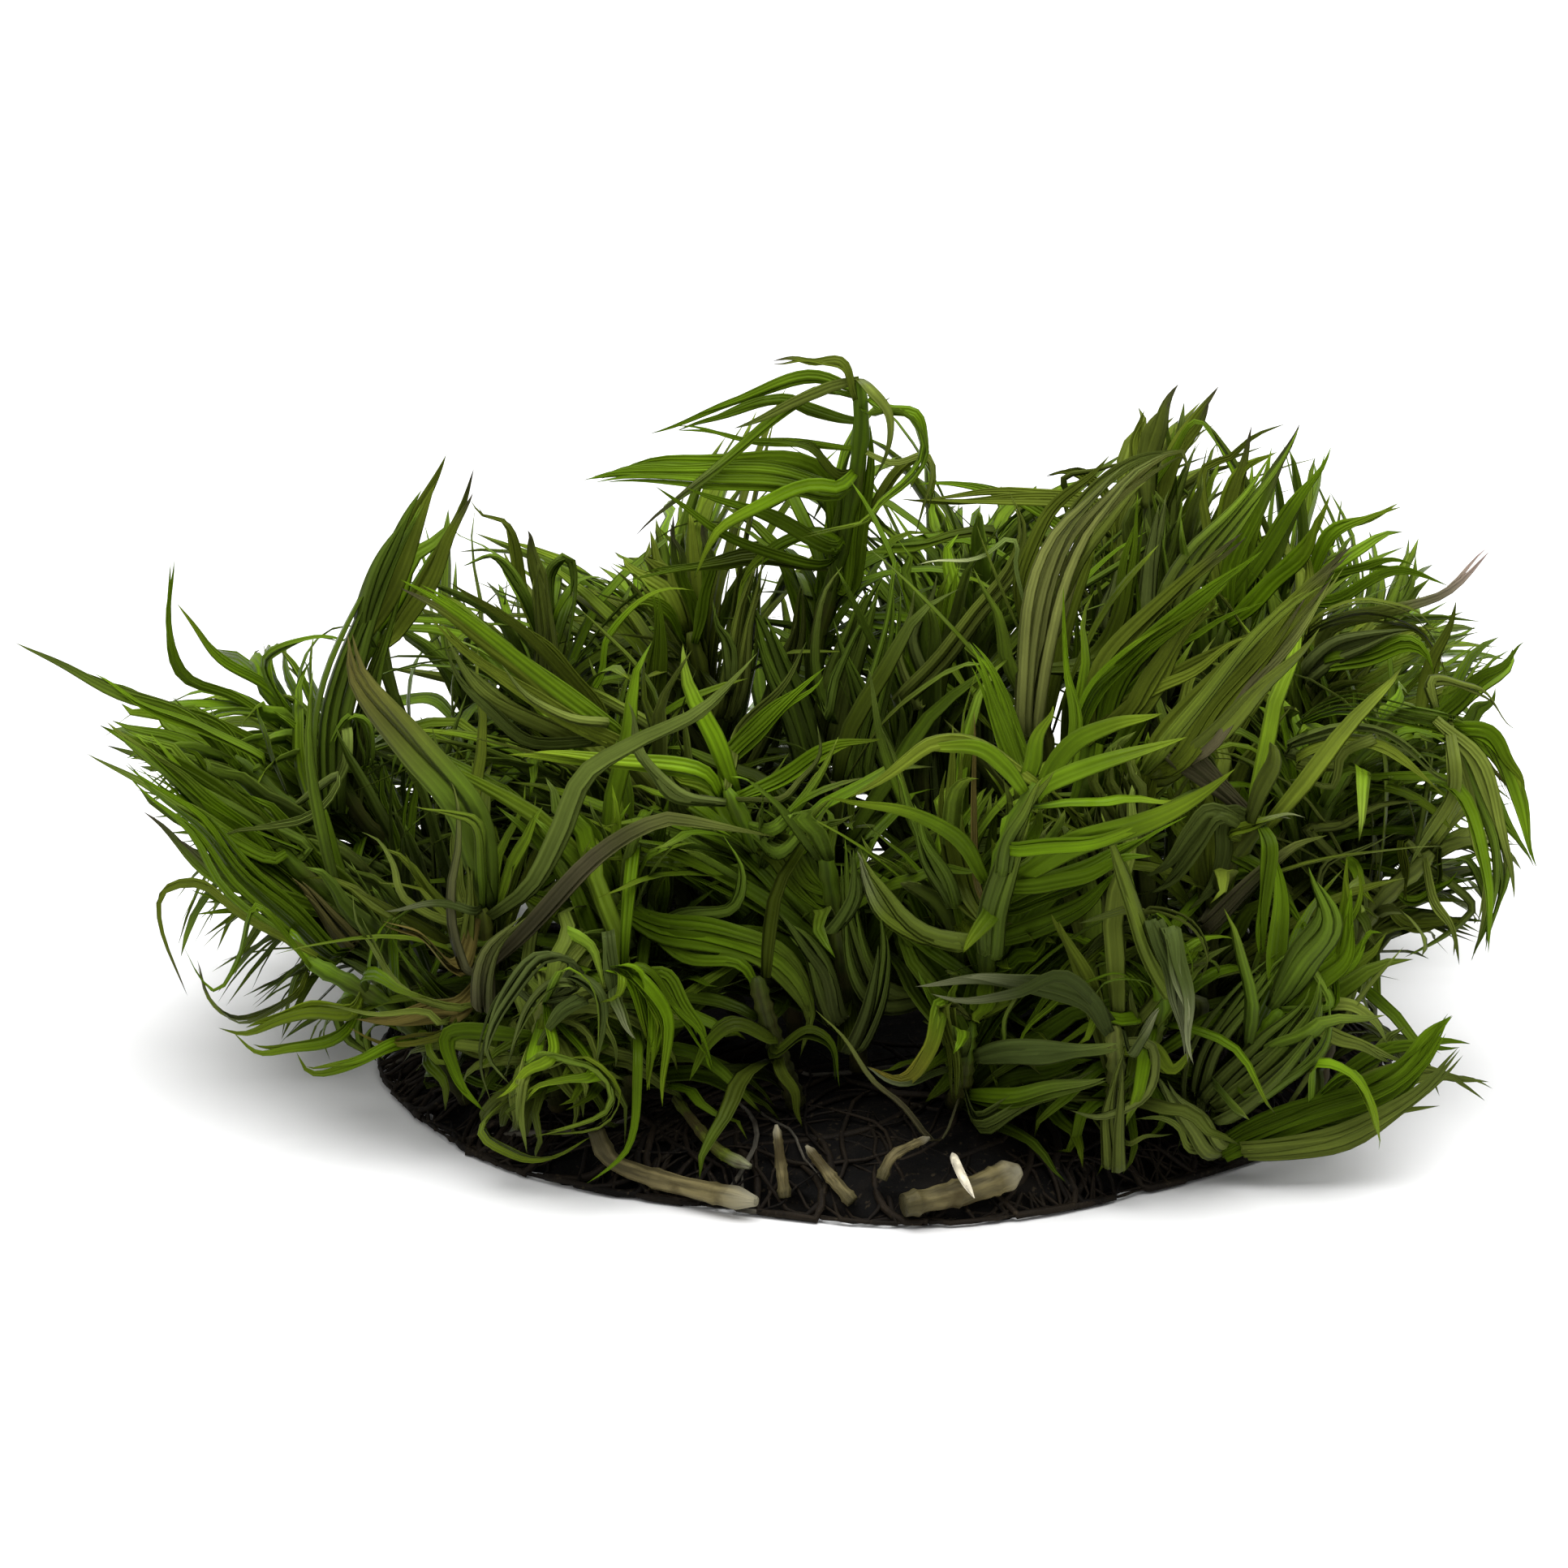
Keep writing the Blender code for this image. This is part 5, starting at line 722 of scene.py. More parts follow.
        ("pale", 0.7, 1, 0.4, -30.5, -30.5, 16.7, -5.9, 18.1, -5.4, 19.8, -5.3),
        ("yellow", 0.75, 2, 1.3, -30.5, -30, 18.2, 0.2, 19.7, -1, 21.2, 0.2),
        ("olive", 0.8, 3, 1.7, -31.4, -31.6, 15.8, -7.6, 15.8, -4.6, 16, -2, 16.4, 0.6),
    ),
    "shoot_centre_left": (
        ("dark", 0.9, 3, 1.8, -23, -24, -2.6, 2, -3.6, 5, -5, 7.6, -7.2, 9.4),
        ("dark", 0.8, 3, 1.8, -24, -25, -1.6, 0, 0, 3, 0.6, 6.4, 0, 9.6),
        ("green", 0.5, 2, 1.3, -25, -26, -3, 8, -1.4, 10.4, -1.6, 13.6),
    ),
    "shoot_front_dark": (
        ("dark", 1.0, 2, 1.2, -27, -28, -7, 1, -9.4, 2, -11.4, 0.6, -12.4, -2),
        ("dark", 0.9, 2, 1.2, -27, -28, -6.6, 0, -4.6, 1.4, -3, 0.4, -2.4, -2.4),
        ("olive", 0.5, 1, 0.8, -27, -28, -6.4, -1, -5.4, -2.8, -5, -5),
    ),
    "shoot_low_centre": (
        ("olive", 0.7, 3, 1.7, -29.5, -29, 4.6, 3.2, 5.2, 0, 5.5, -3.2),
        ("withered", 1.2, 1, 0.6, -29, -30, 4.1, -5.9, 1.6, -3.2, -0.4, -1.4, -2.6, 1.4, -4, 3.1),
        ("dark", 2.0, 2, 1.1, -28, -28.5, 9.1, 3.6, 8.7, 2.4, 8.1, -0.7),
        ("grey", 0.6, 3, 1.8, -29.5, -30, 6.8, -4.6, 9, -3.6, 11.7, -2.2, 14.8, -0.9),
        ("silver", 0.6, 1, 0.45, -31, -31.5, 2.6, -1.8, 0.8, -1.8, -0.6, -1.1),
    ),
}

# Bare stems and roots that lie on the front of the mat: tone, radius, and route as seen (across, up,
# height above the mat)
BARE_STEMS = (
    ("cut_stem_left", "bare_stem", 0.85, ((-18.6, -5.2, 2.2), (-17.3, -7.4, 0.2), (-12.4, -9.0, 0.2),
                                          (-7.9, -9.9, 0.2))),
    ("cut_stem_right", "bare_stem", 1.15, ((1.9, -10.1, 0.2), (6.5, -9.0, 0.5), (9.6, -7.7, 0.9))),
    ("stub_left", "bare_stem", 0.55, ((-6.0, -9.6, 0.2), (-6.3, -7.3, 2.0), (-6.6, -4.8, 4.2))),
    ("stub_middle", "bare_stem", 0.6, ((-1.5, -9.9, 0.2), (-2.9, -8.3, 0.5), (-4.6, -6.2, 1.4))),
    ("stub_right", "bare_stem", 0.5, ((0.4, -8.4, 1.2), (1.2, -6.8, 1.6), (3.6, -5.6, 1.6))),
    ("stem_dark_left", "leaf_dark", 0.5, ((-13.3, -3.1, 0.4), (-10.6, -6.4, 0.4), (-8.3, -7.6, 0.4))),
    ("root_white", "root", 0.35, ((5.1, -6.6, 1.6), (5.7, -8.0, 3.8), (6.6, -9.6, 3.2))),
)

# A leaf; its level is the share of the stem where it stands, and above one for the told leaves, and its
# light is a share of its tint
# A leaf's light is partly its own tone, partly painted shade and painted light for its place in the clump.
Leaf = namedtuple("Leaf", "route width tint across twist level light")
TOLD = 2.0
Pattern = namedtuple("Pattern", "shape rings faces uvs steps")


def seen(across, up, deep):
    """The place, in millimetres, that the eye sees at (across, up) when it lies at y = deep."""
    on_picture = Vector((across, up * math.sin(VIEW_TILT), up * math.cos(VIEW_TILT)))
    reach = (deep + BACK) / (BACK + on_picture.y)
    return EYE + (on_picture - EYE) * reach


def as_seen(places):
    """Where the eye sees places, as rows of (across, up, distance)."""
    rays = np.asarray(places, float) - (0.0, -BACK, RISE)
    away = rays[..., 1] * math.cos(VIEW_TILT) - rays[..., 2] * math.sin(VIEW_TILT)
    rise = rays[..., 1] * math.sin(VIEW_TILT) + rays[..., 2] * math.cos(VIEW_TILT)
    return np.stack((rays[..., 0] * VIEW_DISTANCE / away, rise * VIEW_DISTANCE / away, away), axis=-1)


def in_outline(place):
    """Whether a place is seen inside the clump's outline."""
    across, up, _ = as_seen(place)
    inside = False
    for (x1, y1), (x2, y2) in zip(OUTLINE, OUTLINE[1:] + OUTLINE[:1]):
        if (y1 > up) != (y2 > up) and across < x1 + (up - y1) * (x2 - x1) / (y2 - y1):
            inside = not inside
    return inside


def mat_reach(angle):
    """How far the mat's rim lies from its middle at an angle, as a share of its radius."""
    return 1.0 + sum(size * math.sin(lobes * angle + turn) for lobes, size, turn in MAT_LOBES)


def mat_top(x, y):
    """The height of the mat's top at a place, in millimetres; zero past its rim."""
    share = math.hypot(x, y) / (MAT_RADIUS * mat_reach(math.atan2(y, x)))
    if share >= 1.0:
        return 0.0
    outer = MAT_RINGS[0]
    for inner in MAT_RINGS[1:]:
        if share >= inner[0]:
            part = (share - inner[0]) / (outer[0] - inner[0])
            return MAT_HEIGHT * (inner[1] + (outer[1] - inner[1]) * part)
        outer = inner
    return MAT_HEIGHT


def seen_on_mat(across, up, lift):
    """The place that the eye sees at (across, up), a given height above the mat or the ground."""
    near, far = -1.6 * MAT_RADIUS, 0.0
    for _ in range(SEARCH_ROUNDS):
        middle = (near + far) / 2
        place = seen(across, up, middle)
        if place.z > mat_top(place.x, place.y) + lift:
            near = middle
        else:
            far = middle
    return seen(across, up, near)


def smooth_route(points, steps):
    """A smooth route through the points, with a number of steps between each two."""
    ends = [points[0] * 2 - points[1]] + list(points) + [points[-1] * 2 - points[-2]]
    route = []
    for before, start, end, after in zip(ends, ends[1:], ends[2:], ends[3:]):
        for step in range(steps):
            t = step / steps
            route.append(0.5 * (2 * start + (end - before) * t
                                + (2 * before - 5 * start + 4 * end - after) * t ** 2
                                + (3 * start - before - 3 * end + after) * t ** 3))
    return route + [points[-1].copy()]


def along(route, share):
    """The place and the direction at a share of a route's length."""
    lengths = [(b - a).length for a, b in zip(route, route[1:])]
    left = share * sum(lengths)
    for a, b, length in zip(route, route[1:], lengths):
        if left <= length:
            return a.lerp(b, left / length), (b - a).normalized()
        left -= length
    return route[-1].copy(), (route[-1] - route[-2]).normalized()


def square_to(vector, direction):
    """The part of a vector that is square to a direction, at length one."""
    return (vector - direction * vector.dot(direction)).normalized()


def stem_route(root, points):
    """A shoot's stem, from just above the mat through the points seen."""
    x, y = root
    start = Vector((x, y, mat_top(x, y) + GAP + STEM_ROOT_RADIUS * 0.6))
    return smooth_route([start] + [seen(*point) for point in points], STEM_STEPS)


def leaf_route(base, start, hinge, length, curl, sway, pull, steps):
    """A leaf's points: it sets off at start, curls about its hinge, sways aside and bends to its pull."""
    points = [base]
    for step in range(steps):
        share = (step + 0.5) / steps
        direction = Matrix.Rotation(curl * share, 3, hinge) @ start
        direction = Matrix.Rotation(sway * share, 3, hinge.cross(start)) @ direction
        direction = (direction + pull * share).normalized()
        points.append(points[-1] + direction * length / steps)
    return points


def segment_gaps(start, end, starts, ends):
    """The distances from one straight piece to each of many."""
    own = end - start
    others = ends - starts
    offset = start - starts
    own_square = own @ own
    other_square = (others * others).sum(axis=1)
    mixed = others @ own
    toward_own = offset @ own
    toward_other = (others * offset).sum(axis=1)
    spread = own_square * other_square - mixed * mixed
    here = np.clip((mixed * toward_other - toward_own * other_square) / np.maximum(spread, 1e-9), 0, 1)
    there = np.clip((mixed * here + toward_other) / other_square, 0, 1)
    here = np.clip((mixed * there - toward_own) / own_square, 0, 1)
    apart = offset + here[:, None] * own - there[:, None] * others
    return np.sqrt((apart * apart).sum(axis=1))


class Thicket:
    """The stems and leaves placed so far, to keep new ones clear of them."""

    def __init__(self):
        self.starts = np.empty((0, 3))
        self.ends = np.empty((0, 3))
        self.radii = np.empty(0)
        self.owners = np.empty(0, dtype="U40")
        self.free = np.empty(0, dtype=bool)

    def add(self, owner, points, radii, free_from):
        """Add a route; its pieces from free_from on keep clear of the same shoot's leaves too."""
        count = len(points) - 1
        self.starts = np.vstack((self.starts, np.array(points[:-1])))
        self.ends = np.vstack((self.ends, np.array(points[1:])))
        self.radii = np.append(self.radii, radii[:count])
        self.owners = np.append(self.owners, [owner] * count)
        self.free = np.append(self.free, np.arange(count) >= free_from)

    def room(self, owner, points, radii, free_from):
        """The least room that a route would leave to its neighbours, the mat and the ground."""
        least = math.inf
        strange = self.owners != owner
        near = ~strange & self.free
        for index, (a, b) in enumerate(zip(points, points[1:])):
            gaps = segment_gaps(np.array(a), np.array(b), self.starts, self.ends)
            others = gaps[strange] - self.radii[strange] - radii[index]
            least = min(least, others.min() if len(others) else least)
            if index >= free_from:
                own = gaps[near] - 2 * LEAF_THICKNESS
                least = min(least, own.min() if len(own) else least)
            for point in (a.lerp(b, 0.5), b):
                least = min(least, point.z - LOWEST_LEAF + GAP)
                least = min(least, point.z - mat_top(point.x, point.y) - radii[index])
        return least


def slot_directions(whorl, tangent, phase):
    """The outward directions of a whorl's places for leaves."""
    first = square_to(FIRST_OUTWARD, tangent)
    turn = 2 * math.pi / SLOTS
    return [Matrix.Rotation(phase + turn * (slot + whorl / 2), 3, tangent) @ first for slot in range(SLOTS)]


def leaf_pieces(style, whorl):
    """How many straight pieces the solid of a leaf has."""
    return style.pieces if whorl else 2


def leaf_radii(width, pieces):
    """The half-widths of a leaf's straight pieces, from the stem to the tip."""
    return [width / 2 * (1.0 if piece < pieces - 1 else LEAF_END) for piece in range(pieces)]


def told_leaf(thicket, owner, base, points, width):
    """A told leaf's points, its outer part moved along the line of sight until it is clear."""
    for shift in TOLD_SHIFTS:
        route = [base]
        for index, (across, up, deep) in enumerate(points):
            route.append(seen(across, up, deep + shift * (index + 1) / len(points)))
        radii = leaf_radii(width, len(points))
        if thicket.room(owner, route, radii, 2) >= GAP:
            return route
    return None


def free_leaf(thicket, sight, key, base, outward, tangent, style):
    """A leaf of the shoot's own kind, turned or shortened until it has room and hides no told leaf."""
    name, whorl, slot = key
    pieces = leaf_pieces(style, whorl)
    chance = random.Random(f"{name} {whorl} {slot}")
    level = whorl / (len(WHORL_SHARES) - 1)
    spread = math.radians(style.low + (style.high - style.low) * level)
    length = style.length * chance.uniform(*LENGTH_SHARES)
    curl = math.radians(style.curl + chance.uniform(*CURL_SPREAD))
    sway = math.radians(chance.uniform(*SWAY_SPREAD))
    for size, lean, turn in product(SIZES, LEANS, TURNS):
        side = Matrix.Rotation(math.radians(turn), 3, tangent) @ outward
        start = (tangent * math.cos(spread * lean) + side * math.sin(spread * lean)).normalized()
        hinge = tangent.cross(side).normalized()
        pull = Vector((0, 0, -style.sag))
        fine = leaf_route(base, start, hinge, length * size, curl, sway, pull, LEAF_STEPS)
        if not all(in_outline(point) for point in fine[1:]):
            continue
        if sight.hidden_by(fine[2:], style.width):
            continue
        route = fine[::LEAF_STEPS // pieces]
        if thicket.room(name, route, leaf_radii(style.width, pieces), 1) >= GAP:
            return fine, route, side
    return None


def told_cost(place, first):
    """How far round a place on the stem is from facing a told leaf's first point."""
    base, outward, _ = place
    reach = first - base
    return reach.length * (1.6 - reach.normalized().dot(outward))


def bare_route(radius, points):
    """A bare stem's route over the mat."""
    return smooth_route([seen_on_mat(across, up, radius + GAP + lift) for across, up, lift in points], 2)


def facing_eye(route, chance):
    """The direction across a told leaf's blade, so that its flat side is turned to the eye."""
    direction = (route[-1] - route[0]).normalized()
    eye = Vector((0.0, -math.cos(VIEW_TILT), math.sin(VIEW_TILT)))
    across = direction.cross(eye).normalized()
    if direction.cross(across).z < 0:
        across = -across
    return Matrix.Rotation(math.radians(chance.uniform(-FACING_TURN, FACING_TURN)), 3, direction) @ across


class Sight:
    """The told leaves as the eye sees them, so that no other leaf passes in front of them."""

    def __init__(self):
        self.spots = np.empty((0, 3))
        self.margins = np.empty(0)

    def add(self, route, width):
        """Keep a told leaf in sight."""
        spots = as_seen(smooth_route(route, ROUTE_STEPS)[ROUTE_STEPS:])
        self.spots = np.vstack((self.spots, spots))
        self.margins = np.append(self.margins, [width / 2] * len(spots))

    def hidden_by(self, points, width):
        """Whether a leaf would pass in front of a told one."""
        spots = as_seen(points)
        apart = spots[:, None, :2] - self.spots[None, :, :2]
        near = np.hypot(apart[..., 0], apart[..., 1]) < self.margins + width / 2 + SIGHT_MARGIN
        return bool((near & (spots[:, None, 2] < self.spots[None, :, 2])).any())


def grow_leaves():
    """The stems, the leaves that the solids have, along the same routes, and the sheaves."""
    thicket = Thicket()
    stems = {name: stem_route(root, points) for name, _, _, root, points in SHOOTS}
    for name, route in stems.items():
        thicket.add(name, route, [STEM_ROOT_RADIUS] * len(route), len(route))
    for name, _, radius, points in BARE_STEMS:
        route = bare_route(radius, points)
        thicket.add(name, route, [radius] * len(route), len(route))
    places = {}
    for number, (name, *_) in enumerate(SHOOTS):
        for whorl, share in enumerate(WHORL_SHARES):
            centre, tangent = along(stems[name], share)
            for slot, outward in enumerate(slot_directions(whorl, tangent, number * WHORL_TURN)):
                base = centre + outward * STEM_TIP_RADIUS * LEAF_FOOT
                places[name, whorl, slot] = (base, outward, tangent)
    kinds = {name: kind for name, _, kind, _, _ in SHOOTS}
    sight = Sight()
    leaves = {name: [] for name in stems}
    taken = set()
    for name, told in TOLD_LEAVES.items():
        for tint, width, *numbers in told:
            points = points_of(numbers, 3)
            first = seen(*points[0])
            open_places = [key for key in places if key[0] == name and key not in taken]
            key = min(open_places, key=lambda k: told_cost(places[k], first))
            route = told_leaf(thicket, name, places[key][0], points, width)
            if route is None:
                continue
            taken.add(key)
            thicket.add(name, route, leaf_radii(width, len(points)), 2)
            blades = 1 if kinds[name] == "star" else 3 if width > WIDE_LEAF else 2
            leaves[name] += sheaf(smooth_route(route, ROUTE_STEPS), tint, 1.0, blades,
                                  width * TOLD_WIDTHS[blades])
            sight.add(route, width)
    for whorl in reversed(range(len(WHORL_SHARES))):
        for name, tone, kind, _, _ in SHOOTS:
            style = STYLES[kind]
            lowest_bare = len(TOLD_LEAVES.get(name, ())) > 3
            for slot in range(SLOTS):
                key = (name, whorl, slot)
                if key in taken or (whorl == 0 and (slot % 2 or lowest_bare)):
                    continue
                found = free_leaf(thicket, sight, key, *places[key], style)
                if found is not None:
                    fine, route, side = found
                    taken.add(key)
                    thicket.add(name, route, leaf_radii(style.width, len(route) - 1), 1)
                    chance = random.Random(f"{key}")
                    leaves[name].append(Leaf(fine, style.width, tone, places[key][2].cross(side),
                                             chance.uniform(-0.6, 0.6), WHORL_SHARES[whorl], 1.0))
    for name, rows in SHEAVES.items():
        for tint, light, blades, width, near, far, *numbers in rows:
            route = sheaf_route(stems[name], near, far, points_of(numbers, 2))
            leaves[name] += sheaf(route, tint, light, blades, width)
            sight.add(route[::ROUTE_STEPS], width)
    for _, _, radius, points in BARE_STEMS:
        sight.add(bare_route(radius, points), radius * 2)
    return stems, leaves, sight


def points_of(numbers, size):
    """A flat run of numbers as points with that many numbers each."""
    return [tuple(numbers[at:at + size]) for at in range(0, len(numbers), size)]


def sheaf_route(stem, near, far, points):
    """A sheaf's smooth route, from the nearest place on its stem out to its tip."""
    shares = np.linspace(0, 1, len(points))
    spots = [seen(*point, near + (far - near) * share) for point, share in zip(points, shares)]
    base = min(stem[STEM_STEPS // 2:], key=lambda place: (place - spots[0]).length)
    return smooth_route([base.copy()] + spots, ROUTE_STEPS)


def sheaf(route, tint, light, blades, width):
    """Wet blades that cling together: side by side in the middle, and closing to a point."""
    chance = random.Random(f"{tint} {width} {route[-1]}")
    across = facing_eye(route, chance)
    if blades == 1:
        return [Leaf(route, width, tint, across, chance.uniform(-0.5, 0.5), TOLD, light)]
    group = []
    narrow = width * OVERLAP / blades
    for blade in range(blades):
        aside = (blade / (blades - 1) - 0.5) * (width - narrow)
        reach = 1.0 if blade == blades // 2 else chance.uniform(*BLADE_LENGTHS)
        last = max(4, round(reach * (len(route) - 1)))
        above = chance.uniform(-STAND_OFF, STAND_OFF) * width - abs(aside) * FOLD_BACK
        points = []
        for index, point in enumerate(route[:last + 1]):
            step = route[min(index + 1, len(route) - 1)] - route[max(index - 1, 0)]
            over = step.cross(across).normalized()
            share = index / (len(route) - 1)
            open_by = math.sin(min(1.0, share / OPEN_BY) * math.pi / 2)
            open_by *= 1 - CLOSING * max(0.0, share - CLOSE_FROM) / (1 - CLOSE_FROM)
            points.append(point + (across * aside + over * above) * open_by)
        group.append(Leaf(points, narrow * chance.uniform(*BLADE_WIDTHS), tint, across,
                          chance.uniform(-0.4, 0.4), TOLD, light * chance.uniform(*BLADE_LIGHTS)))
    return group


def fill_leaves(number, shoot, stem, sight, settings):
    """The fine leaves of one shoot: close whorls from low on its stem up to its tip."""
    name, tone, kind, _, _ = shoot
    style = STYLES[kind]
    fill = FILLS[kind]
    chance = random.Random(f"fine leaves of {name}")
    length = sum((b - a).length for a, b in zip(stem, stem[1:]))
    whorls = max(3, round(length * (1 - FILL_START) / settings.whorl_spacing))
    lean = (stem[-1] - stem[0]) * Vector((1, 1, 0))
    pull = lean.normalized() * fill.sweep + Vector((0, 0, -style.sag))
    grown = []
    for whorl in range(whorls + 1):
        share = FILL_START + (1 - FILL_START) * whorl / whorls
        level = max(0.0, min(1.0, (share - WHORL_SHARES[0]) / (WHORL_SHARES[-1] - WHORL_SHARES[0])))
        centre, tangent = along(stem, share)
        first = square_to(FIRST_OUTWARD, tangent)
        phase = number * WHORL_TURN + whorl * FILL_TURN + chance.uniform(-0.3, 0.3)
        for slot in range(settings.leaves_in_whorl):
            turn = phase + 2 * math.pi * slot / settings.leaves_in_whorl + chance.uniform(-0.35, 0.35)
            outward = Matrix.Rotation(turn, 3, tangent) @ first
            spread = math.radians(style.low + (style.high - style.low) * level)
            spread *= chance.uniform(*fill.spread)
            start = (tangent * math.cos(spread) + outward * math.sin(spread)).normalized()
            hinge = tangent.cross(outward).normalized()
            base = centre + outward * STEM_TIP_RADIUS * 0.6
            curl = math.radians(style.curl + chance.uniform(*fill.curl))
            sway = math.radians(chance.uniform(-fill.sway, fill.sway))
            reach = style.length * chance.uniform(*fill.length)
            width = style.width * chance.uniform(*fill.width)
            twist = chance.uniform(-FILL_TWIST, FILL_TWIST)
            for size in FILL_SIZES:
                route = leaf_route(base, start, hinge, reach * size, curl, sway, pull, FILL_STEPS)
                if all(in_reach(point) and in_outline(point) for point in route[2:]):
                    if not sight.hidden_by(route, width):
                        grown.append(Leaf(route, width, tone, hinge, twist, share, 1.0))
                        break
    return grown


def in_reach(point):
    """Whether a leaf's point is above the ground and the mat, and no further back than the solids."""
    return point.z > max(0.9, mat_top(point.x, point.y) + 0.4) and point.y < SOLID_BOX[1][1] / MM


def deselect_all():
    """Leave nothing selected."""
    for thing in list(bpy.context.selected_objects):
        thing.select_set(False)


def pick(mesh, wanted, of="verts"):
    """Select the vertices or edges of the mesh in edit mode that are wanted, and nothing else."""
    bpy.ops.mesh.select_mode(type="VERT" if of == "verts" else "EDGE")
    bpy.ops.mesh.select_all(action="DESELECT")
    bm = bmesh.from_edit_mesh(mesh)
    for item in getattr(bm, of):
        item.select_set(wanted(item))
    bm.select_flush_mode()
    bmesh.update_edit_mesh(mesh)


def start_rod(sides, steps):
    """Add a straight rod one unit long and one in radius, cut across into steps, in edit mode."""
    deselect_all()
    bpy.ops.mesh.primitive_cylinder_add(vertices=sides, radius=1, depth=1, location=(0, 0, 0.5))
    bpy.ops.object.transform_apply(location=True, rotation=False, scale=False)
    rod = bpy.context.active_object
    bpy.ops.object.mode_set(mode="EDIT")
    pick(rod.data, lambda edge: abs(edge.verts[0].co.z - edge.verts[1].co.z) > 0.5, "edges")
    bpy.ops.mesh.subdivide(number_cuts=steps - 1)
    return rod


def size_rings(mesh, steps, profile):
    """Widen or narrow each ring of a rod by its profile along the length."""
    for ring in range(steps + 1):
        height = ring / steps
        width = profile(height)
        pick(mesh, lambda vert: abs(vert.co.z - height) < 0.3 / steps)
        bpy.ops.transform.resize(value=(width, width, 1), center_override=(0, 0, height))


def finish_pattern(rod, steps, uv_of):
    """Leave edit mode, read the pattern's shape and take the object away."""
    bpy.ops.mesh.select_all(action="SELECT")
    bpy.ops.mesh.normals_make_consistent(inside=False)
    bpy.ops.object.mode_set(mode="OBJECT")
    mesh = rod.data
    shape = np.array([vert.co[:] for vert in mesh.vertices])
    rings = np.rint(shape[:, 2] * steps).astype(int)
    faces = [list(face.vertices) for face in mesh.polygons]
    uvs = [uv_of(mesh, face) for face in mesh.polygons]
    bpy.data.objects.remove(rod)
    bpy.data.meshes.remove(mesh)
    return Pattern(shape[:, :2], rings, faces, np.array([uv for face in uvs for uv in face]), steps)


def blade_width(height):
    """A blade's half-width along its length: narrow at the stem, widest at a third, then pointed."""
    rise = 0.62 + 0.38 * math.sin(min(1.0, height / 0.35) * math.pi / 2)
    return rise * max(0.02, 1 - height ** 3.2) ** 0.95


def blade_uv(mesh, face):
    """Across the blade from 0 to 1 on top and from 1 to 2 underneath, and along it from 0 to 1."""
    top = face.normal.y > 0
    spots = []
    for index in face.vertices:
        x, _, z = mesh.vertices[index].co
        share = (x / max(0.03, blade_width(z)) + 1) / 2
        spots.append((share if top else 2 - share, z))
    return spots


def round_uv(mesh, face):
    """Round the rod from 0 to 1, and along it from 0 to 1."""
    middle = math.atan2(face.center.y, face.center.x)
    spots = []
    for index in face.vertices:
        x, y, z = mesh.vertices[index].co
        turn = math.atan2(y, x) - middle
        turn = (turn + math.pi) % (2 * math.pi) - math.pi
        spots.append(((middle + turn) / (2 * math.pi) + 0.5, z))
    return spots


# A blade's section, from the middle of its upper side round to the keel: where each column of vertices
# goes, for blades with six and with eight sides
BLADE_SECTIONS = {
    6: ((0, 0.02), (0.5, 0.12), (1, 0.15), (0, -0.13)),
    8: ((0, 0.02), (0.36, 0.11), (0.72, 0.13), (1, 0.16), (0, -0.13)),
}


def blade_pattern(sides, steps):
    """A straight leaf blade: folded along its middle, ribbed on both halves and pointed."""
    rod = start_rod(sides, steps)
    section = BLADE_SECTIONS[sides]
    for column, (goal_x, goal_y) in enumerate(section):
        angle = 2 * math.pi * column / sides
        x, y = math.sin(angle), math.cos(angle)
        for side in ((1, -1) if goal_x else (1,)):
            pick(rod.data, lambda vert: math.hypot(vert.co.x - x * side, vert.co.y - y) < 0.05)
            bpy.ops.transform.translate(value=((goal_x - x) * side, goal_y - y + 10, 0))
    pick(rod.data, lambda vert: True)
    bpy.ops.transform.translate(value=(0, -10, 0))
    size_rings(rod.data, steps, blade_width)
    pick(rod.data, lambda vert: vert.co.z > 1 - 0.3 / steps)
    bpy.ops.mesh.merge(type="CENTER")
    return finish_pattern(rod, steps, blade_uv)


def stem_pattern(sides, steps, nodes):
    """A straight leafy stem: a little thicker at each node, tapering to a blunt bud."""
    def profile(height):
        swelling = 0.12 * math.cos(height * nodes * 2 * math.pi) ** 8
        return (0.58 - 0.1 * height + swelling) * (1 if height < 0.97 else 0.45)
    rod = start_rod(sides, steps)
    size_rings(rod.data, steps, profile)
    return finish_pattern(rod, steps, round_uv)


def root_pattern(sides, steps):
    """A straight root: even, and drawn out to a point at both ends."""
    rod = start_rod(sides, steps)
    size_rings(rod.data, steps, lambda height: max(0.08, 1 - (2 * height - 1) ** 4))
    return finish_pattern(rod, steps, round_uv)


def cut_stem_pattern(sides, steps, start, end):
    """A straight bare stem with knots, its radius running from start to end; a small end is ragged."""
    def profile(height):
        knot = 0.14 * math.exp(-((height * 3 + 0.2) % 1 - 0.5) ** 2 / 0.004)
        even = start + (end - start) * height ** 1.5
        ragged = 1 - 0.55 * max(0.0, height - 0.9) * 10
        return (even + knot) * ragged + 0.06 * math.sin(height * 23) * math.sin(height * 9)
    rod = start_rod(sides, steps)
    size_rings(rod.data, steps, profile)
    return finish_pattern(rod, steps, round_uv)


def resample(route, steps):
    """A route's points at even steps along it, in metres."""
    points = np.array([tuple(point) for point in route])
    lengths = np.concatenate(([0.0], np.cumsum(np.linalg.norm(np.diff(points, axis=0), axis=1))))
    stations = np.linspace(0, lengths[-1], steps + 1)
    return np.stack([np.interp(stations, lengths, points[:, axis]) for axis in range(3)], axis=1) * MM


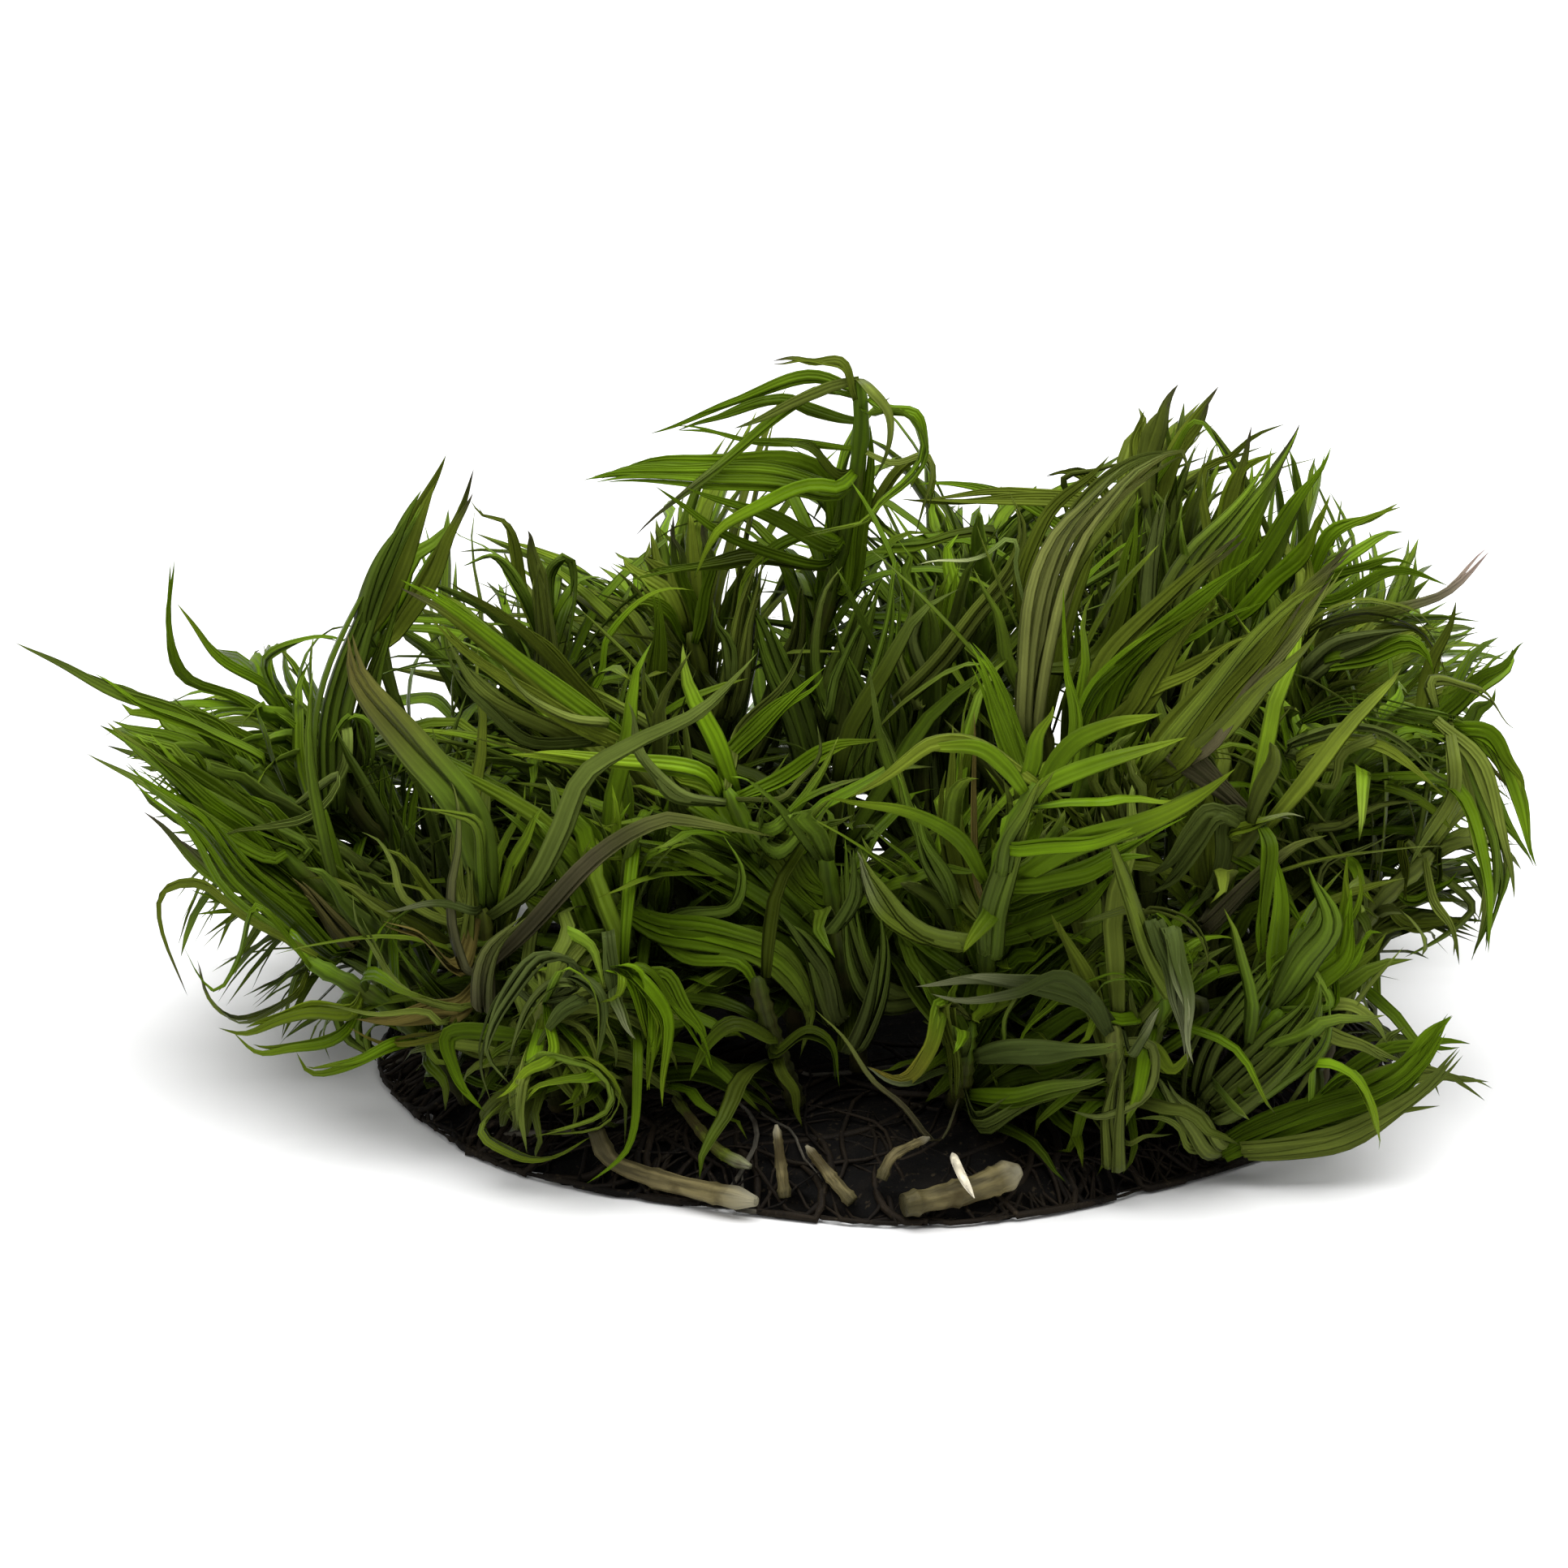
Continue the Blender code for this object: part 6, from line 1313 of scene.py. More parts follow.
def wave(route, leaf, chance):
    """A leaf's route with a slight wave of its own from side to side."""
    shares = np.linspace(0, 1, len(route))
    size = WAVE * (0.4 if leaf.level == TOLD else 1.0) * MM
    turns = chance.uniform(1.0, 2.4) * 2 * math.pi * shares + chance.uniform(0, 6.3)
    return route + np.outer(np.sin(turns) * shares * size * chance.uniform(0.2, 1.0), tuple(leaf.across))


def bend(pattern, routes, half_widths, across, twists):
    """Copies of a pattern bent along routes: the places of each copy's vertices, in metres."""
    routes = np.stack(routes)
    tangents = np.gradient(routes, axis=1)
    tangents /= np.linalg.norm(tangents, axis=2, keepdims=True)
    sides = np.empty_like(routes)
    side = np.array([tuple(direction) for direction in across])
    for station in range(routes.shape[1]):
        tangent = tangents[:, station]
        side = side - tangent * (side * tangent).sum(axis=1, keepdims=True)
        side /= np.maximum(np.linalg.norm(side, axis=1, keepdims=True), 1e-9)
        sides[:, station] = side
    overs = np.cross(tangents, sides)
    turns = np.array(twists)[:, None] * np.linspace(0, 1, routes.shape[1])
    turned = sides * np.cos(turns)[..., None] + overs * np.sin(turns)[..., None]
    overs = np.cross(tangents, turned)
    widths = np.array(half_widths)[:, None, None]
    offsets = turned[:, pattern.rings] * pattern.shape[:, 0, None]
    offsets = offsets + overs[:, pattern.rings] * pattern.shape[:, 1, None]
    return routes[:, pattern.rings] + offsets * widths


class Bundle:
    """Bent copies of patterns, gathered to make one mesh."""

    def __init__(self):
        self.places = []
        self.faces = []
        self.uvs = []
        self.colours = []
        self.finishes = []
        self.count = 0

    def add(self, pattern, places, colours, finish):
        """Add copies with their vertex places, vertex colours and number of their material."""
        for copy, shades in zip(places, colours):
            self.places.append(copy)
            self.colours.append(shades)
            self.faces += [[index + self.count for index in face] for face in pattern.faces]
            self.uvs.append(pattern.uvs)
            self.finishes += [finish] * len(pattern.faces)
            self.count += len(copy)

    def make(self, name, node, materials):
        """Make the mesh and the piece, which rides on the root body and stands for its solid."""
        mesh = bpy.data.meshes.new(name)
        mesh.from_pydata(np.concatenate(self.places), [], self.faces)
        for material in materials:
            mesh.materials.append(material)
        mesh.polygons.foreach_set("material_index", self.finishes)
        mesh.uv_layers.new(name="along")
        mesh.uv_layers["along"].data.foreach_set("uv", np.concatenate(self.uvs).ravel())
        tints = mesh.attributes.new("tint", "FLOAT_COLOR", "POINT")
        tints.data.foreach_set("color", np.concatenate(self.colours).ravel())
        mesh.shade_smooth()
        mesh.update()
        piece = bpy.data.objects.new(name, mesh)
        bpy.context.scene.collection.objects.link(piece)
        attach(piece, "root")
        if node:
            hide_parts(node)


def mixed(first, second, share):
    """A colour between two."""
    return np.array(first) * (1 - share) + np.array(second) * share


def leaf_colours(pattern, leaves, places, settings, seed):
    """Each leaf's colour along its length: its tint, its own chance, and painted shade deep in the clump."""
    chance = random.Random(seed)
    heights = pattern.rings / pattern.steps
    rows = []
    for leaf, spots in zip(leaves, places):
        base_name, tip_name, onset = TINTS[leaf.tint]
        base = np.array(getattr(settings, base_name))
        tip = np.array(getattr(settings, tip_name))
        drift = "olive" if chance.random() < 0.5 else "bright"
        if leaf.level < TOLD:
            base = mixed(base, getattr(settings, drift), chance.uniform(0, 0.55))
            tip = mixed(tip, getattr(settings, chance.choice(("grey", "yellow", "olive", "purple"))),
                        chance.uniform(0, 0.6))
        share = np.clip((heights - onset) / max(0.01, 1 - onset), 0, 1)[:, None]
        colour = base * (1 - share) + tip * share
        # Painted shade: darker deep in the clump, and for the fine leaves low on the stem and at each leaf's
        # foot; told leaves keep at least 0.7 of their colour
        shade = painted_depth_shade(spots)
        shade = np.maximum(shade, 0.7) if leaf.level == TOLD else shade * age_and_painted_shade(leaf.level, heights)
        colour = colour * chance.uniform(0.75, 1.2) * leaf.light * shade[:, None]
        rows.append(np.hstack((colour, np.full((len(colour), 1), chance.random()))))
    return rows


def stem_colours(pattern, tone, settings):
    """A stem's colour along its length: dark brown-green at its foot, partly its own brown and partly painted
    shade low in the clump, the shoot's tone at its tip.
    """
    shares = (pattern.rings / pattern.steps)[:, None]
    # Painted shade in part: the foot's brown-green is cut to a fifth
    foot = mixed(settings.dark, settings.brown, 0.3) * 0.2
    shares = shares ** 1.8
    colour = foot * (1 - shares) + np.array(getattr(settings, tone)) * 0.7 * shares
    return np.hstack((colour, np.full((len(colour), 1), 0.5)))


def age_and_painted_shade(level, heights):
    """How light a leaf is by its place on the stem: darker low down, partly as older leaves are and partly as
    painted shade low in the clump, and painted shade at its foot by the stem.
    """
    return (0.45 + 0.7 * min(1.0, level) ** 1.2) * (0.65 + 0.4 * np.clip(heights * 2.5, 0, 1))


def painted_depth_shade(places):
    """Painted shade by a leaf's place: dark between the stems low in the clump, where shade falls, full at
    its outside.
    """
    reach = np.hypot(places[:, 0], places[:, 1]) / (MAT_RADIUS * MM)
    height = places[:, 2] / (30 * MM)
    outside = np.sqrt(np.clip(reach, 0, 2) ** 2 * 0.5 + np.clip(height, 0, 2) ** 2)
    return np.clip(0.12 + 1.15 * (outside - 0.34), 0.05, 1.0)


# Colours of the marks on leaves, stems and roots
# Painted shade for the grooves between a leaf's ribs
RIB_GROOVE_PAINTED_SHADE = (0.012, 0.018, 0.003)
UNDERSIDE = (0.16, 0.18, 0.07)
# Pale leaf edges: partly the margin's own paler green, partly a painted glow of light through the thin edge
PALE_EDGE_AND_GLOW = (0.2, 0.25, 0.05)
STEM_BLOTCH = (0.06, 0.04, 0.015)
GRIT = (0.06, 0.045, 0.025)
CUT_END = (0.34, 0.32, 0.23)
KNOT = (0.045, 0.034, 0.012)
# Darker toward the end where a bare stem's route starts
DARK_START_END = (0.03, 0.027, 0.01)
# Pale clods of the peat and of the roots, kept near black: partly their own dark colour, partly painted shade
# of the clump over the mat
SHADED_PALE_PEAT = (0.006, 0.0042, 0.0024)
SHADED_PALE_ROOT = (0.014, 0.01, 0.005)
WHITE_ROOT = (0.5, 0.45, 0.33)
MOIST_IOR = 1.2


def new_material(name, roughness):
    """A material with its node tree and shader."""
    material = bpy.data.materials.new(name)
    material.use_nodes = True
    tree = material.node_tree
    shader = tree.nodes["Principled BSDF"]
    shader.inputs["Roughness"].default_value = roughness
    shader.inputs["IOR"].default_value = MOIST_IOR
    return material, tree, shader


def add_math(tree, operation, first, second=0.0):
    """A Math node on two values, each a number or a socket."""
    node = tree.nodes.new("ShaderNodeMath")
    node.operation = operation
    for socket, value in zip(node.inputs, (first, second)):
        if isinstance(value, (int, float)):
            socket.default_value = value
        else:
            tree.links.new(value, socket)
    return node.outputs[0]


def add_mix(tree, factor, first, second, blend="MIX"):
    """A colour mix, each input a colour or a socket."""
    node = tree.nodes.new("ShaderNodeMix")
    node.data_type = "RGBA"
    node.blend_type = blend
    for socket, value in ((node.inputs[0], factor), (node.inputs[6], first), (node.inputs[7], second)):
        if isinstance(value, (int, float)):
            socket.default_value = value
        elif isinstance(value, tuple):
            socket.default_value = (*value, 1.0)
        else:
            tree.links.new(value, socket)
    return node.outputs[2]


def add_noise(tree, vector, scale, detail=2.0):
    """A noise pattern's value at a vector."""
    node = tree.nodes.new("ShaderNodeTexNoise")
    node.inputs["Scale"].default_value = scale
    node.inputs["Detail"].default_value = detail
    tree.links.new(vector, node.inputs["Vector"])
    return node.outputs["Fac"]


def add_range(tree, value, low, high, to_low=0.0, to_high=1.0):
    """A value mapped from one range to another, held at its ends."""
    node = tree.nodes.new("ShaderNodeMapRange")
    tree.links.new(value, node.inputs["Value"])
    for name, number in (("From Min", low), ("From Max", high), ("To Min", to_low), ("To Max", to_high)):
        node.inputs[name].default_value = number
    return node.outputs["Result"]


def add_bump(tree, height, strength, distance, shader):
    """Bump from a height on the shader's normal."""
    node = tree.nodes.new("ShaderNodeBump")
    node.inputs["Strength"].default_value = strength
    node.inputs["Distance"].default_value = distance
    tree.links.new(height, node.inputs["Height"])
    tree.links.new(node.outputs["Normal"], shader.inputs["Normal"])


def surface_inputs(tree):
    """The sockets that patterns read: across and along the piece, its tint, its chance, its place."""
    uv = tree.nodes.new("ShaderNodeUVMap")
    uv.uv_map = "along"
    split = tree.nodes.new("ShaderNodeSeparateXYZ")
    tree.links.new(uv.outputs["UV"], split.inputs[0])
    tint = tree.nodes.new("ShaderNodeAttribute")
    tint.attribute_name = "tint"
    place = tree.nodes.new("ShaderNodeTexCoord").outputs["Object"]
    return split.outputs[0], split.outputs[1], tint.outputs["Color"], tint.outputs["Alpha"], place


def streaks_along(tree, across, up, chance, fineness, stretch):
    """Noise drawn out along a piece, different on each copy."""
    join = tree.nodes.new("ShaderNodeCombineXYZ")
    tree.links.new(add_math(tree, "MULTIPLY", across, fineness), join.inputs[0])
    tree.links.new(add_math(tree, "MULTIPLY", up, stretch), join.inputs[1])
    tree.links.new(add_math(tree, "MULTIPLY", chance, 40.0), join.inputs[2])
    return add_noise(tree, join.outputs[0], 1.0, 3.0)


def leaf_material(name, roughness):
    """A moist leaf: ribs along it with painted shade in their grooves, streaks, blotches, a pale underside
    and thin pale edges, partly a painted glow of light through them.
    """
    material, tree, shader = new_material(name, roughness)
    across, up, tint, chance, place = surface_inputs(tree)
    streak = streaks_along(tree, across, up, chance, 5.0, 1.3)
    ribs = add_math(tree, "SINE", add_math(tree, "MULTIPLY", across, 2 * math.pi * 3))
    blotch = add_noise(tree, place, 230.0, 3.0)
    grain = add_noise(tree, place, 2600.0, 2.0)
    underside = add_math(tree, "GREATER_THAN", across, 1.0)
    half = add_math(tree, "PINGPONG", across, 0.5)
    edge = add_range(tree, half, 0.1, 0.0, 0.0, 0.45)
    colour = add_mix(tree, 1.0, tint, add_range(tree, streak, 0.3, 0.72, 0.7, 1.28), "MULTIPLY")
    colour = add_mix(tree, 1.0, colour, add_range(tree, blotch, 0.3, 0.7, 0.75, 1.25), "MULTIPLY")
    # Painted shade in the grooves between the ribs, where the bump sinks
    colour = add_mix(tree, add_range(tree, ribs, 0.2, -1.0, 0.0, 0.12), colour, RIB_GROOVE_PAINTED_SHADE)
    colour = add_mix(tree, add_math(tree, "MULTIPLY", underside, 0.12), colour, UNDERSIDE)
    # Pale edges, partly a painted glow of light through the thin margin
    colour = add_mix(tree, add_math(tree, "MULTIPLY", edge, 0.22), colour, PALE_EDGE_AND_GLOW)
    tree.links.new(colour, shader.inputs["Base Color"])
    shader.inputs["Specular IOR Level"].default_value = 0.35
    shader.inputs["Specular Tint"].default_value = (0.8, 1.0, 0.3, 1.0)
    tree.links.new(add_range(tree, blotch, 0.35, 0.65, roughness - 0.12, roughness + 0.14),
                   shader.inputs["Roughness"])
    height = add_math(tree, "ADD", add_math(tree, "MULTIPLY", ribs, 0.35), streak)
    height = add_math(tree, "ADD", height, add_math(tree, "MULTIPLY", grain, 0.25))
    add_bump(tree, height, 0.55, 0.00012, shader)
    return material


def stem_material():
    """A green stem: ribbed along its length, with dark blotches."""
    material, tree, shader = new_material("stem", 0.6)
    across, up, tint, chance, place = surface_inputs(tree)
    streak = streaks_along(tree, across, up, chance, 14.0, 3.0)
    blotch = add_noise(tree, place, 300.0, 3.0)
    colour = add_mix(tree, 1.0, tint, add_range(tree, streak, 0.3, 0.7, 0.6, 1.4), "MULTIPLY")
    colour = add_mix(tree, add_range(tree, blotch, 0.5, 0.75, 0.0, 0.5), colour, STEM_BLOTCH)
    tree.links.new(colour, shader.inputs["Base Color"])
    add_bump(tree, streak, 0.6, 0.0002, shader)
    return material


def root_material(name, roughness, light):
    """Roots and peaty mat: mottled, with grit and a few paler fibres."""
    material, tree, shader = new_material(name, roughness)
    across, up, tint, chance, place = surface_inputs(tree)
    streak = streaks_along(tree, across, up, chance, 5.0, 6.0)
    clods = add_noise(tree, place, 420.0, 5.0)
    grit = add_noise(tree, place, 2400.0, 3.0)
    colour = add_mix(tree, 1.0, tint, add_range(tree, streak, 0.3, 0.7, 0.55, 1.45), "MULTIPLY")
    colour = add_mix(tree, add_range(tree, clods, 0.5, 0.68, 0.0, 0.6), colour, light)
    colour = add_mix(tree, add_range(tree, grit, 0.62, 0.7, 0.0, 0.35), colour, GRIT)
    tree.links.new(colour, shader.inputs["Base Color"])
    height = add_math(tree, "ADD", clods, add_math(tree, "MULTIPLY", grit, 0.4))
    add_bump(tree, height, 0.8, 0.0003, shader)
    return material


def bare_stem_material():
    """A pale cut stem: tan, fibrous, whiter at its far end, brown in blotches and darker toward its start."""
    material, tree, shader = new_material("bare_stem", 0.5)
    across, up, tint, chance, place = surface_inputs(tree)
    streak = streaks_along(tree, across, up, chance, 10.0, 2.5)
    blotch = add_noise(tree, place, 380.0, 4.0)
    colour = add_mix(tree, 1.0, tint, add_range(tree, streak, 0.35, 0.65, 0.4, 1.3), "MULTIPLY")
    colour = add_mix(tree, add_range(tree, up, 0.8, 0.97, 0.0, 0.55), colour, CUT_END)
    colour = add_mix(tree, add_range(tree, blotch, 0.48, 0.62, 0.0, 0.9), colour, KNOT)
    # Darker toward the end where the route starts
    colour = add_mix(tree, add_range(tree, up, 0.3, 0.0, 0.0, 0.8), colour, DARK_START_END)
    tree.links.new(colour, shader.inputs["Base Color"])
    add_bump(tree, add_math(tree, "ADD", streak, blotch), 0.9, 0.0003, shader)
    return material


class PogostemonLeaves(PropertyGroup):
    """Sizes and colours of the leafy shoots."""

    whorl_spacing: FloatProperty(name="Whorl spacing", description="Millimetres between fine whorls",
                                 default=1.5, min=0.8, max=8.0)
    leaves_in_whorl: IntProperty(name="Leaves in a whorl", description="Fine leaves in each whorl",
                                 default=8, min=3, max=12)
    bright: FloatVectorProperty(name="Bright", description="Young leaves", subtype="COLOR",
                                default=(0.1, 0.18, 0.004))
    green: FloatVectorProperty(name="Green", description="Full-grown leaves", subtype="COLOR",
                               default=(0.072, 0.124, 0.004))
    olive: FloatVectorProperty(name="Olive", description="Older leaves", subtype="COLOR",
                               default=(0.09, 0.118, 0.01))
    # The dark tint is partly a dark green of the leaves' own, partly painted shade for leaves deep in the
    # clump
    dark: FloatVectorProperty(name="Dark", description="Leaves deep in the clump", subtype="COLOR",
                              default=(0.032, 0.046, 0.003))
    pale: FloatVectorProperty(name="Pale", description="Pale leaves", subtype="COLOR",
                              default=(0.142, 0.18, 0.027))
    yellow: FloatVectorProperty(name="Yellow-green", description="Yellow-green leaves and tips",
                                subtype="COLOR", default=(0.13, 0.185, 0.01))
    grey: FloatVectorProperty(name="Grey-green", description="Old grey-green leaves and tips",
                              subtype="COLOR", default=(0.1, 0.134, 0.024))
    strap: FloatVectorProperty(name="Strap", description="The long olive strap", subtype="COLOR",
                               default=(0.155, 0.17, 0.04))
    brown: FloatVectorProperty(name="Brown", description="Withered leaves and tips", subtype="COLOR",
                               default=(0.122, 0.096, 0.024))
    ash: FloatVectorProperty(name="Ash", description="Dull grey-green leaves near the foot",
                             subtype="COLOR", default=(0.052, 0.072, 0.016))
    withered: FloatVectorProperty(name="Withered", description="Dull withered leaves", subtype="COLOR",
                                  default=(0.072, 0.064, 0.032))
    purple: FloatVectorProperty(name="Purple-brown", description="Dark dying tips", subtype="COLOR",
                                default=(0.05, 0.036, 0.03))
    orange: FloatVectorProperty(name="Orange", description="An orange-brown leaf", subtype="COLOR",
                                default=(0.19, 0.15, 0.022))
    pink: FloatVectorProperty(name="Pink-white", description="A bleached pinkish tip", subtype="COLOR",
                              default=(0.5, 0.36, 0.34))
    silver: FloatVectorProperty(name="Silver", description="Bleached leaf ends", subtype="COLOR",
                                default=(0.25, 0.27, 0.14))


class PogostemonRoots(PropertyGroup):
    """Sizes and colours of the root mat and the bare stems."""

    roots: IntProperty(name="Roots", description="Roots in the mat's tangle", default=700, min=0, max=3000)
    root_radius: FloatProperty(name="Root radius", description="Millimetres", default=0.2, min=0.05, max=1.0)
    # The peat and the brown roots are near black: partly the mat's own dark colour, partly painted shade of
    # the clump over it
    peat: FloatVectorProperty(name="Peat", description="The mat's own colour", subtype="COLOR",
                              default=(0.0012, 0.0009, 0.0006))
    root: FloatVectorProperty(name="Root", description="Brown roots", subtype="COLOR",
                              default=(0.008, 0.0056, 0.0032))
    young_root: FloatVectorProperty(name="Young root", description="Pale young roots", subtype="COLOR",
                                    default=(0.6, 0.55, 0.42))
    cut_stem: FloatVectorProperty(name="Cut stem", description="Bare stems", subtype="COLOR",
                                  default=(0.135, 0.112, 0.048))


class PogostemonStage(PropertyGroup):
    """The floor, the light and the camera."""

    floor: FloatVectorProperty(name="Floor", description="The floor's colour", subtype="COLOR",
                               default=(0.86, 0.86, 0.86))
    key_power: FloatProperty(name="Key light", description="Watts of the soft light overhead",
                             default=20.3, min=0.0)
    fill_power: FloatProperty(name="Fill light", description="Watts of the soft light in front",
                              default=1.2, min=0.0)
    sky: FloatProperty(name="Sky", description="Strength of the light from all round", default=0.48, min=0.0)
    lens: FloatProperty(name="Lens", description="The camera's focal length in millimetres",
                        default=137.8, min=20.0)


class POGOSTEMON_OT_leafy_shoots(Operator):
    """Grow every leafy shoot along its solid's stem and leaves"""

    bl_idname = "pogostemon.leafy_shoots"
    bl_label = "Leafy shoots"

    def execute(self, context):
        settings = context.scene.pogostemon_leaves
        stems, leaves, sight = grow_leaves()
        fine = blade_pattern(6, 8)
        full = blade_pattern(8, 18)
        stalk = stem_pattern(10, 30, 5)
        tones = {tone: leaf_material("leaf_" + tone, roughness)
                 for tone, roughness in (("bright", 0.36), ("green", 0.4), ("olive", 0.44),
                                         ("dark", 0.46), ("pale", 0.5))}
        stem_finish = stem_material()
        for number, shoot in enumerate(SHOOTS):
            name, tone = shoot[:2]
            own = leaves[name] + fill_leaves(number, shoot, stems[name], sight, settings)
            bundle = Bundle()
            chance = random.Random(f"waves of {name}")
            for pattern, group in ((full, [leaf for leaf in own if leaf.level == TOLD]),
                                   (fine, [leaf for leaf in own if leaf.level < TOLD])):
                if group:
                    routes = [wave(resample(smooth_route(leaf.route, 4), pattern.steps), leaf, chance)
                              for leaf in group]
                    places = bend(pattern, routes, [leaf.width * MM / 2 for leaf in group],
                                  [leaf.across for leaf in group], [leaf.twist for leaf in group])
                    colours = leaf_colours(pattern, group, places, settings, f"colours of {name}")
                    bundle.add(pattern, places, colours, 0)
            places = bend(stalk, [resample(stems[name], stalk.steps)], [STEM_ROOT_RADIUS * MM],
                          [Vector((1, 0, 0))], [0.6])
            bundle.add(stalk, places, [stem_colours(stalk, tone, settings)], 1)
            bundle.make(name.replace("shoot_", "sprig_"), name, (tones[tone], stem_finish))
        return {"FINISHED"}


def mat_colours(pattern, count, colour, spread, seed):
    """A colour for each copy of a root, with its own chance."""
    chance = random.Random(seed)
    rows = []
    for _ in range(count):
        shade = np.array(colour) * chance.uniform(*spread)
        rows.append(np.tile(np.append(shade, chance.random()), (len(pattern.rings), 1)))
    return rows


class POGOSTEMON_OT_root_mat(Operator):
    """Model the lumpy peat mat and lay its roots over it"""

    bl_idname = "pogostemon.root_mat"
    bl_label = "Root mat"

    def execute(self, context):
        settings = context.scene.pogostemon_roots
        make_mat(settings)
        make_roots(settings)
        return {"FINISHED"}


def make_mat(settings):
    """The mat: a flat-cut disc, cut into rings and rows, and raised into lumps."""
    deselect_all()
    bpy.ops.mesh.primitive_cylinder_add(vertices=MAT_SIDES, radius=MAT_RADIUS * MM, depth=MAT_HEIGHT * MM,
                                        location=(0, 0, MAT_HEIGHT * MM / 2))
    bpy.ops.object.transform_apply(location=True, rotation=False, scale=False)
    mat = bpy.context.active_object
    mat.name = mat.data.name = "root_mat_peat"
    bpy.ops.object.mode_set(mode="EDIT")
    pick(mat.data, lambda edge: abs(edge.verts[0].co.z - edge.verts[1].co.z) > 1e-4, "edges")
    bpy.ops.mesh.subdivide(number_cuts=MAT_ROWS)
    pick(mat.data, lambda vert: vert.co.z > (MAT_HEIGHT - 0.1) * MM)
    bpy.ops.mesh.select_mode(type="FACE")
    for _ in range(MAT_INSETS):
        bpy.ops.mesh.inset(thickness=MAT_INSET * MM)
    bpy.ops.mesh.select_all(action="SELECT")
    bpy.ops.mesh.normals_make_consistent(inside=False)
    bpy.ops.object.mode_set(mode="OBJECT")
    chance = np.random.default_rng(7)
    waves = [(chance.uniform(60, 900), chance.uniform(0, math.pi), chance.uniform(0, 6.3))
             for _ in range(MAT_WAVES)]
    for vert in mat.data.vertices:
        x, y, z = vert.co
        angle = math.atan2(y, x)
        reach = math.hypot(x, y) / (MAT_RADIUS * MM)
        lumps = sum(math.sin((x * math.cos(turn) + y * math.sin(turn)) * rate + shift) / (1 + rate / 200)
                    for rate, turn, shift in waves)
        top = mat_top(x / MM * 0.985, y / MM * 0.985) * MM
        level = z / (MAT_HEIGHT * MM)
        if z > 0.05 * MM:
            vert.co.z = max(0.3 * MM, level * top + lumps * MAT_LUMP * MM * min(1.0, level * 2))
        wobble = 1 + 0.01 * math.sin(angle * 31 + z * 900) + 0.008 * math.sin(angle * 57 + 2)
        if reach > 0.9:
            vert.co.x *= mat_reach(angle) * wobble * (1 - 0.03 * level)
            vert.co.y *= mat_reach(angle) * wobble * (1 - 0.03 * level)
    mesh = mat.data
    for layer in list(mesh.uv_layers):
        mesh.uv_layers.remove(layer)
    layer = mesh.uv_layers.new(name="along")
    for loop in mesh.loops:
        x, y, z = mesh.vertices[loop.vertex_index].co
        layer.data[loop.index].uv = (x / MM * 0.2, y / MM * 0.2 + z / MM * 0.2)
    # The mat's tint is near black: partly its own dark peat, partly painted shade of the clump over it
    tints = mesh.attributes.new("tint", "FLOAT_COLOR", "POINT")
    tints.data.foreach_set("color", np.tile((*settings.peat, 0.5), len(mesh.vertices)))
    mesh.materials.append(root_material("root_mat", 0.8, SHADED_PALE_PEAT))
    mesh.shade_smooth()
    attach(mat, "root")
    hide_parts("root_mat")


def root_route(chance, angle, reach):
    """A root's points: it wanders over the mat and down its flank, close to the surface."""
    heading = angle + chance.uniform(-1.2, 1.2)
    x, y = math.cos(angle) * reach, math.sin(angle) * reach
    points = []
    lift = chance.uniform(0.05, 0.5)
    for _ in range(9):
        height = mat_top(x, y) + lift
        points.append(Vector((x, y, max(0.35, height))))
        heading += chance.uniform(-0.55, 0.55)
        step = chance.uniform(1.0, 2.4)
        x += math.cos(heading) * step
        y += math.sin(heading) * step
        limit = MAT_RADIUS * mat_reach(math.atan2(y, x)) + 0.9
        far = math.hypot(x, y)
        if far > limit:
            x *= limit / far
            y *= limit / far
            heading += chance.choice((-0.9, 0.9))
    return points


def make_roots(settings):
    """The tangle of roots over the mat: brown ones, and a few pale young ones."""
    pattern = root_pattern(5, 10)
    chance = random.Random("roots of the mat")
    bundle = Bundle()
    routes = []
    widths = []
    for _ in range(settings.roots):
        reach = MAT_RADIUS * math.sqrt(chance.uniform(0.12, 0.98))
        routes.append(resample(smooth_route(root_route(chance, chance.uniform(0, 2 * math.pi), reach), 2),
                               pattern.steps))
        widths.append(settings.root_radius * chance.choice((0.5, 0.7, 0.9, 1.3)) * MM)
    places = bend(pattern, routes, widths, [Vector((0, 0, 1))] * len(routes), [0] * len(routes))
    # The roots are near black, partly painted shade of the clump over the mat, and the young roots' pale
    # colour is cut to 0.12 of itself for the same painted shade
    colours = mat_colours(pattern, len(routes), settings.root, (0.25, 1.5), "root colours")
    pale = np.array((*settings.young_root, 0)) * 0.12
    colours = [row * (0, 0, 0, 1) + pale if i % 40 == 0 else row for i, row in enumerate(colours)]
    bundle.add(pattern, places, colours, 0)
    bundle.make("root_tangle", None, (root_material("roots", 0.7, SHADED_PALE_ROOT),))


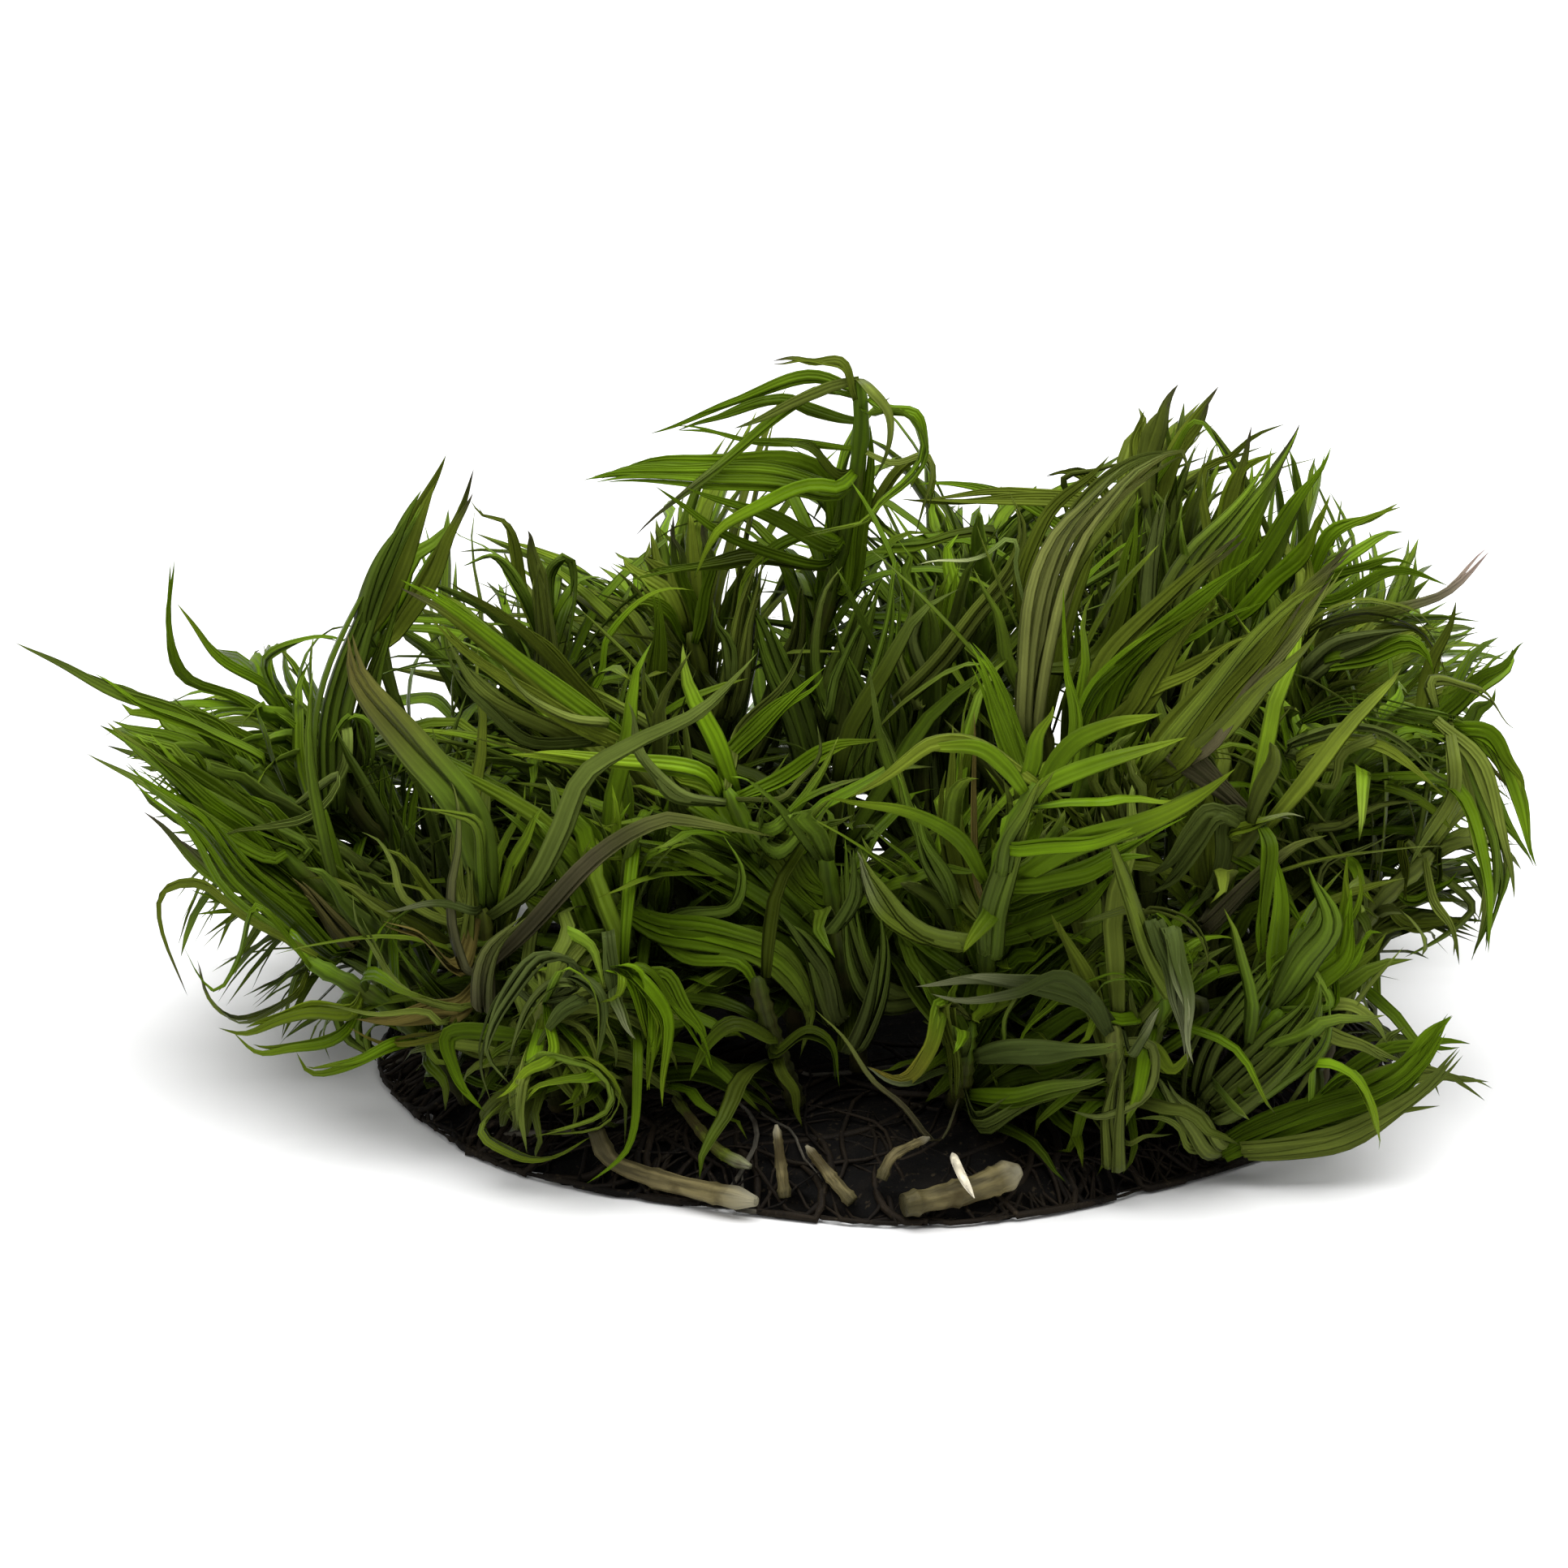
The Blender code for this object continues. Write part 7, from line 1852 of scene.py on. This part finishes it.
class POGOSTEMON_OT_bare_stems(Operator):
    """Model the cut stems, the stubs and the white root at the front of the foot"""

    bl_idname = "pogostemon.bare_stems"
    bl_label = "Cut stems and white root"

    def execute(self, context):
        settings = context.scene.pogostemon_roots
        leaf_settings = context.scene.pogostemon_leaves
        stem = cut_stem_pattern(16, 48, 0.75, 1.0)
        stub = cut_stem_pattern(12, 30, 0.85, 0.5)
        thread = root_pattern(8, 24)
        finish = bare_stem_material()
        white = root_material("root", 0.5, WHITE_ROOT)
        for name, slot, radius, points in BARE_STEMS:
            route = smooth_route(bare_route(radius, points), 3)
            pattern = thread if name == "root_white" else stub if name.startswith("stub") else stem
            colour = {"bare_stem": settings.cut_stem, "root": settings.young_root,
                      "leaf_dark": leaf_settings.olive}[slot]
            bundle = Bundle()
            places = bend(pattern, [resample(route, pattern.steps)], [radius * 0.85 * MM],
                          [Vector((0, 0, 1))], [0])
            bundle.add(pattern, places, mat_colours(pattern, 1, colour, (0.9, 1.1), name), 0)
            bundle.make("bare_" + name, name, (white if slot == "root" else finish,))
        return {"FINISHED"}


class POGOSTEMON_OT_stage(Operator):
    """Lay the floor and set the light and the camera"""

    bl_idname = "pogostemon.stage"
    bl_label = "Stage"

    def execute(self, context):
        settings = context.scene.pogostemon_stage
        make_floor(settings)
        make_lights(context.scene, settings)
        make_camera(context.scene, settings)
        return {"FINISHED"}


def make_floor(settings):
    """A wide pale floor."""
    deselect_all()
    bpy.ops.mesh.primitive_plane_add(size=8, location=(0, 0, 0))
    floor = bpy.context.active_object
    floor.name = "floor"
    material, tree, shader = new_material("floor", 0.9)
    place = tree.nodes.new("ShaderNodeTexCoord").outputs["Object"]
    cloud = add_noise(tree, place, 6.0, 2.0)
    level = add_range(tree, cloud, 0.3, 0.7, 0.99, 1.01)
    tree.links.new(add_mix(tree, 1.0, tuple(settings.floor), level, "MULTIPLY"), shader.inputs["Base Color"])
    floor.data.materials.append(material)


def make_lights(scene, settings):
    """Soft light: a wide one overhead, a weak one in front, and an even sky."""
    for name, place, size, power in (("key", (0.1, -0.05, 0.95), 1.5, settings.key_power),
                                     ("fill", (-0.5, -0.8, 0.5), 0.6, settings.fill_power)):
        light = bpy.data.lights.new(name, "AREA")
        light.shape = "DISK"
        light.size = size
        light.energy = power
        lamp = bpy.data.objects.new(name, light)
        lamp.location = place
        lamp.rotation_euler = (Vector((0, 0, 0.02)) - Vector(place)).to_track_quat("-Z", "Y").to_euler()
        scene.collection.objects.link(lamp)
    world = bpy.data.worlds.new("studio")
    world.use_nodes = True
    background = world.node_tree.nodes["Background"]
    background.inputs["Color"].default_value = (1, 1, 1, 1)
    background.inputs["Strength"].default_value = settings.sky
    scene.world = world
    scene.view_settings.view_transform = "Standard"


def make_camera(scene, settings):
    """The camera at the eye that the routes are told from."""
    camera = bpy.data.cameras.new("camera")
    camera.lens = settings.lens
    camera.sensor_width = 36
    camera.clip_start = 0.01
    camera.clip_end = 20
    holder = bpy.data.objects.new("camera", camera)
    holder.location = EYE * MM
    holder.rotation_euler = (seen(*AIM) * MM - EYE * MM).to_track_quat("-Z", "Y").to_euler()
    scene.collection.objects.link(holder)
    scene.camera = holder


class POGOSTEMON_PT_panel(Panel):
    """The clump's pieces in the sidebar"""

    bl_label = "Pogostemon clump"
    bl_idname = "POGOSTEMON_PT_panel"
    bl_space_type = "VIEW_3D"
    bl_region_type = "UI"
    bl_category = "Pogostemon"

    def draw(self, context):
        for operator in OPERATORS:
            self.layout.operator(operator.bl_idname)
        for group in (context.scene.pogostemon_leaves, context.scene.pogostemon_roots,
                      context.scene.pogostemon_stage):
            for name in group.__annotations__:
                self.layout.prop(group, name)


OPERATORS = (
    POGOSTEMON_OT_root_mat,
    POGOSTEMON_OT_leafy_shoots,
    POGOSTEMON_OT_bare_stems,
    POGOSTEMON_OT_stage,
)
SETTINGS = {
    "pogostemon_leaves": PogostemonLeaves,
    "pogostemon_roots": PogostemonRoots,
    "pogostemon_stage": PogostemonStage,
}


def register():
    """Register the classes and hang the settings on the scene."""
    for item in (*SETTINGS.values(), *OPERATORS, POGOSTEMON_PT_panel):
        bpy.utils.register_class(item)
    for name, group in SETTINGS.items():
        setattr(bpy.types.Scene, name, PointerProperty(type=group))


def unregister():
    """Take the settings and the classes away again."""
    for name in SETTINGS:
        delattr(bpy.types.Scene, name)
    for item in (POGOSTEMON_PT_panel, *reversed(OPERATORS), *reversed(SETTINGS.values())):
        bpy.utils.unregister_class(item)


def main():
    register()
    bpy.ops.pogostemon.root_mat()
    bpy.ops.pogostemon.leafy_shoots()
    bpy.ops.pogostemon.bare_stems()
    bpy.ops.pogostemon.stage()


if __name__ == "__main__":
    main()
